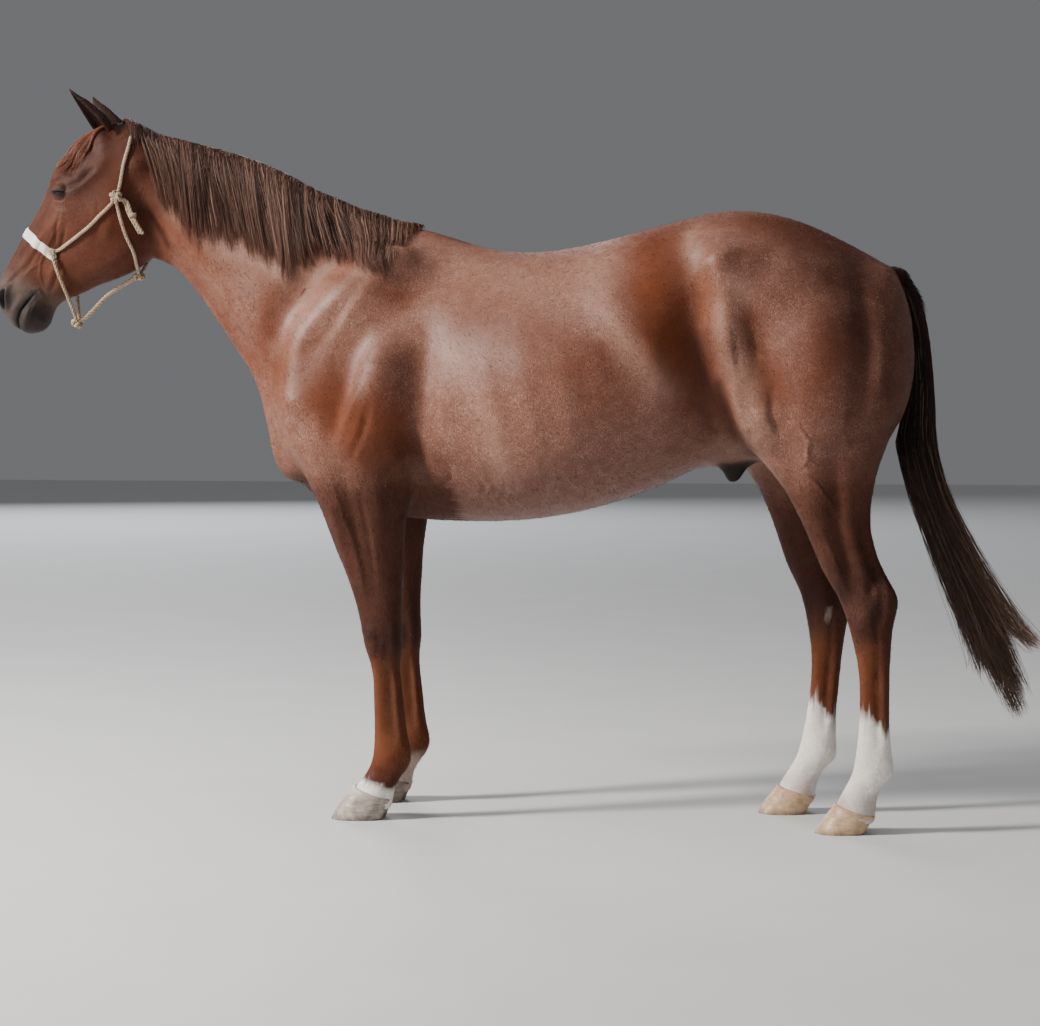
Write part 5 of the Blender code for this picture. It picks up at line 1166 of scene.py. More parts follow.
    # bare skin: the sheath and the chestnuts
    gap, _ = line_gap(p[:, 0], z, SHEATH_LINE)
    sheath = (1 - ramp(gap + 0.006 * edge, 0.034, 0.052)) * (1 - ramp(np.abs(y), 0.030, 0.065))
    put(SHEATH, sheath)
    white -= sheath
    for (cx, cz), reach in CHESTNUTS:
        bare = 1 - ramp(np.hypot((x - cx) * 1.9, z - cz) + 0.002 * fine, reach * 0.8, reach * 1.1)
        put(HORNY, bare * (np.abs(y) < INNER_Y))
        white -= bare
    white = np.clip(white, 0, 1) * (1 - hind) * (1 - 0.5 * fore)
    shade = 1 + 0.07 * blotch + 0.06 * fine
    return np.clip(colour * shade[:, None], 0.004, 0.9), np.clip(white, 0.04, 1)


def paint_skin(mesh):
    """Stores the coat's colour at each point, and the share of white hair as its alpha."""
    colour, white = markings(points_of(mesh))
    store_colour(mesh, "coat", np.concatenate([colour, white[:, None]], 1))


# ---------------------------------------------------------------- hair
# size of a hair's own patch in the unwrap, and the skin's scale in it
PATCH = 0.003
UV_PER_METRE = 0.19
SIDEWAYS = np.array((0.0, 1.0, 0.0))
DOWN_FACE = (FACE_ALONG[0], 0, FACE_ALONG[1])


def unit(v):
    """Directions at length 1."""
    return v / np.maximum(np.linalg.norm(v, axis=-1, keepdims=True), 1e-9)


def hairs(name, paths, wide, flat, out, colours, uv):
    """Closed, pointed, three-sided hairs or tufts as one mesh.

    paths (n, s, 3); wide: half width (n, s - 1); flat: thickness for the width; out (n, 3): away from
    the skin; colours (n, s, 3); uv (n, 2): place of each root."""
    n, s, _ = paths.shape
    along = unit(np.gradient(paths, axis=1))
    across = unit(np.cross(along, out[:, None, :]))
    lift = np.cross(across, along)
    wide = wide[:, :, None, None]
    thick = wide * flat
    turn = 2 * np.pi * np.arange(3) / 3 + np.pi / 2
    ring = (paths[:, :-1, None] + across[:, :-1, None] * wide * np.cos(turn)[:, None]
            + lift[:, :-1, None] * thick * np.sin(turn)[:, None])
    verts = np.concatenate([ring.reshape(n, -1, 3), paths[:, -1:]], 1)
    per = verts.shape[1]
    pattern = [(0, 1, 2)]
    for i in range(s - 2):
        for k in range(3):
            a, b = i * 3 + k, i * 3 + (k + 1) % 3
            pattern += [(a, b + 3, b), (a, a + 3, b + 3)]
    last = (s - 2) * 3
    pattern += [(last + k, per - 1, last + (k + 1) % 3) for k in range(3)]
    faces = (np.arange(n)[:, None, None] * per + np.array(pattern)).reshape(-1, 3)
    mesh = bpy.data.meshes.new(name)
    mesh.vertices.add(n * per)
    mesh.vertices.foreach_set("co", verts.astype(np.float32).ravel())
    mesh.loops.add(faces.size)
    mesh.loops.foreach_set("vertex_index", faces.astype(np.int32).ravel())
    mesh.polygons.add(len(faces))
    mesh.polygons.foreach_set("loop_start", np.arange(0, faces.size, 3, dtype=np.int32))
    mesh.polygons.foreach_set("loop_total", np.full(len(faces), 3, np.int32))
    mesh.update(calc_edges=True)
    tone = np.concatenate([np.repeat(colours[:, :-1], 3, axis=1), colours[:, -1:]], 1).reshape(-1, 3)
    store_colour(mesh, "coat", np.concatenate([np.clip(tone, 0.002, 0.95), np.zeros((len(tone), 1))], 1))
    step = np.concatenate([np.repeat(np.arange(s - 1), 3), [s - 1]]) / (s - 1)
    turn = np.concatenate([np.tile(np.arange(3), s - 1), [1]]) / 3
    place = (uv[:, None] + np.stack([turn, step], 1) * PATCH).reshape(-1, 2)
    mesh.uv_layers.new(name="OFBake").data.foreach_set("uv", place[faces.ravel()].astype(np.float32).ravel())
    mesh.shade_smooth()
    return new_object(name, mesh)


def thinning(n, steps, low, high, tip):
    """Half widths (n, steps) of hairs, drawn between low and high at the root, and finer to the tip."""
    return CHANCE.uniform(low, high, n)[:, None] * np.linspace(1, tip, steps)


def skin_uv(p, normal):
    """The skin's unwrap: each side of the horse, seen from outside and, in islands of their own,
    the surfaces that face inwards."""
    inward = normal[:, 1] * np.sign(p[:, 1]) < 0
    u = (p[:, 0] + 1.33) * UV_PER_METRE * np.where(p[:, 1] < 0, 1, -1) + np.where(p[:, 1] < 0, 0, 1)
    v = 0.02 + p[:, 2] * UV_PER_METRE + 0.5 * inward
    return np.stack([u, v], 1)


def grid_at(grid, s, t):
    """Points of a grid (stations, steps, 3) at places 0 to 1, between its own."""
    rows, steps = grid.shape[:2]
    fs = np.clip(s, 0, 1) * (rows - 1)
    ft = np.clip(t, 0, 1) * (steps - 1)
    i, j = np.minimum(fs.astype(int), rows - 2), np.minimum(ft.astype(int), steps - 2)
    a, b = (fs - i)[..., None], (ft - j)[..., None]
    return ((grid[i, j] * (1 - a) + grid[i + 1, j] * a) * (1 - b)
            + (grid[i, j + 1] * (1 - a) + grid[i + 1, j + 1] * a) * b)


def even(points, count):
    """Evenly spread points on a line through the given ones."""
    points = np.array(points, float)
    span = np.concatenate([[0], np.cumsum(np.linalg.norm(np.diff(points, axis=0), axis=1))])
    t = np.linspace(0, span[-1], count)
    return np.stack([np.interp(t, span, points[:, k]) for k in range(points.shape[1])], 1)


# the mane's roots from the poll to the withers, and the ends of its locks, (x, z)
CREST = [(-0.945, 1.752), (-0.885, 1.722), (-0.778, 1.706), (-0.672, 1.676), (-0.566, 1.634),
         (-0.462, 1.583), (-0.357, 1.530), (-0.254, 1.502), (-0.165, 1.477), (-0.070, 1.447)]
MANE_ENDS = [(-0.925, 1.600), (-0.872, 1.540), (-0.815, 1.465), (-0.741, 1.385), (-0.690, 1.400),
             (-0.637, 1.384), (-0.585, 1.365), (-0.531, 1.333), (-0.505, 1.300), (-0.467, 1.342),
             (-0.426, 1.362), (-0.380, 1.358), (-0.326, 1.350), (-0.270, 1.320), (-0.225, 1.302),
             (-0.200, 1.342), (-0.155, 1.368), (-0.115, 1.390), (-0.080, 1.400), (-0.045, 1.400)]
# thickness of the long hairs for their width
FLATNESS = 0.8
# hairs of the mane, points along each, pieces they are shared out over, and locks they gather in
MANE_HAIRS = 10500
MANE_POINTS = 8
MANE_PIECES = 3
MANE_LOCKS = 104
# places along the crest, and down the neck, of the surface that the mane lies on
MANE_GRID = (150, 16)
MANE_DARK = (0.016, 0.007, 0.006)
MANE_RED = (0.185, 0.068, 0.042)
MANE_PALE = (0.420, 0.250, 0.185)


def mane_grid(tree):
    """Where the mane's innermost layer lies, from the crest down to its ends."""
    rows, steps = MANE_GRID
    crest, ends = even(CREST, rows), even(MANE_ENDS, rows)
    grid = np.zeros((rows, steps, 3))
    for i in range(rows):
        top, _, _, _ = tree.ray_cast(Vector((crest[i, 0], 0, 3)), Vector((0, 0, -1)))
        for j, t in enumerate(np.linspace(0, 1, steps)):
            px, pz = crest[i] + (ends[i] - crest[i]) * t
            pz += 0.020 * math.sin(math.pi * t) * (1 if i < rows / 4 else 0.4)
            pz = min(pz, top.z + 0.004 - 0.05 * t) if t < 0.12 else pz
            hit, _, _, _ = tree.ray_cast(Vector((px, -1, pz)), Vector((0, 1, 0)))
            grid[i, j] = (px, hit.y if hit else 0.0, pz)
    for _ in range(3):
        grid[1:-1, :, 1] = (grid[:-2, :, 1] + 2 * grid[1:-1, :, 1] + grid[2:, :, 1]) / 4
    return grid


def parted(name, count, paths, half, out, tone, uv):
    """Hairs shared out at random over several pieces."""
    return [hairs(f"{name}_{k + 1}", paths[part], half[part], FLATNESS, out[part], tone[part], uv[part])
            for k, part in enumerate(np.array_split(CHANCE.permutation(len(paths)), count))]


def mane(tree):
    """Fine hairs gathered in locks that lie down the near side of the neck."""
    grid = mane_grid(tree)
    n, s = MANE_HAIRS, MANE_POINTS
    root = 0.85 * CHANCE.uniform(0, 1, n) ** 1.03
    lock = np.clip(np.round(root * MANE_LOCKS + CHANCE.normal(0, 0.30, n)), 0, MANE_LOCKS).astype(int)
    count = MANE_LOCKS + 1
    drift = CHANCE.normal(0, 0.35, count)[lock] / MANE_LOCKS
    reach = CHANCE.uniform(0.90, 1.06, count)[lock] * (1 - 0.52 * CHANCE.uniform(0, 1, n) ** 1.1)
    reach = reach * (1 - 0.72 * ramp(root + CHANCE.normal(0, 0.02, n), 0.72, 0.85))
    depth = CHANCE.uniform(0, 1, n)
    t = np.linspace(0, 1, s)
    # each hair starts at its own root, is drawn to the middle of its lock, and sweeps back and waves
    gather = (ramp(t, 0.0, 0.35) * (1 - 0.35 * ramp(t, 0.65, 1.0)))[None]
    gather = gather * np.clip(0.62 + 0.26 * CHANCE.normal(0, 1, n), 0, 0.95)[:, None]
    place = root[:, None] * (1 - gather) + ((lock / MANE_LOCKS + drift)[:, None]) * gather
    place += (CHANCE.normal(0, 0.45, n) / MANE_LOCKS)[:, None] * t ** 2
    place += (0.045 + 0.055 * (1 - root) ** 2 + 0.04 * root - 0.07 * ramp(root, 0.6, 0.85))[:, None] * t
    wave = np.sin(t[None] * CHANCE.uniform(4, 8, n)[:, None] + CHANCE.uniform(0, 6, count)[lock][:, None])
    place += 0.10 / MANE_LOCKS * wave * t
    paths = grid_at(grid, place, t[None] * reach[:, None])
    # how far it stands out from the neck
    rise = 0.35 + 0.65 * np.sin(np.pi * np.clip(t * 0.8 + 0.12, 0, 1))
    height = (0.0015 + 0.0125 * depth)[:, None] * rise
    height += 0.0028 * CHANCE.normal(0, 1, count)[lock][:, None] * np.sin(np.pi * t)
    offset = root * MANE_LOCKS - lock
    height += 0.0030 * (0.5 - np.abs(offset))[:, None] * np.sin(np.pi * np.clip(t + 0.1, 0, 1))
    paths[:, :, 1] -= np.maximum(height, 0.0012)
    paths[:, :, 2] += (0.0065 * depth)[:, None] * (1 - t) ** 2
    paths[:, 0, 1] += CHANCE.uniform(0.0, 0.012, n)
    paths[:, 0, 2] -= 0.006
    out = np.tile(np.array([0.0, -1.0, 0.25]), (n, 1))
    half = thinning(n, s - 1, 0.00045, 0.00090, 0.42)
    # darker below and between the locks and redder and paler on top: painted shade and painted highlight over
    # the hairs' own tones; roan near the withers and the tips
    lock_tone = CHANCE.uniform(0, 1, count)[lock]
    pale = (lock_tone > 0.70) * 0.35 + (CHANCE.uniform(0, 1, n) < 0.24 + 0.16 * root) * 0.6
    redness = (0.10 + 0.90 * depth * CHANCE.uniform(0.2, 1, n)) * (0.40 + 0.80 * lock_tone)
    redness = redness * np.clip(1.25 - 1.6 * np.abs(offset), 0.2, 1)
    base = mixed(MANE_DARK, MANE_RED, redness)
    base = mixed(base, MANE_PALE, pale * (0.2 + 0.8 * depth) * np.clip(1.3 - 1.8 * np.abs(offset), 0.1, 1))
    base = mixed(base, ROAN, 0.65 * ramp(root, 0.76, 0.85))
    tone = base[:, None] * (0.68 + 0.60 * t[None, :, None])
    tip = (0.75 * ramp(t[None] * reach[:, None], 0.70, 1.0)).ravel()
    tone = mixed(tone.reshape(-1, 3), np.array(ROAN) * 1.25, tip).reshape(n, s, 3)
    across = CHANCE.uniform(0.01, 0.99, n)
    uv = np.stack([0.01 + 0.975 * root, across * 0.98], 1)
    return parted("mane_hair", MANE_PIECES, paths, half, out, tone, uv)


def mane_under(tree):
    """The dark felted layer beneath the mane's hairs."""
    grid = mane_grid(tree)
    rows = []
    last = int(grid.shape[0] * 0.78)
    for i in range(0, last, 3):
        end = min(i / 12, (last - i) / 18, 1)
        reach = (0.58 + 0.08 * math.sin(i * 0.9) + 0.05 * math.sin(i * 2.3)) * (0.30 + 0.70 * end)
        line = grid_at(grid, np.full(8, i / (grid.shape[0] - 1)), np.linspace(0.04, 1, 8) * reach)
        outer = line - np.array((0, 0.0010 + 0.0035 * end, 0))
        inner = line + np.array((0, 0.0040, 0))
        rows.append([tuple(p) for p in outer] + [tuple(p) for p in inner[::-1]])
    return outward(loft("mane_under", rows))


POLL_HAIRS = 900
POLL_POINTS = 8


def nearest(tree, p, lift=0.0):
    """The place on the surface nearest to a point, lifted off it, and the way out there."""
    hit, normal, _, _ = tree.find_nearest(Vector(p))
    return np.array(hit) + np.array(normal) * lift, np.array(normal)


def combed(tree, start, way, length, lift, fall):
    """Paths that run over the skin from each start, at the heights lift (n, s); fall turns them down."""
    n, s = lift.shape
    paths = np.zeros((n, s, 3))
    outs = np.zeros((n, 3))
    for i in range(n):
        p, normal = nearest(tree, start[i])
        heading = way[i]
        for j in range(s):
            paths[i, j] = p + normal * lift[i, j]
            heading = heading + fall
            heading = heading - normal * np.dot(heading, normal)
            heading = heading / np.linalg.norm(heading)
            p, normal = nearest(tree, p + heading * length[i] / (s - 1))
        outs[i] = normal
    return paths, outs


def poll_hair(tree):
    """The start of the mane: hair from between the ears that sweeps back over the crown rope."""
    n, s = POLL_HAIRS, POLL_POINTS
    f = CHANCE.uniform(0, 1, n)
    across = CHANCE.normal(0, 1, n)
    depth = CHANCE.uniform(0, 1, n)
    u = np.linspace(0, 1, s)
    start = np.stack([-0.985 + 0.065 * f, 0.014 * across - 0.004, np.full(n, 1.80)], 1)
    length = 0.045 + 0.085 * CHANCE.uniform(0, 1, n) * (0.30 + 0.70 * f)
    way = np.stack([np.full(n, 1.0), -0.50 - 0.60 * depth, np.zeros(n)], 1)
    way = unit(way + 0.10 * CHANCE.normal(0, 1, (n, 3)))
    lift = (0.0045 + 0.0080 * depth)[:, None] * (0.75 + 0.25 * np.sin(np.pi * u))
    lift[:, 0] = -0.004
    paths, outs = combed(tree, start, way, length, lift, np.array((0.0, -0.05, 0.0)))
    half = thinning(n, s - 1, 0.0006, 0.0010, 0.5)
    base = mixed(MANE_DARK, MANE_RED, CHANCE.uniform(0, 0.8, n))
    uv = np.stack([0.01 + 0.97 * f, np.clip(0.5 + across / 6, 0.01, 0.98)], 1)
    return hairs("poll_hair", paths, half, FLATNESS, outs, np.repeat(base[:, None], s, 1), uv)


# the middle line of the tail (x, y, z), and its width and thickness at the same places
TAIL_CORE = [(0.936, 0, 1.352), (0.984, 0, 1.328), (1.016, 0, 1.262), (1.032, 0, 1.17), (1.038, 0, 1.05),
             (1.026, 0, 0.93), (1.050, 0, 0.82), (1.100, 0, 0.69), (1.160, 0, 0.56), (1.215, 0, 0.44)]
TAIL_CORE_WIDTH = [0.018, 0.038, 0.050, 0.054, 0.062, 0.092, 0.090, 0.105, 0.110, 0.060]
TAIL_CORE_THICK = [0.020, 0.044, 0.060, 0.074, 0.084, 0.096, 0.100, 0.088, 0.066, 0.036]
# the tips of the tail's locks (x, y, z)
TAIL_TIPS = [(1.316, 0.004, 0.445), (1.280, -0.012, 0.330), (1.274, 0.010, 0.276), (1.186, -0.006, 0.385),
             (1.232, 0.008, 0.345), (1.205, -0.020, 0.430), (1.255, 0.022, 0.400), (1.168, 0.004, 0.440),
             (1.245, -0.020, 0.470)]
TAIL_HAIRS = 3600
TAIL_POINTS = 13
TAIL_PIECES = 2
# locks that the hairs gather in, and how far down the tail hairs still start
TAIL_STRANDS = 46
TAIL_ROOTS = 0.42
TAIL_DARK = (0.010, 0.006, 0.006)
TAIL_BROWN = (0.045, 0.020, 0.014)
TAIL_PALE = (0.340, 0.200, 0.140)
DOCK_HAIRS = 1100
DOCK_POINTS = 7
DOCK_BROWN = (0.070, 0.030, 0.022)
DOCK_ROAN = (0.150, 0.080, 0.062)


def tail_line(t, table):
    """A row of the tail's tables at places 0 to 1 down its middle line."""
    table = np.array(table, float)
    places = np.linspace(0, 1, len(table))
    if table.ndim == 1:
        return np.interp(t, places, table)
    return np.stack([np.interp(t, places, table[:, k]) for k in range(table.shape[1])], -1)


def round_tail(t, angle, size):
    """Points at places t (n, s) down the tail's middle line, and the way out from each to the hair at
    an angle round it and at a share of its size."""
    core = tail_line(t, TAIL_CORE)
    wide = tail_line(t, TAIL_CORE_WIDTH) / 2
    thick = tail_line(t, TAIL_CORE_THICK) / 2
    across = unit(np.cross(unit(np.gradient(core, axis=1)), SIDEWAYS))
    ring = across * (np.cos(angle) * wide)[..., None] + SIDEWAYS * (np.sin(angle) * thick)[..., None]
    return core, ring * size[..., None]


def tail():
    """Long hairs from both sides of the dock, run together and then parted in ragged, wind-blown locks."""
    n, s = TAIL_HAIRS, TAIL_POINTS
    start = TAIL_ROOTS * CHANCE.uniform(0, 1, n) ** 1.3
    angle = CHANCE.uniform(0, 2 * np.pi, n)
    depth = np.sqrt(CHANCE.uniform(0.25, 1, n))
    tip = CHANCE.integers(0, len(TAIL_TIPS), n)
    strand = CHANCE.integers(0, TAIL_STRANDS, n)
    side = CHANCE.normal(0, 0.010, (TAIL_STRANDS, 3))[strand]
    ends = np.array(TAIL_TIPS)[tip] + side * np.array((1.0, 1.2, 1.2)) + CHANCE.normal(0, 0.003, (n, 3))
    reach = 1 - 0.30 * CHANCE.uniform(0, 1, n) ** 2.2
    f = np.linspace(0, 1, s)
    t = start[:, None] + (reach - start)[:, None] * f[None]
    swell = ramp(f, 0, 0.22)[None] * 0.72 + 0.28
    spiral = angle[:, None] + 0.35 * np.sin(3 * t + (strand % 7)[:, None])
    core, ring = round_tail(t, spiral, depth[:, None] * swell)
    paths = core + ring
    part = ramp(t, 0.58, 1.0) ** 1.4
    paths = paths * (1 - part[..., None]) + (ends[:, None] + ring * 0.10) * part[..., None]
    paths[:, :, 0] += 0.004 * np.sin(9 * t + (strand * 1.7)[:, None]) * ramp(t, 0.1, 0.6)
    paths[:, :, 1] += 0.003 * np.sin(8 * t + (strand * 2.3)[:, None]) * ramp(t, 0.1, 0.6)
    out = unit(ring[:, s // 2])
    half = thinning(n, s - 1, 0.0006, 0.0011, 0.5)
    rear = ramp(np.cos(angle), 0.0, 1.0) * 0.6 + 0.4 * CHANCE.uniform(0, 1, n)
    base = mixed(TAIL_DARK, TAIL_BROWN, rear * 0.9)
    base = mixed(base, TAIL_PALE, (CHANCE.uniform(0, 1, n) < 0.10) * 0.6)
    tone = np.repeat(base[:, None], s, 1)
    # the locks' ends are paler, most of all on the first tip
    bleach = 0.35 + 0.5 * (tip == 0) + 0.25 * CHANCE.uniform(0, 1, n)
    bleached = (ramp(t, 0.52, 0.95) * bleach[:, None]).ravel()
    tone = mixed(tone.reshape(-1, 3), TAIL_PALE, 0.7 * bleached).reshape(n, s, 3)
    uv = np.stack([0.01 + start / TAIL_ROOTS * 0.97, 0.01 + angle / (2 * np.pi) * 0.97], 1)
    return parted("tail_hair", TAIL_PIECES, paths, half, out, tone, uv)


def dock_hair():
    """Short hair of the coat's colour that runs from the croup onto the top of the tail."""
    n, s = DOCK_HAIRS, DOCK_POINTS
    start = 0.03 + 0.17 * CHANCE.uniform(0, 1, n) ** 1.3
    angle = CHANCE.normal(0, 0.9, n)
    depth = CHANCE.uniform(0, 1, n)
    length = (0.035 + 0.085 * CHANCE.uniform(0, 1, n)) * (1 - 1.5 * start)
    f = np.linspace(0, 1, s)
    span = sum(math.dist(a, b) for a, b in zip(TAIL_CORE, TAIL_CORE[1:]))
    t = start[:, None] + length[:, None] / span * f[None]
    rise = 0.72 + (0.16 + 0.42 * depth[:, None] ** 2) * f[None]
    core, ring = round_tail(t, angle[:, None], rise)
    paths = core + ring + 0.0015 * CHANCE.normal(0, 1, (n, 1, 3)) * f[None, :, None]
    out = unit(ring[:, s // 2])
    half = thinning(n, s - 1, 0.0005, 0.0009, 0.5)
    base = mixed(DOCK_BROWN, DOCK_ROAN, CHANCE.uniform(0, 1, n) * (1 - 5 * start))
    tone = np.repeat(base[:, None], s, 1).reshape(-1, 3)
    tone = mixed(tone, TAIL_DARK, np.tile(0.75 * f, n)).reshape(n, s, 3)
    uv = np.stack([0.01 + start / 0.20 * 0.97, 0.01 + (angle / (2 * np.pi) % 1.0) * 0.97], 1)
    return hairs("dock_hair", paths, half, FLATNESS, out, tone, uv)


def tail_under():
    """The dock and the densest hair, dark beneath the single hairs."""
    rows = []
    for t in np.linspace(0, 0.90, 30):
        centre = tail_line(t, TAIL_CORE)
        ahead = unit(tail_line(min(t + 0.02, 1), TAIL_CORE) - tail_line(max(t - 0.02, 0), TAIL_CORE))
        across = unit(np.cross(ahead, SIDEWAYS))
        close = 0.74 * (1 - 0.7 * ramp(t, 0.60, 0.90))
        wide, thick = tail_line(t, TAIL_CORE_WIDTH) / 2 * close, tail_line(t, TAIL_CORE_THICK) / 2 * close
        rows.append([tuple(centre + across * wide * math.cos(a) + SIDEWAYS * thick * math.sin(a))
                     for a in np.linspace(0, 2 * math.pi, 24, endpoint=False)])
    return outward(loft("tail_under", rows))


# hairs of the forelock, its length, half width and height over the forehead
FORELOCK_HAIRS = 1900
FORELOCK_LENGTH = 0.240
FORELOCK_HALF = 0.056
FORELOCK_LIFT = 0.0060
FORELOCK_POINTS = 10
FORELOCK_RED = (0.165, 0.048, 0.022)


def forelock(tree):
    """A thin wisp between the ears that lies down the forehead."""
    n, s = FORELOCK_HAIRS, FORELOCK_POINTS
    u = np.linspace(0, 1, s)
    across = np.clip(CHANCE.normal(-0.22, 0.55, n), -1, 1)
    depth = CHANCE.uniform(0, 1, n)
    root = CHANCE.uniform(0, 1, n)
    x, z = head_point(0.012, 0.04)
    start = np.stack([x + 0.020 * (1 - root) + 0.010, across * FORELOCK_HALF * 0.8, z + 0.015 + 0 * root], 1)
    lock = np.round(across * 5) / 5
    sideways = across * 0.18 + 0.5 * (lock - across)
    way = np.stack([np.full(n, FACE_ALONG[0]), sideways, np.full(n, FACE_ALONG[1])], 1)
    length = FORELOCK_LENGTH * (1 - 0.55 * CHANCE.uniform(0, 1, n) ** 1.3) * (1 - 0.25 * np.abs(across))
    rise = 0.35 + 0.65 * np.sin(np.pi * np.clip(u * 0.8 + 0.1, 0, 1))
    lift = (0.0012 + FORELOCK_LIFT * depth)[:, None] * rise
    lift[:, 0] = -0.003
    paths, outs = combed(tree, start, unit(way), length, lift, np.array((0.0, 0.0, -0.02)))
    half = thinning(n, s - 1, 0.0005, 0.0009, 0.5)
    base = mixed(MANE_RED, FORELOCK_RED, CHANCE.uniform(0, 1, n))
    tone = base[:, None] * (0.7 + 0.5 * u[None, :, None])
    uv = np.stack([0.01 + 0.97 * (across + 1) / 2, 0.01 + 0.97 * root], 1)
    return hairs("forelock_hair", paths, half, FLATNESS, outs, tone, uv)


# the lashes of one eye, half their width, and points along each
LASHES = 34
LASH_HALF = 0.00035
LASH_POINTS = 5


def lashes():
    """Upper lashes that droop over the slit, and a few short lower ones."""
    paths, tones = [], []
    for side in (-1, 1):
        ahead, up, out = eye_axes(side)
        place = eye_place(side)
        a0, b0, half, upper, lower = SLIT
        for k in range(LASHES):
            f = (k + 0.5) / LASHES * 2 - 1
            a = a0 + f * half * 0.92
            low = k % 4 == 3
            shape = max(1 - f * f, 0)
            b = b0 - lower * shape - 0.0010 if low else b0 + upper * shape + 0.0012
            r = EYE_RADIUS + LID + 0.0006
            h = math.sqrt(max(r * r - a * a - b * b, 1e-6)) if a * a + b * b < r * r * 0.8 else r * 0.45
            start = place + ahead * a + up * b + out * (h - 0.001)
            length = (0.004 if low else 0.0105 * (0.6 + 0.4 * shape)) * CHANCE.uniform(0.8, 1.15)
            way = out * 0.75 + ahead * (0.25 * f + 0.18) - up * (0.55 if not low else 0.25)
            drop = -up * 0.5 + ahead * 0.1
            u = np.linspace(0, 1, LASH_POINTS)[:, None]
            paths.append(start + way * length * u + drop * length * 0.7 * u * u)
            tones.append(np.full((LASH_POINTS, 3), 0.02) * (1.0, 0.7, 0.6))
    paths = np.array(paths)
    n = len(paths)
    uv = np.stack([0.01 + 0.97 * np.arange(n) / n, np.full(n, 0.5)], 1)
    half = np.full((n, LASH_POINTS - 1), LASH_HALF)
    return hairs("lashes", paths, half, 1, np.tile((0.0, 0.0, 1.0), (n, 1)), np.array(tones), uv)


# tufts of the whole coat and of each piece, their length and half width, and how deep they root
TUFTS = 60000
TUFTS_PER_PIECE = 18500
TUFT_LENGTH = 0.0110
TUFT_HALF = 0.00060
TUFT_ROOT = 0.0004
# colour of the roan's white hairs, and how much lighter than the coat a tuft is painted at its root, middle
# and tip: painted light against the shade on its thin sides
WHITE_HAIR = (0.30, 0.20, 0.16)
TUFT_PAINTED_LIGHT = (1.00, 1.10, 1.20)


def lie_of_coat(p, normal):
    """The way the hair runs: down and back on the body, down the legs, down the face."""
    along, _ = head_axes(p)
    x, z = p[:, 0], p[:, 2]
    way = np.tile(np.array((0.80, 0.0, -0.55)), (len(p), 1))
    for lies, share in (((0.10, 0.0, -1.0), 1 - ramp(z, 0.72, 0.95)),
                        ((0.55, 0.0, -0.85), ramp(-x, 0.45, 0.75) * (z > 1.0)),
                        (DOWN_FACE, on_head(along, x, z, 0.02, 0.10))):
        way = way * (1 - share[:, None]) + np.array(lies) * share[:, None]
    way = np.where(on_ears(x, z)[:, None], np.array((-0.40, 0.1, 0.85)), way)
    flank = bell(np.hypot(x - 0.53, z - 1.12), 0.10)
    way = way + np.array((-0.8, 0, 0.9)) * (flank * 0.8)[:, None]
    way = way + 0.16 * np.stack([ragged(p, 0.05, 21), ragged(p, 0.06, 22), ragged(p, 0.05, 23)], 1)
    return unit(way - normal * np.sum(way * normal, 1)[:, None])


def tuft_density(p, normal):
    """Tufts for a given area: more along the outline of throat, belly, legs and ears."""
    x, y, z = p.T
    along, _ = head_axes(p)
    edge = 1 - ramp(np.abs(normal[:, 1]), 0.25, 0.75)
    head = (along > 0.0) * (x < HEAD_X) * (z > HEAD_Z)
    low = (z < 0.85) * 1.0
    value = 0.7 + 0.9 * edge + 1.0 * low + 1.2 * head
    value += 2.5 * (z < 0.19) * (normal[:, 0] > 0.1)
    bare = np.zeros(len(p))
    for side in (-1, 1):
        nose = np.linalg.norm(p - nostril_place(side), axis=1)
        eye = np.linalg.norm(p - eye_place(side), axis=1)
        bare = np.maximum(bare, np.maximum(1 - ramp(nose, 0.030, 0.055), 1 - ramp(eye, 0.026, 0.034)))
    bare = np.maximum(bare, 0.7 * ramp(along, 0.50, 0.56) * head)
    bare = np.maximum(bare, (1 - ramp(line_gap(x, z, SHEATH_LINE)[0], 0.036, 0.055)) * (np.abs(y) < 0.085))
    hoof_top = np.where(x < WAIST_X, 0.086, 0.074)
    slope = np.where(x < WAIST_X, -0.36 * (x + 0.334), -0.30 * (x - 0.849))
    bare = np.maximum(bare, z < hoof_top + slope - 0.012)
    return value * (1 - bare)


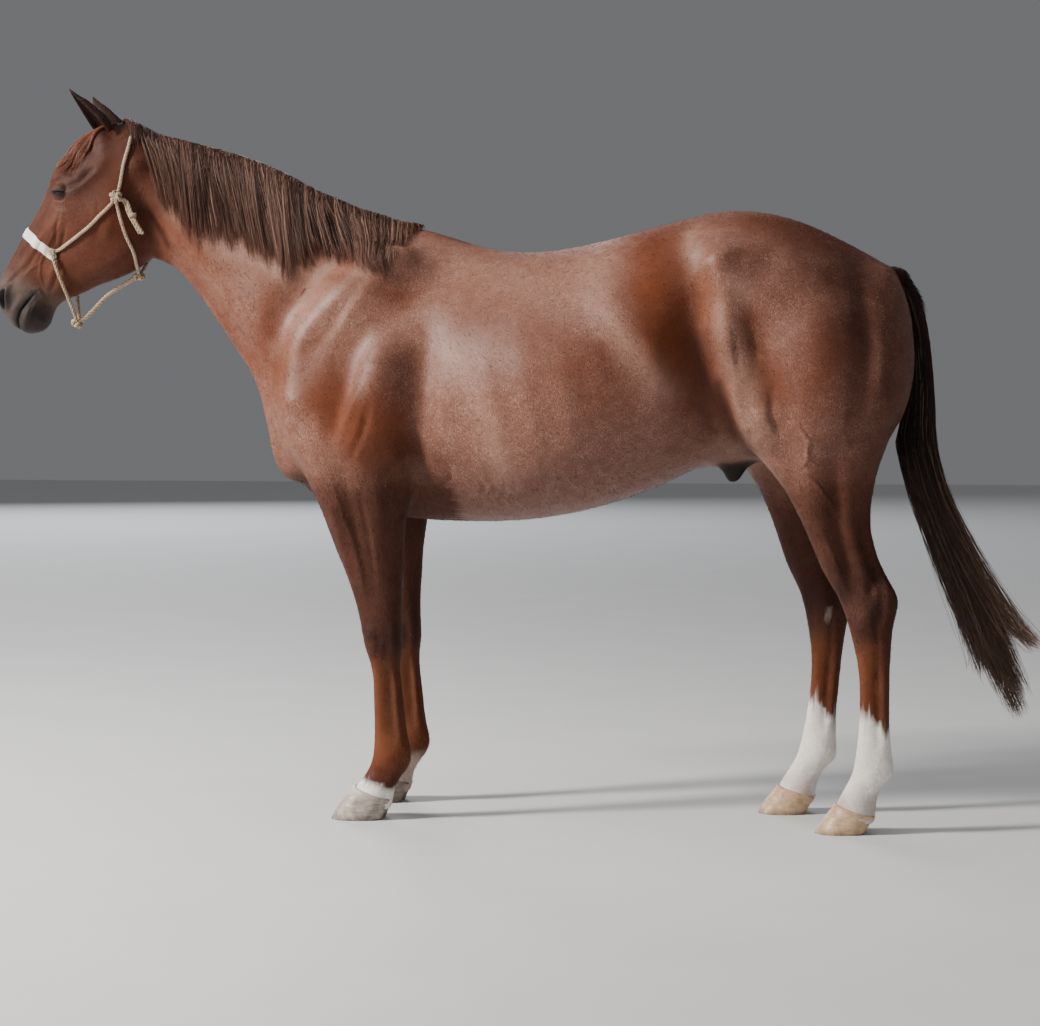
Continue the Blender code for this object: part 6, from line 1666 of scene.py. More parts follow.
def coat(skin):
    """Short tufts all over, lying along the body, each in the colour of the coat at its root."""
    mesh = skin.data
    count = len(mesh.polygons)
    tri = np.zeros(count * 3, np.int32)
    mesh.polygons.foreach_get("vertices", tri)
    tri = tri.reshape(-1, 3)
    co, nor = points_of(mesh), normals_of(mesh)
    a, b, c = co[tri[:, 0]], co[tri[:, 1]], co[tri[:, 2]]
    area = np.linalg.norm(np.cross(b - a, c - a), axis=1) / 2
    weight = area * tuft_density((a + b + c) / 3, unit(nor[tri].mean(1)))
    pick = CHANCE.choice(count, TUFTS, p=weight / weight.sum())
    r = CHANCE.uniform(0, 1, (2, TUFTS))
    flip = r.sum(0) > 1
    r[:, flip] = 1 - r[:, flip]
    share = np.stack([1 - r[0] - r[1], r[0], r[1]], 1)[..., None]
    p = (co[tri[pick]] * share).sum(1)
    normal = unit((nor[tri[pick]] * share).sum(1))
    x, z = p[:, 0], p[:, 2]
    along, out = head_axes(p)
    head = on_head(along, x, z, 0.0, 0.08)
    foot = 1 - ramp(z, 0.15, 0.75)
    size = (1 - 0.50 * head) * (1 - 0.38 * foot)
    feather = (z < 0.19) * (z > 0.09) * (normal[:, 0] > 0.1)
    jaw = head * (out < -0.10) * (normal[:, 2] < -0.2)
    length = TUFT_LENGTH * size * CHANCE.uniform(0.75, 1.25, TUFTS)
    length *= 1 + 0.8 * feather + 0.9 * jaw - 0.3 * on_ears(x, z)
    way = unit(lie_of_coat(p, normal) + 0.14 * CHANCE.normal(0, 1, (TUFTS, 3)))
    lift = (0.060 - 0.030 * head + 0.12 * feather + 0.12 * jaw) * CHANCE.uniform(0.7, 1.3, TUFTS)
    depth = COAT_DEPTH * (1 - 0.6 * head)
    lift = np.minimum(lift, depth * 1.25 / length * (1 + 2.5 * (feather + jaw)))
    root = p - normal * TUFT_ROOT
    middle = root + way * (length * 0.5)[:, None] + normal * (length * lift * 0.62 + 0.0003)[:, None]
    tip = root + way * length[:, None] + normal * (length * lift)[:, None]
    paths = np.stack([root, middle, tip], 1)
    colour, white = markings(p)
    pale = CHANCE.uniform(0, 1, TUFTS) < 0.30 * white
    colour = colour * CHANCE.uniform(0.86, 1.12, TUFTS)[:, None]
    colour += (np.array(PALE_ROAN_AND_HIGHLIGHT) - colour) * (0.20 * white)[:, None]
    colour = np.where(pale[:, None], colour * 0.70 + np.array(WHITE_HAIR) * 0.35, colour)
    # each tuft painted lighter towards its tip, painted light
    tone = colour[:, None] * np.array(TUFT_PAINTED_LIGHT)[None, :, None]
    half = TUFT_HALF * size * CHANCE.uniform(0.7, 1.2, TUFTS)
    half = np.array((0.7, 1.0)) * half[:, None]
    uv = np.clip(skin_uv(p, normal), 0.001, 0.996)
    pieces = []
    for k in range(0, TUFTS, TUFTS_PER_PIECE):
        part = slice(k, k + TUFTS_PER_PIECE)
        pieces.append(hairs(f"coat_{k // TUFTS_PER_PIECE + 1}", paths[part], half[part], 0.35, normal[part],
                            tone[part], uv[part]))
    return pieces


# ---------------------------------------------------------------- hooves, eyes and halter
# toe and heel at the ground (x), front and rear of the coronet (x, z), half widths at top and sole
HOOVES = {
    "fore": (-0.394, -0.256, (-0.334, 0.082), (-0.237, 0.047), 0.052, 0.063),
    "hind": (0.797, 0.924, (0.849, 0.070), (0.946, 0.041), 0.050, 0.058),
}
# distance of the hooves from the plane of symmetry, and rings down and points round each wall
HOOF_Y = 0.144
HOOF_RINGS = 30
HOOF_SIDES = 72
# how far in and up the sole's rings lie, from the wall to the hollow
SOLE = [(0.0065, 0.0), (0.0085, 0.0040), (0.022, 0.0055)]


def hoof(leg, side, word):
    """A hoof with growth rings, a soft coronet, heel bulbs and a hollow sole."""
    toe, heel, front, rear, top_half, sole_half = HOOVES[leg]
    shift = float((fore_pose(side) if leg == "fore" else hind_pose(side))(np.array([0.06]))[0])
    angle = np.linspace(0, 2 * np.pi, HOOF_SIDES, endpoint=False)
    c, s = np.cos(angle), np.sin(angle)

    def ring_at(t, inset, rise=0.0):
        """A ring at a share t of the way down the wall, set in and raised by that much."""
        x0 = front[0] + (toe - front[0]) * t + inset
        x1 = rear[0] + (heel - rear[0]) * t - inset
        half = top_half + (sole_half - top_half) * t - inset
        x = (x0 + x1) / 2 - (x1 - x0) / 2 * np.sign(c) * np.abs(c) ** 0.9
        x = x - 0.011 * bell(s, 0.28) * (c < 0)
        y = half * np.sign(s) * np.abs(s) ** 0.86 * (1 - 0.12 * (1 - c) / 2)
        across = (x - front[0]) / (rear[0] - front[0])
        z = (front[1] + (rear[1] - front[1]) * across) * (1 - t) + rise
        return np.stack([x + shift, side * HOOF_Y + y, np.maximum(z, 0.0)], 1)
    rings = [ring_at(0.0, 0.010, -0.004), ring_at(0.0, 0.003, 0.0015)]
    for k in range(HOOF_RINGS):
        t = k / (HOOF_RINGS - 1)
        coronet = 0.0022 * math.exp(-((t - 0.07) / 0.06) ** 2)
        waves = 0.00042 * math.sin(t * 34 + 2 * math.sin(t * 5)) * min(1, t * 6) * min(1, (1 - t) * 9)
        chip = 0.0012 * max(0.0, (t - 0.93) / 0.07)
        wear = 0.0006 * np.sin(angle * 5 + (1 if side < 0 else 4)) * max(0.0, (t - 0.85) / 0.15)
        worn = np.stack([wear * c * -1, -wear * s, wear * 0], 1)
        rings.append(ring_at(t, -coronet - waves + chip + 0.0002) - worn)
    rings += [ring_at(1.0, inset, rise) for inset, rise in SOLE]
    piece = outward(loft(f"hoof_wall_{leg}_{word}", [[tuple(p) for p in ring] for ring in rings]))
    co = points_of(piece.data)
    reach = np.clip(co[:, 2] / 0.08, 0, 1)
    front_share = ramp(-(co[:, 0] - (toe + heel) / 2 - shift), -0.06, 0.06)
    store_colour(piece.data, "along", np.stack([reach, front_share, np.zeros(len(co)), np.ones(len(co))], 1))
    return piece


def eyeball(side, word):
    """A dark, wet ball; its iris and wide pupil are in the material."""
    bpy.ops.mesh.primitive_uv_sphere_add(segments=64, ring_count=40, radius=EYE_RADIUS)
    piece = bpy.context.object
    piece.name = "eyeball_" + word
    ahead, up, out = eye_axes(side)
    co = points_of(piece.data)
    bulge = 0.0012 * bell(co[:, 2] / EYE_RADIUS - 1, 0.22)
    local = np.concatenate([co / EYE_RADIUS, np.ones((len(co), 1))], 1)
    store_colour(piece.data, "ball", local * (0.5, 0.5, 0.5, 1) + (0.5, 0.5, 0.5, 0))
    co = co * (1 + bulge / EYE_RADIUS)[:, None]
    world = eye_place(side) + co[:, :1] * ahead + co[:, 1:2] * up + co[:, 2:] * out
    move_points(piece.data, world)
    if side > 0:
        piece.data.flip_normals()
    piece.data.shade_smooth()
    return piece


# the rope's half thickness, how high its middle lies over the skin, and the steps along it
ROPE = 0.0046
ROPE_LIFT = ROPE + 0.0008
ROPE_STEP = 0.0016
# strands of the rope, and the length in which they wind once round, for its half thickness
ROPE_STRANDS = 3
ROPE_LAY = 6.5
# places of the halter, (along, out) from the poll, and for the chin rope and the tag also how far
# from the plane of symmetry
CHEEK_KNOT = (0.172, -0.119)
NOSE_KNOT = (0.379, -0.026)
CROWN_ROPE = [(0.150, -0.114), (0.100, -0.097), (0.044, -0.077), (0.005, -0.058)]
CHEEK_ROPE = [(0.366, -0.040), (0.306, -0.075), (0.251, -0.102), (0.198, -0.117)]
NOSEBAND = [(0.392, -0.040), (0.384, -0.010), (0.381, 0.030), (0.376, 0.068)]
NOSEBAND_WIDTH = 0.027
NOSEBAND_CELLS = 16
THROAT_ROPE = [(0.190, -0.132), (0.239, -0.178), (0.270, -0.212)]
THROAT_KNOT = (0.325, -0.238)
CHIN_ROPE = [(0.393, -0.040, 0.066), (0.420, -0.066, 0.058), (0.460, -0.108, 0.036),
             (0.500, -0.146, 0.012)]
FIADOR_KNOT = (0.512, -0.153)
FIADOR_ROPE = [(0.494, -0.164), (0.462, -0.175), (0.410, -0.190), (0.350, -0.222)]
TAG_END = [(0.168, -0.150, 0.098), (0.190, -0.180, 0.100), (0.217, -0.226, 0.096)]


def smooth_line(points, step):
    """A smooth curve through the points, in even steps."""
    p = np.array(points, float)
    p = np.concatenate([[2 * p[0] - p[1]], p, [2 * p[-1] - p[-2]]])
    out = []
    for i in range(1, len(p) - 2):
        for t in np.linspace(0, 1, 16, endpoint=False):
            a, b, c, d = p[i - 1], p[i], p[i + 1], p[i + 2]
            out.append(0.5 * (2 * b + (c - a) * t + (2 * a - 5 * b + 4 * c - d) * t * t
                              + (3 * b - a - 3 * c + d) * t ** 3))
    out.append(p[-2])
    out = np.array(out)
    length = np.linalg.norm(np.diff(out, axis=0), axis=1).sum()
    return even(out, max(int(length / step), 6))


def frames_along(path):
    """Two directions square to the path, carried along it without a twist."""
    tangent = unit(np.gradient(path, axis=0))
    a = np.cross(tangent[0], (0.0, 0.0, 1.0) if abs(tangent[0][2]) < 0.9 else (1.0, 0.0, 0.0))
    sides = []
    for t in tangent:
        a = a - t * np.dot(a, t)
        a = a / np.linalg.norm(a)
        sides.append(a)
    sides = np.array(sides)
    return sides, np.cross(tangent, sides)


def twisted(name, path, radius, sides=7):
    """A laid rope: strands that wind round one another, all in one mesh."""
    path = np.array(path)
    a, b = frames_along(path)
    run = np.concatenate([[0], np.cumsum(np.linalg.norm(np.diff(path, axis=0), axis=1))])
    thick = np.full(len(path), radius * 0.50)
    thick[[0, -1]] *= 0.6
    around = np.linspace(0, 2 * math.pi, sides, endpoint=False)
    tubes = []
    for k in range(ROPE_STRANDS):
        turn = 2 * np.pi * (run / (radius * ROPE_LAY) + k / ROPE_STRANDS)
        centre = path + (a * np.cos(turn)[:, None] + b * np.sin(turn)[:, None]) * radius * 0.54
        tubes.append(loft(name, [[tuple(p + (c * math.cos(w) + d * math.sin(w)) * half) for w in around]
                                 for p, c, d, half in zip(centre, *frames_along(centre), thick)]))
    return outward(gathered(name, tubes))


def joined(name, pieces):
    """Several meshes as one smooth piece."""
    piece = gathered(name, pieces)
    piece.data.shade_smooth()
    return piece


def on_flank(tree, spot, side, lift):
    """A place on one side of the head, lifted off the skin."""
    x, z = head_point(*spot)
    hit, normal, _, _ = tree.ray_cast(Vector((x, side * 0.8, z)), Vector((0, -side, 0)))
    if hit is None:
        hit, normal, _, _ = tree.find_nearest(Vector((x, side * 0.06, z)))
    return np.array(hit) + np.array(normal) * lift


def along_flank(tree, line, count, side, lift=ROPE_LIFT):
    """Evenly spread places of a line on one side of the head."""
    return [on_flank(tree, spot, side, lift) for spot in even(line, count)]


def hanging(along, out, y):
    """A place of the head's axes at a distance from the plane of symmetry."""
    x, z = head_point(along, out)
    return np.array((x, y, z))


def knot(name, place, out, ahead, size, radius):
    """A tight knot: one rope wound over and under itself."""
    out = np.array(out) / np.linalg.norm(out)
    ahead = np.array(ahead) - out * np.dot(ahead, out)
    ahead /= np.linalg.norm(ahead)
    up = np.cross(out, ahead)
    t = np.linspace(0, 2 * np.pi, 90)
    loops = []
    for turn, tall in ((0.0, 1.0), (1.1, 0.8)):
        a = size * (np.sin(t) + 0.95 * np.sin(2 * t)) * 0.46
        b = size * (np.cos(t) - 0.95 * np.cos(2 * t)) * 0.46 * tall
        h = -size * np.sin(3 * t) * 0.34 + size * 0.20
        c, s = math.cos(turn), math.sin(turn)
        path = place + (a * c - b * s)[:, None] * ahead + (a * s + b * c)[:, None] * up + h[:, None] * out
        loops.append(twisted(name + " loop", path, radius, sides=6))
    return joined(name, loops)


def halter(tree):
    """The halter: laid ropes, tied at the cheeks, under the jaw and at the chin, and a woven noseband."""
    made = {}

    def rope(name, line, radius=ROPE):
        return twisted(name, smooth_line(line, ROPE_STEP), radius)
    for side, word in SIDES:
        cheek = on_flank(tree, CHEEK_KNOT, side, 0.0085)
        nose = on_flank(tree, NOSE_KNOT, side, 0.0050)
        out = (0.0, side, 0.0)
        made["cheek_rope_" + word] = rope("rope_cheek_" + word,
                                          [nose] + along_flank(tree, CHEEK_ROPE, 6, side) + [cheek])
        line = [cheek] + along_flank(tree, THROAT_ROPE, 4, side)
        line += [nearest(tree, hanging(0.305, -0.240, side * 0.040), 0.006)[0], hanging(*THROAT_KNOT, 0.0)]
        made["throat_rope_" + word] = rope("rope_throat_" + word, line)
        line = [nose] + [hanging(a, b, side * y) for a, b, y in CHIN_ROPE]
        made["chin_rope_" + word] = rope("rope_chin_" + word, line + [hanging(*FIADOR_KNOT, side * 0.002)])
        tie = [knot("tie", cheek, out, DOWN_FACE, 0.0150, ROPE)]
        if side < 0:
            # the rope's two ends hang from the near cheek, wrapped together halfway
            for shift in (0.0, 0.008):
                ends = [hanging(a + shift * 0.4, b + shift, side * (y - shift * 0.3)) for a, b, y in TAG_END]
                tie.append(rope("tag", [cheek] + ends, ROPE * 0.95))
            wrap = hanging(*TAG_END[1][:2], side * TAG_END[1][2])
            t = np.linspace(0, 1, 60)
            ring = np.array([wrap + np.array((math.cos(w) * 0.0078, math.sin(w) * 0.0070, 0.010 * (f - 0.5)))
                             for f, w in zip(t, t * 2 * math.pi * 2.2)])
            tie.append(twisted("wrap", ring, ROPE * 0.6, sides=5))
        made["cheek_knot_" + word] = joined("tie_cheek_" + word, tie)
        made["nose_knot_" + word] = knot("tie_nose_" + word, nose, out, DOWN_FACE, 0.0085, ROPE * 0.9)
    made["fiador_knot"] = knot("tie_chin", hanging(*FIADOR_KNOT, 0.0), DOWN_FACE, SIDEWAYS, 0.0135, ROPE)
    made["throat_knot"] = knot("tie_throat", hanging(*THROAT_KNOT, 0.0), (0, 0, -1), SIDEWAYS, 0.0135, ROPE)
    under = [FIADOR_KNOT] + FIADOR_ROPE + [THROAT_KNOT]
    made["fiador_rope"] = joined("rope_under", [rope("pair", [hanging(a, b, y) for a, b in under])
                                                for y in (-0.0044, 0.0044)])
    near, far = (along_flank(tree, [CHEEK_KNOT] + CROWN_ROPE, 8, side) for side in (-1, 1))
    over = [nearest(tree, (-0.925, y, 1.80), ROPE_LIFT)[0] for y in (-0.035, 0.0, 0.035)]
    made["crown_rope"] = rope("rope_crown", near + over + far[::-1])
    made["noseband"] = noseband(tree)
    return made


def noseband(tree):
    """A flat band woven in two rows of stitches, over the nose from cheek to cheek."""
    near, far = (along_flank(tree, NOSEBAND, 7, side, 0.0) for side in (-1, 1))
    top = [nearest(tree, hanging(0.374, 0.12, y))[0] for y in (-0.026, -0.013, 0.0, 0.013, 0.026)]
    path = smooth_line(near + top + far[::-1], 0.0026)
    along = unit(np.gradient(path, axis=0))
    wide = np.array(DOWN_FACE)
    wide = unit(wide - along * (along @ wide)[:, None])
    run = np.linspace(0, 1, len(path))
    rows = []
    for i, p in enumerate(path):
        half = NOSEBAND_WIDTH / 2 * (1 - 0.45 * max(0, 1 - min(run[i], 1 - run[i]) / 0.06))
        face, back = [], []
        for k in range(NOSEBAND_CELLS + 1):
            f = k / NOSEBAND_CELLS * 2 - 1
            spot = p + wide[i] * half * f
            plait = 0.0006 * abs(math.sin(math.pi * (i / 3 + (k / 2.0)))) + 0.0004 * math.cos(f * math.pi * 4)
            height = 0.0034 * (1 - 0.55 * abs(f) ** 6) + plait
            face.append(tuple(nearest(tree, spot, height)[0]))
            back.append(tuple(nearest(tree, spot, 0.0006)[0]))
        rows.append(face + back[::-1])
    return outward(loft("band_nose", rows))


# ---------------------------------------------------------------- materials
def material(name, roughness=0.5):
    """A new material, its node tree and its shader."""
    mat = bpy.data.materials.new(name)
    mat.use_nodes = True
    shader = mat.node_tree.nodes["Principled BSDF"]
    shader.inputs["Roughness"].default_value = roughness
    return mat, mat.node_tree, shader


def node(tree, kind, **values):
    """A node with its inputs set to numbers or linked to other nodes' outputs."""
    made = tree.nodes.new("ShaderNode" + kind)
    for key, value in values.items():
        if hasattr(made, key) and key.islower():
            setattr(made, key, value)
            continue
        socket = made.inputs[int(key[1:])] if key[0] == "i" and key[1:].isdigit() else made.inputs[key]
        if isinstance(value, bpy.types.NodeSocket):
            tree.links.new(value, socket)
        else:
            socket.default_value = value
    return made


EVENLY = (1, 1, 1)


def places(tree, scale):
    """Places on the object, stretched by a factor per axis."""
    coords = node(tree, "TexCoord")
    return node(tree, "Mapping", Vector=coords.outputs["Object"], Scale=scale).outputs[0]


def noise(tree, stretch, scale, detail, roughness=0.5):
    """Smooth noise, 0 to 1, on the object's own axes."""
    return node(tree, "TexNoise", Vector=places(tree, stretch), Scale=scale, Detail=detail,
                Roughness=roughness).outputs["Fac"]


def ranged(tree, value, a, b, c, d):
    """The value taken from the range a to b onto c to d."""
    ends = {"From Min": a, "From Max": b, "To Min": c, "To Max": d}
    return node(tree, "MapRange", Value=value, **ends).outputs[0]


def maths(tree, how, a, b=0.0):
    """A sum, product or other result of one or two values."""
    return node(tree, "Math", operation=how, i0=a, i1=b).outputs[0]


def mix(tree, share, a, b, how="MIX"):
    """Colour a turned into b by a share, or by another way of blending."""
    made = tree.nodes.new("ShaderNodeMix")
    made.data_type = "RGBA"
    made.blend_type = how
    for socket, value in ((made.inputs[0], share), (made.inputs[6], a), (made.inputs[7], b)):
        if isinstance(value, bpy.types.NodeSocket):
            tree.links.new(value, socket)
        else:
            socket.default_value = value
    return made.outputs[2]


def grey(tree, shade):
    """A value as a colour."""
    return node(tree, "CombineColor", Red=shade, Green=shade, Blue=shade).outputs[0]


def shaded(tree, shader, tone, shade):
    """Gives the shader its base colour, made darker and lighter by a shade."""
    tree.links.new(mix(tree, 1.0, tone, grey(tree, shade), "MULTIPLY"), shader.inputs["Base Color"])


def bump(tree, shader, height, strength, distance, after=None):
    """Raises the surface's shading by a height, over an earlier bump if there is one."""
    made = node(tree, "Bump", Height=height, Strength=strength, Distance=distance)
    if after is not None:
        tree.links.new(after, made.inputs["Normal"])
    tree.links.new(made.outputs[0], shader.inputs["Normal"])
    return made.outputs[0]


def coat_material():
    """Short roan coat: fine streaks of white hair among brown, running down the body."""
    mat, tree, shader = material("roan coat")
    layer = node(tree, "Attribute", attribute_name="coat")
    streaks = noise(tree, (1.0, 1.0, 0.42), 520, 4, 0.62)
    grains = noise(tree, (1.0, 1.0, 0.7), 1500, 2)
    cloud = noise(tree, EVENLY, 38, 4, 0.6)
    fleck = ranged(tree, streaks, 0.50, 0.60, 0.0, 1.0)
    fleck = maths(tree, "MULTIPLY", fleck, layer.outputs["Alpha"])
    fleck = maths(tree, "MULTIPLY", fleck, ranged(tree, cloud, 0.30, 0.70, 0.10, 0.50))
    tone = mix(tree, fleck, layer.outputs["Color"], (0.50, 0.36, 0.30, 1))
    dark = ranged(tree, streaks, 0.34, 0.46, 0.62, 1.0)
    shade = maths(tree, "MULTIPLY", dark, ranged(tree, cloud, 0.25, 0.75, 0.90, 1.12))
    shade = maths(tree, "MULTIPLY", shade, ranged(tree, grains, 0.3, 0.7, 0.90, 1.10))
    shaded(tree, shader, tone, shade)
    rough = ranged(tree, streaks, 0.3, 0.7, 0.38, 0.54)
    rough = maths(tree, "ADD", rough, ranged(tree, layer.outputs["Alpha"], 0.15, 0.75, 0.14, 0.0))
    tree.links.new(rough, shader.inputs["Roughness"])
    shine = ranged(tree, layer.outputs["Alpha"], 0.15, 0.75, 0.12, 0.31)
    tree.links.new(shine, shader.inputs["Specular IOR Level"])
    first = bump(tree, shader, streaks, 0.40, 0.0012)
    bump(tree, shader, grains, 0.25, 0.0005, first)
    return mat


def hair_material(name, roughness):
    """Hair in the colour of its own strands, darker and lighter along them."""
    mat, tree, shader = material(name)
    layer = node(tree, "Attribute", attribute_name="coat")
    streaks = noise(tree, (1, 1, 0.35), 900, 3)
    shade = ranged(tree, streaks, 0.3, 0.7, 0.86, 1.12)
    shaded(tree, shader, layer.outputs["Color"], shade)
    rough = ranged(tree, streaks, 0.3, 0.7, roughness - 0.06, roughness + 0.10)
    tree.links.new(rough, shader.inputs["Roughness"])
    shader.inputs["Specular IOR Level"].default_value = 0.30
    bump(tree, shader, streaks, 0.15, 0.0004)
    return mat


def felt_material(name, colour):
    """Hair too dense to part, streaked down its length."""
    mat, tree, shader = material(name)
    streaks = noise(tree, (1.6, 1.6, 0.10), 330, 4, 0.6)
    shade = ranged(tree, streaks, 0.3, 0.7, 0.45, 1.35)
    shaded(tree, shader, (*colour, 1), shade)
    tree.links.new(ranged(tree, streaks, 0.3, 0.7, 0.45, 0.65), shader.inputs["Roughness"])
    bump(tree, shader, streaks, 0.8, 0.0025)
    return mat


def horn_material(name, pale, dark, band):
    """Hoof horn: growth rings, fine upright fibres, and dirt towards the ground."""
    mat, tree, shader = material(name)
    layer = node(tree, "Attribute", attribute_name="along")
    parts = node(tree, "SeparateColor", Color=layer.outputs["Color"])
    fibres = noise(tree, (1, 1, 0.10), 700, 3)
    rings = noise(tree, (0.25, 0.25, 2.2), 170, 3, 0.6)
    blotch = noise(tree, EVENLY, 55, 4, 0.6)
    share = maths(tree, "ADD", ranged(tree, rings, 0.35, 0.65, -0.22, 0.22),
                  ranged(tree, blotch, 0.3, 0.7, 0.10, 0.90))
    tone = mix(tree, node(tree, "Clamp", Value=share).outputs[0], (*pale, 1), (*dark, 1))
    top = ranged(tree, parts.outputs[0], 0.62, 0.95, 0.0, 0.8)
    tone = mix(tree, top, tone, (*band, 1))
    low = maths(tree, "MULTIPLY", ranged(tree, parts.outputs[0], 0.22, 0.0, 0.0, 0.75),
                ranged(tree, blotch, 0.3, 0.6, 0.4, 1.0))
    tone = mix(tree, low, tone, (0.10, 0.075, 0.055, 1))
    tree.links.new(tone, shader.inputs["Base Color"])
    tree.links.new(ranged(tree, blotch, 0.3, 0.7, 0.38, 0.66), shader.inputs["Roughness"])
    first = bump(tree, shader, rings, 0.35, 0.0010)
    bump(tree, shader, fibres, 0.22, 0.0006, first)
    return mat


def eye_material():
    """A nearly black horse's eye with a dark brown iris and a wide level pupil."""
    mat, tree, shader = material("eye", 0.05)
    layer = node(tree, "Attribute", attribute_name="ball")
    parts = node(tree, "SeparateColor", Color=layer.outputs["Color"])
    a = ranged(tree, parts.outputs[0], 0, 1, -1, 1)
    b = ranged(tree, parts.outputs[1], 0, 1, -1, 1)
    wide = maths(tree, "POWER", maths(tree, "ABSOLUTE", maths(tree, "DIVIDE", a, 0.50)), 2.4)
    tall = maths(tree, "POWER", maths(tree, "ABSOLUTE", maths(tree, "DIVIDE", b, 0.30)), 2.4)
    pupil = ranged(tree, maths(tree, "ADD", wide, tall), 0.75, 1.15, 1.0, 0.0)
    squares = maths(tree, "ADD", maths(tree, "MULTIPLY", a, a), maths(tree, "MULTIPLY", b, b))
    ring = maths(tree, "SQRT", squares)
    rays = noise(tree, EVENLY, 900, 3, 0.6)
    iris = ranged(tree, rays, 0.3, 0.7, 0.0, 1.0)
    iris = mix(tree, iris, (0.012, 0.005, 0.003, 1), (0.034, 0.014, 0.007, 1))
    tone = mix(tree, ranged(tree, ring, 0.80, 0.92, 0.0, 1.0), iris, (0.012, 0.008, 0.007, 1))
    tone = mix(tree, pupil, tone, (0.004, 0.004, 0.006, 1))
    tree.links.new(tone, shader.inputs["Base Color"])
    tree.links.new(ranged(tree, rays, 0.3, 0.7, 0.04, 0.09), shader.inputs["Roughness"])
    shader.inputs["Specular IOR Level"].default_value = 0.28
    shader.inputs["Coat Weight"].default_value = 0.15
    shader.inputs["Coat Roughness"].default_value = 0.03
    bump(tree, shader, rays, 0.03, 0.0003)
    return mat


def rope_material(name, colour, dirt, yarn_scale):
    """Laid yarn, darker where its bump is low, with patches of soil."""
    mat, tree, shader = material(name)
    yarn = noise(tree, EVENLY, yarn_scale, 4, 0.65)
    soil = noise(tree, EVENLY, 45, 4, 0.6)
    tone = mix(tree, ranged(tree, soil, 0.38, 0.72, 0.0, 0.65), (*colour, 1), (*dirt, 1))
    shade = ranged(tree, yarn, 0.3, 0.7, 0.72, 1.10)
    shaded(tree, shader, tone, shade)
    tree.links.new(ranged(tree, yarn, 0.3, 0.7, 0.72, 0.92), shader.inputs["Roughness"])
    bump(tree, shader, yarn, 0.5, 0.0006)
    return mat


# ---------------------------------------------------------------- assembly
def dress(piece, mat, slot, *nodes):
    """Gives a piece its material and its body, and hides the solids it stands for; slot is not used."""
    piece.data.materials.clear()
    piece.data.materials.append(mat)
    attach(piece, "root")
    if nodes:
        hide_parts(*nodes)


# name, place, size in metres, power in watts and colour
LAMPS = [
    ("key", (-5.8, -3.2, 4.4), 1.3, 1050, (1.0, 0.955, 0.90)),
    ("fill", (2.0, -5.8, 2.6), 4.0, 22, (0.90, 0.95, 1.0)),
    ("top", (-0.8, -0.6, 5.0), 4.0, 60, (1.0, 0.98, 0.95)),
    ("back", (-9.0, 18.0, 8.05), 8.0, 1520, (0.95, 0.97, 1.0)),
]
LAMPS_AIM = Vector((0.0, 0.0, 0.95))
SKY = (0.86, 0.88, 0.92, 1)
SKY_STRENGTH = 0.19


def studio():
    """A pale floor, soft lamps and an even sky."""
    bpy.ops.mesh.primitive_plane_add(size=60)
    floor = bpy.context.object
    floor.name = "floor"
    mat, tree, shader = material("floor", 0.7)
    speck = noise(tree, EVENLY, 3, 3)
    shade = ranged(tree, speck, 0.3, 0.7, 0.70, 0.73)
    tree.links.new(grey(tree, shade), shader.inputs["Base Color"])
    floor.data.materials.append(mat)
    for name, place, size, power, colour in LAMPS:
        lamp = bpy.data.lights.new(name, "AREA")
        lamp.size = size
        lamp.energy = power
        lamp.color = colour
        holder = new_object(name, lamp)
        holder.location = place
        holder.rotation_euler = (LAMPS_AIM - Vector(place)).to_track_quat("-Z", "Y").to_euler()
    world = bpy.data.worlds.new("studio")
    world.use_nodes = True
    background = world.node_tree.nodes["Background"]
    background.inputs["Color"].default_value = SKY
    background.inputs["Strength"].default_value = SKY_STRENGTH
    bpy.context.scene.world = world


# the camera's angle to the horse's side, how far it looks down, how far off and how high it stands,
# the place along the horse that it looks at, and its focal length in millimetres
YAW = math.radians(11)
PITCH = math.radians(2.228)
CAMERA_DISTANCE = 6.4
CAMERA_HEIGHT = 1.0
CAMERA_AIM_X = 0.053
LENS = 89.07


def camera():
    """The camera, placed as the photograph's was."""
    data = bpy.data.cameras.new("camera")
    data.lens = LENS
    data.sensor_width = 36
    obj = new_object("camera", data)
    ahead, aside = -math.cos(YAW) * CAMERA_DISTANCE, math.sin(YAW) * CAMERA_DISTANCE
    obj.location = (CAMERA_AIM_X + aside, ahead, CAMERA_HEIGHT)
    level = math.cos(PITCH)
    way = Vector((-math.sin(YAW) * level, math.cos(YAW) * level, -math.sin(PITCH)))
    obj.rotation_euler = way.to_track_quat("-Z", "Y").to_euler()
    bpy.context.scene.camera = obj


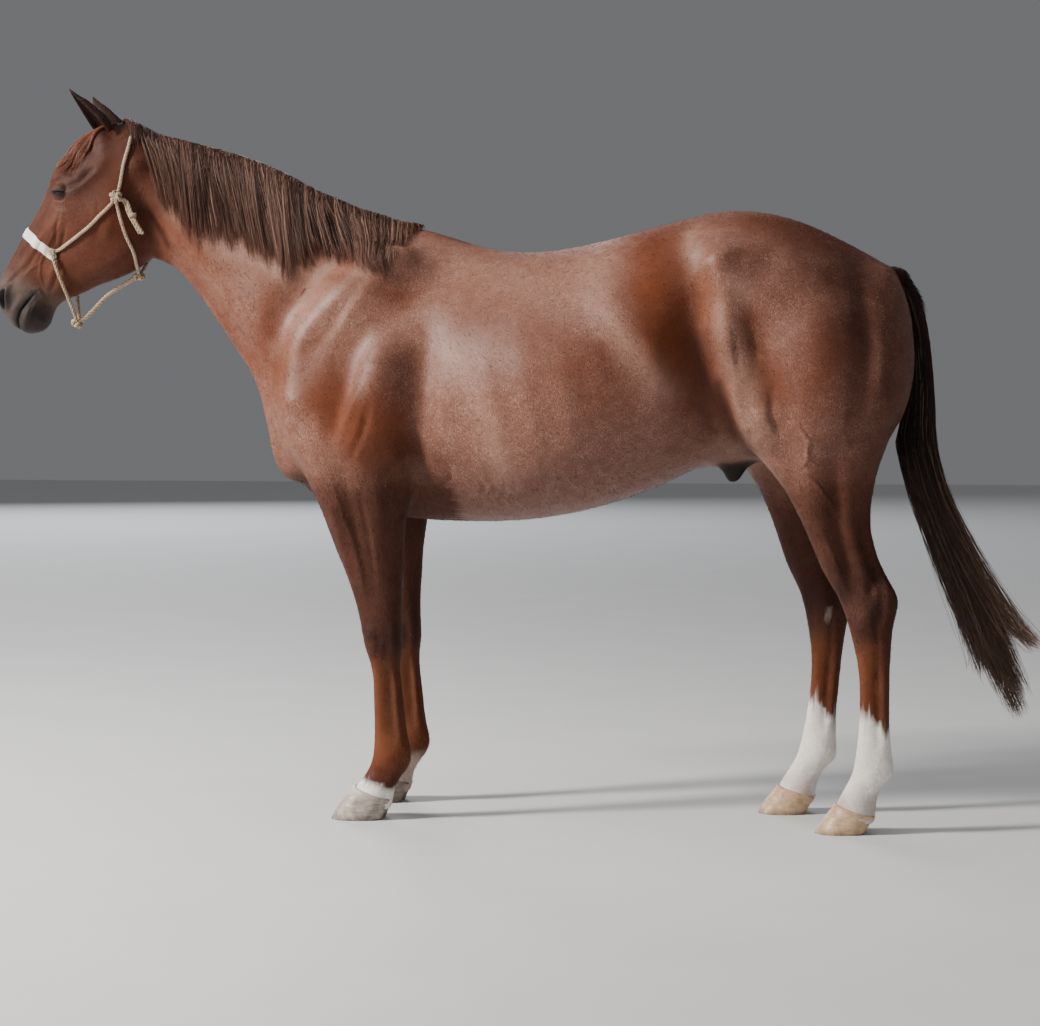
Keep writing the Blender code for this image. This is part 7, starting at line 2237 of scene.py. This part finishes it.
def build():
    """All pieces, each with its material, and the solids it stands for hidden."""
    skin, tree = build_skin()
    paint_skin(skin.data)
    coat_mat = coat_material()
    dress(skin, coat_mat, "coat_roan", "trunk", "neck", "head", "foreleg_left", "foreleg_right",
          "hindleg_left", "hindleg_right", "ear_left", "ear_right")
    tuft_mat = hair_material("tufts", 0.50)
    for piece in coat(skin):
        dress(piece, tuft_mat, "coat_roan")
    mane_mat = hair_material("mane hair", 0.42)
    for k, piece in enumerate(mane(tree)):
        dress(piece, mane_mat, "mane_hair", *(("mane",) if k == 0 else ()))
    dress(poll_hair(tree), mane_mat, "mane_hair")
    dress(mane_under(tree), felt_material("mane felt", MANE_DARK), "mane_hair")
    dress(forelock(tree), mane_mat, "mane_hair", "forelock")
    tail_mat = hair_material("tail hair", 0.38)
    first, second = tail()
    dress(first, tail_mat, "tail_hair", "tail")
    dress(second, tail_mat, "tail_hair")
    dress(dock_hair(), tail_mat, "tail_hair")
    dress(tail_under(), felt_material("tail felt", TAIL_DARK), "tail_hair")
    dress(lashes(), hair_material("lashes", 0.4), "mane_hair")
    white_horn = horn_material("white horn", (0.68, 0.48, 0.30), (0.40, 0.25, 0.14), (0.46, 0.22, 0.16))
    fore_horn = horn_material("striped horn", (0.52, 0.45, 0.37), (0.20, 0.17, 0.16), (0.62, 0.56, 0.50))
    dark_horn = horn_material("dark horn", (0.26, 0.20, 0.16), (0.13, 0.105, 0.090), (0.30, 0.25, 0.21))
    horns = {"hind": (white_horn, white_horn), "fore": (fore_horn, dark_horn)}
    eye_mat = eye_material()
    for side, word in SIDES:
        for leg in ("fore", "hind"):
            dress(hoof(leg, side, word), horns[leg][side > 0], "horn", f"hoof_{leg}_{word}")
        dress(eyeball(side, word), eye_mat, "eye", "eye_" + word)
    rope_mat = rope_material("laid rope", (0.50, 0.38, 0.26), (0.24, 0.16, 0.10), 1300)
    band_mat = rope_material("woven band", (0.88, 0.85, 0.80), (0.66, 0.60, 0.50), 1500)
    for name, piece in halter(tree).items():
        dress(piece, band_mat if name == "noseband" else rope_mat, "halter_rope", name)


build()
camera()
studio()
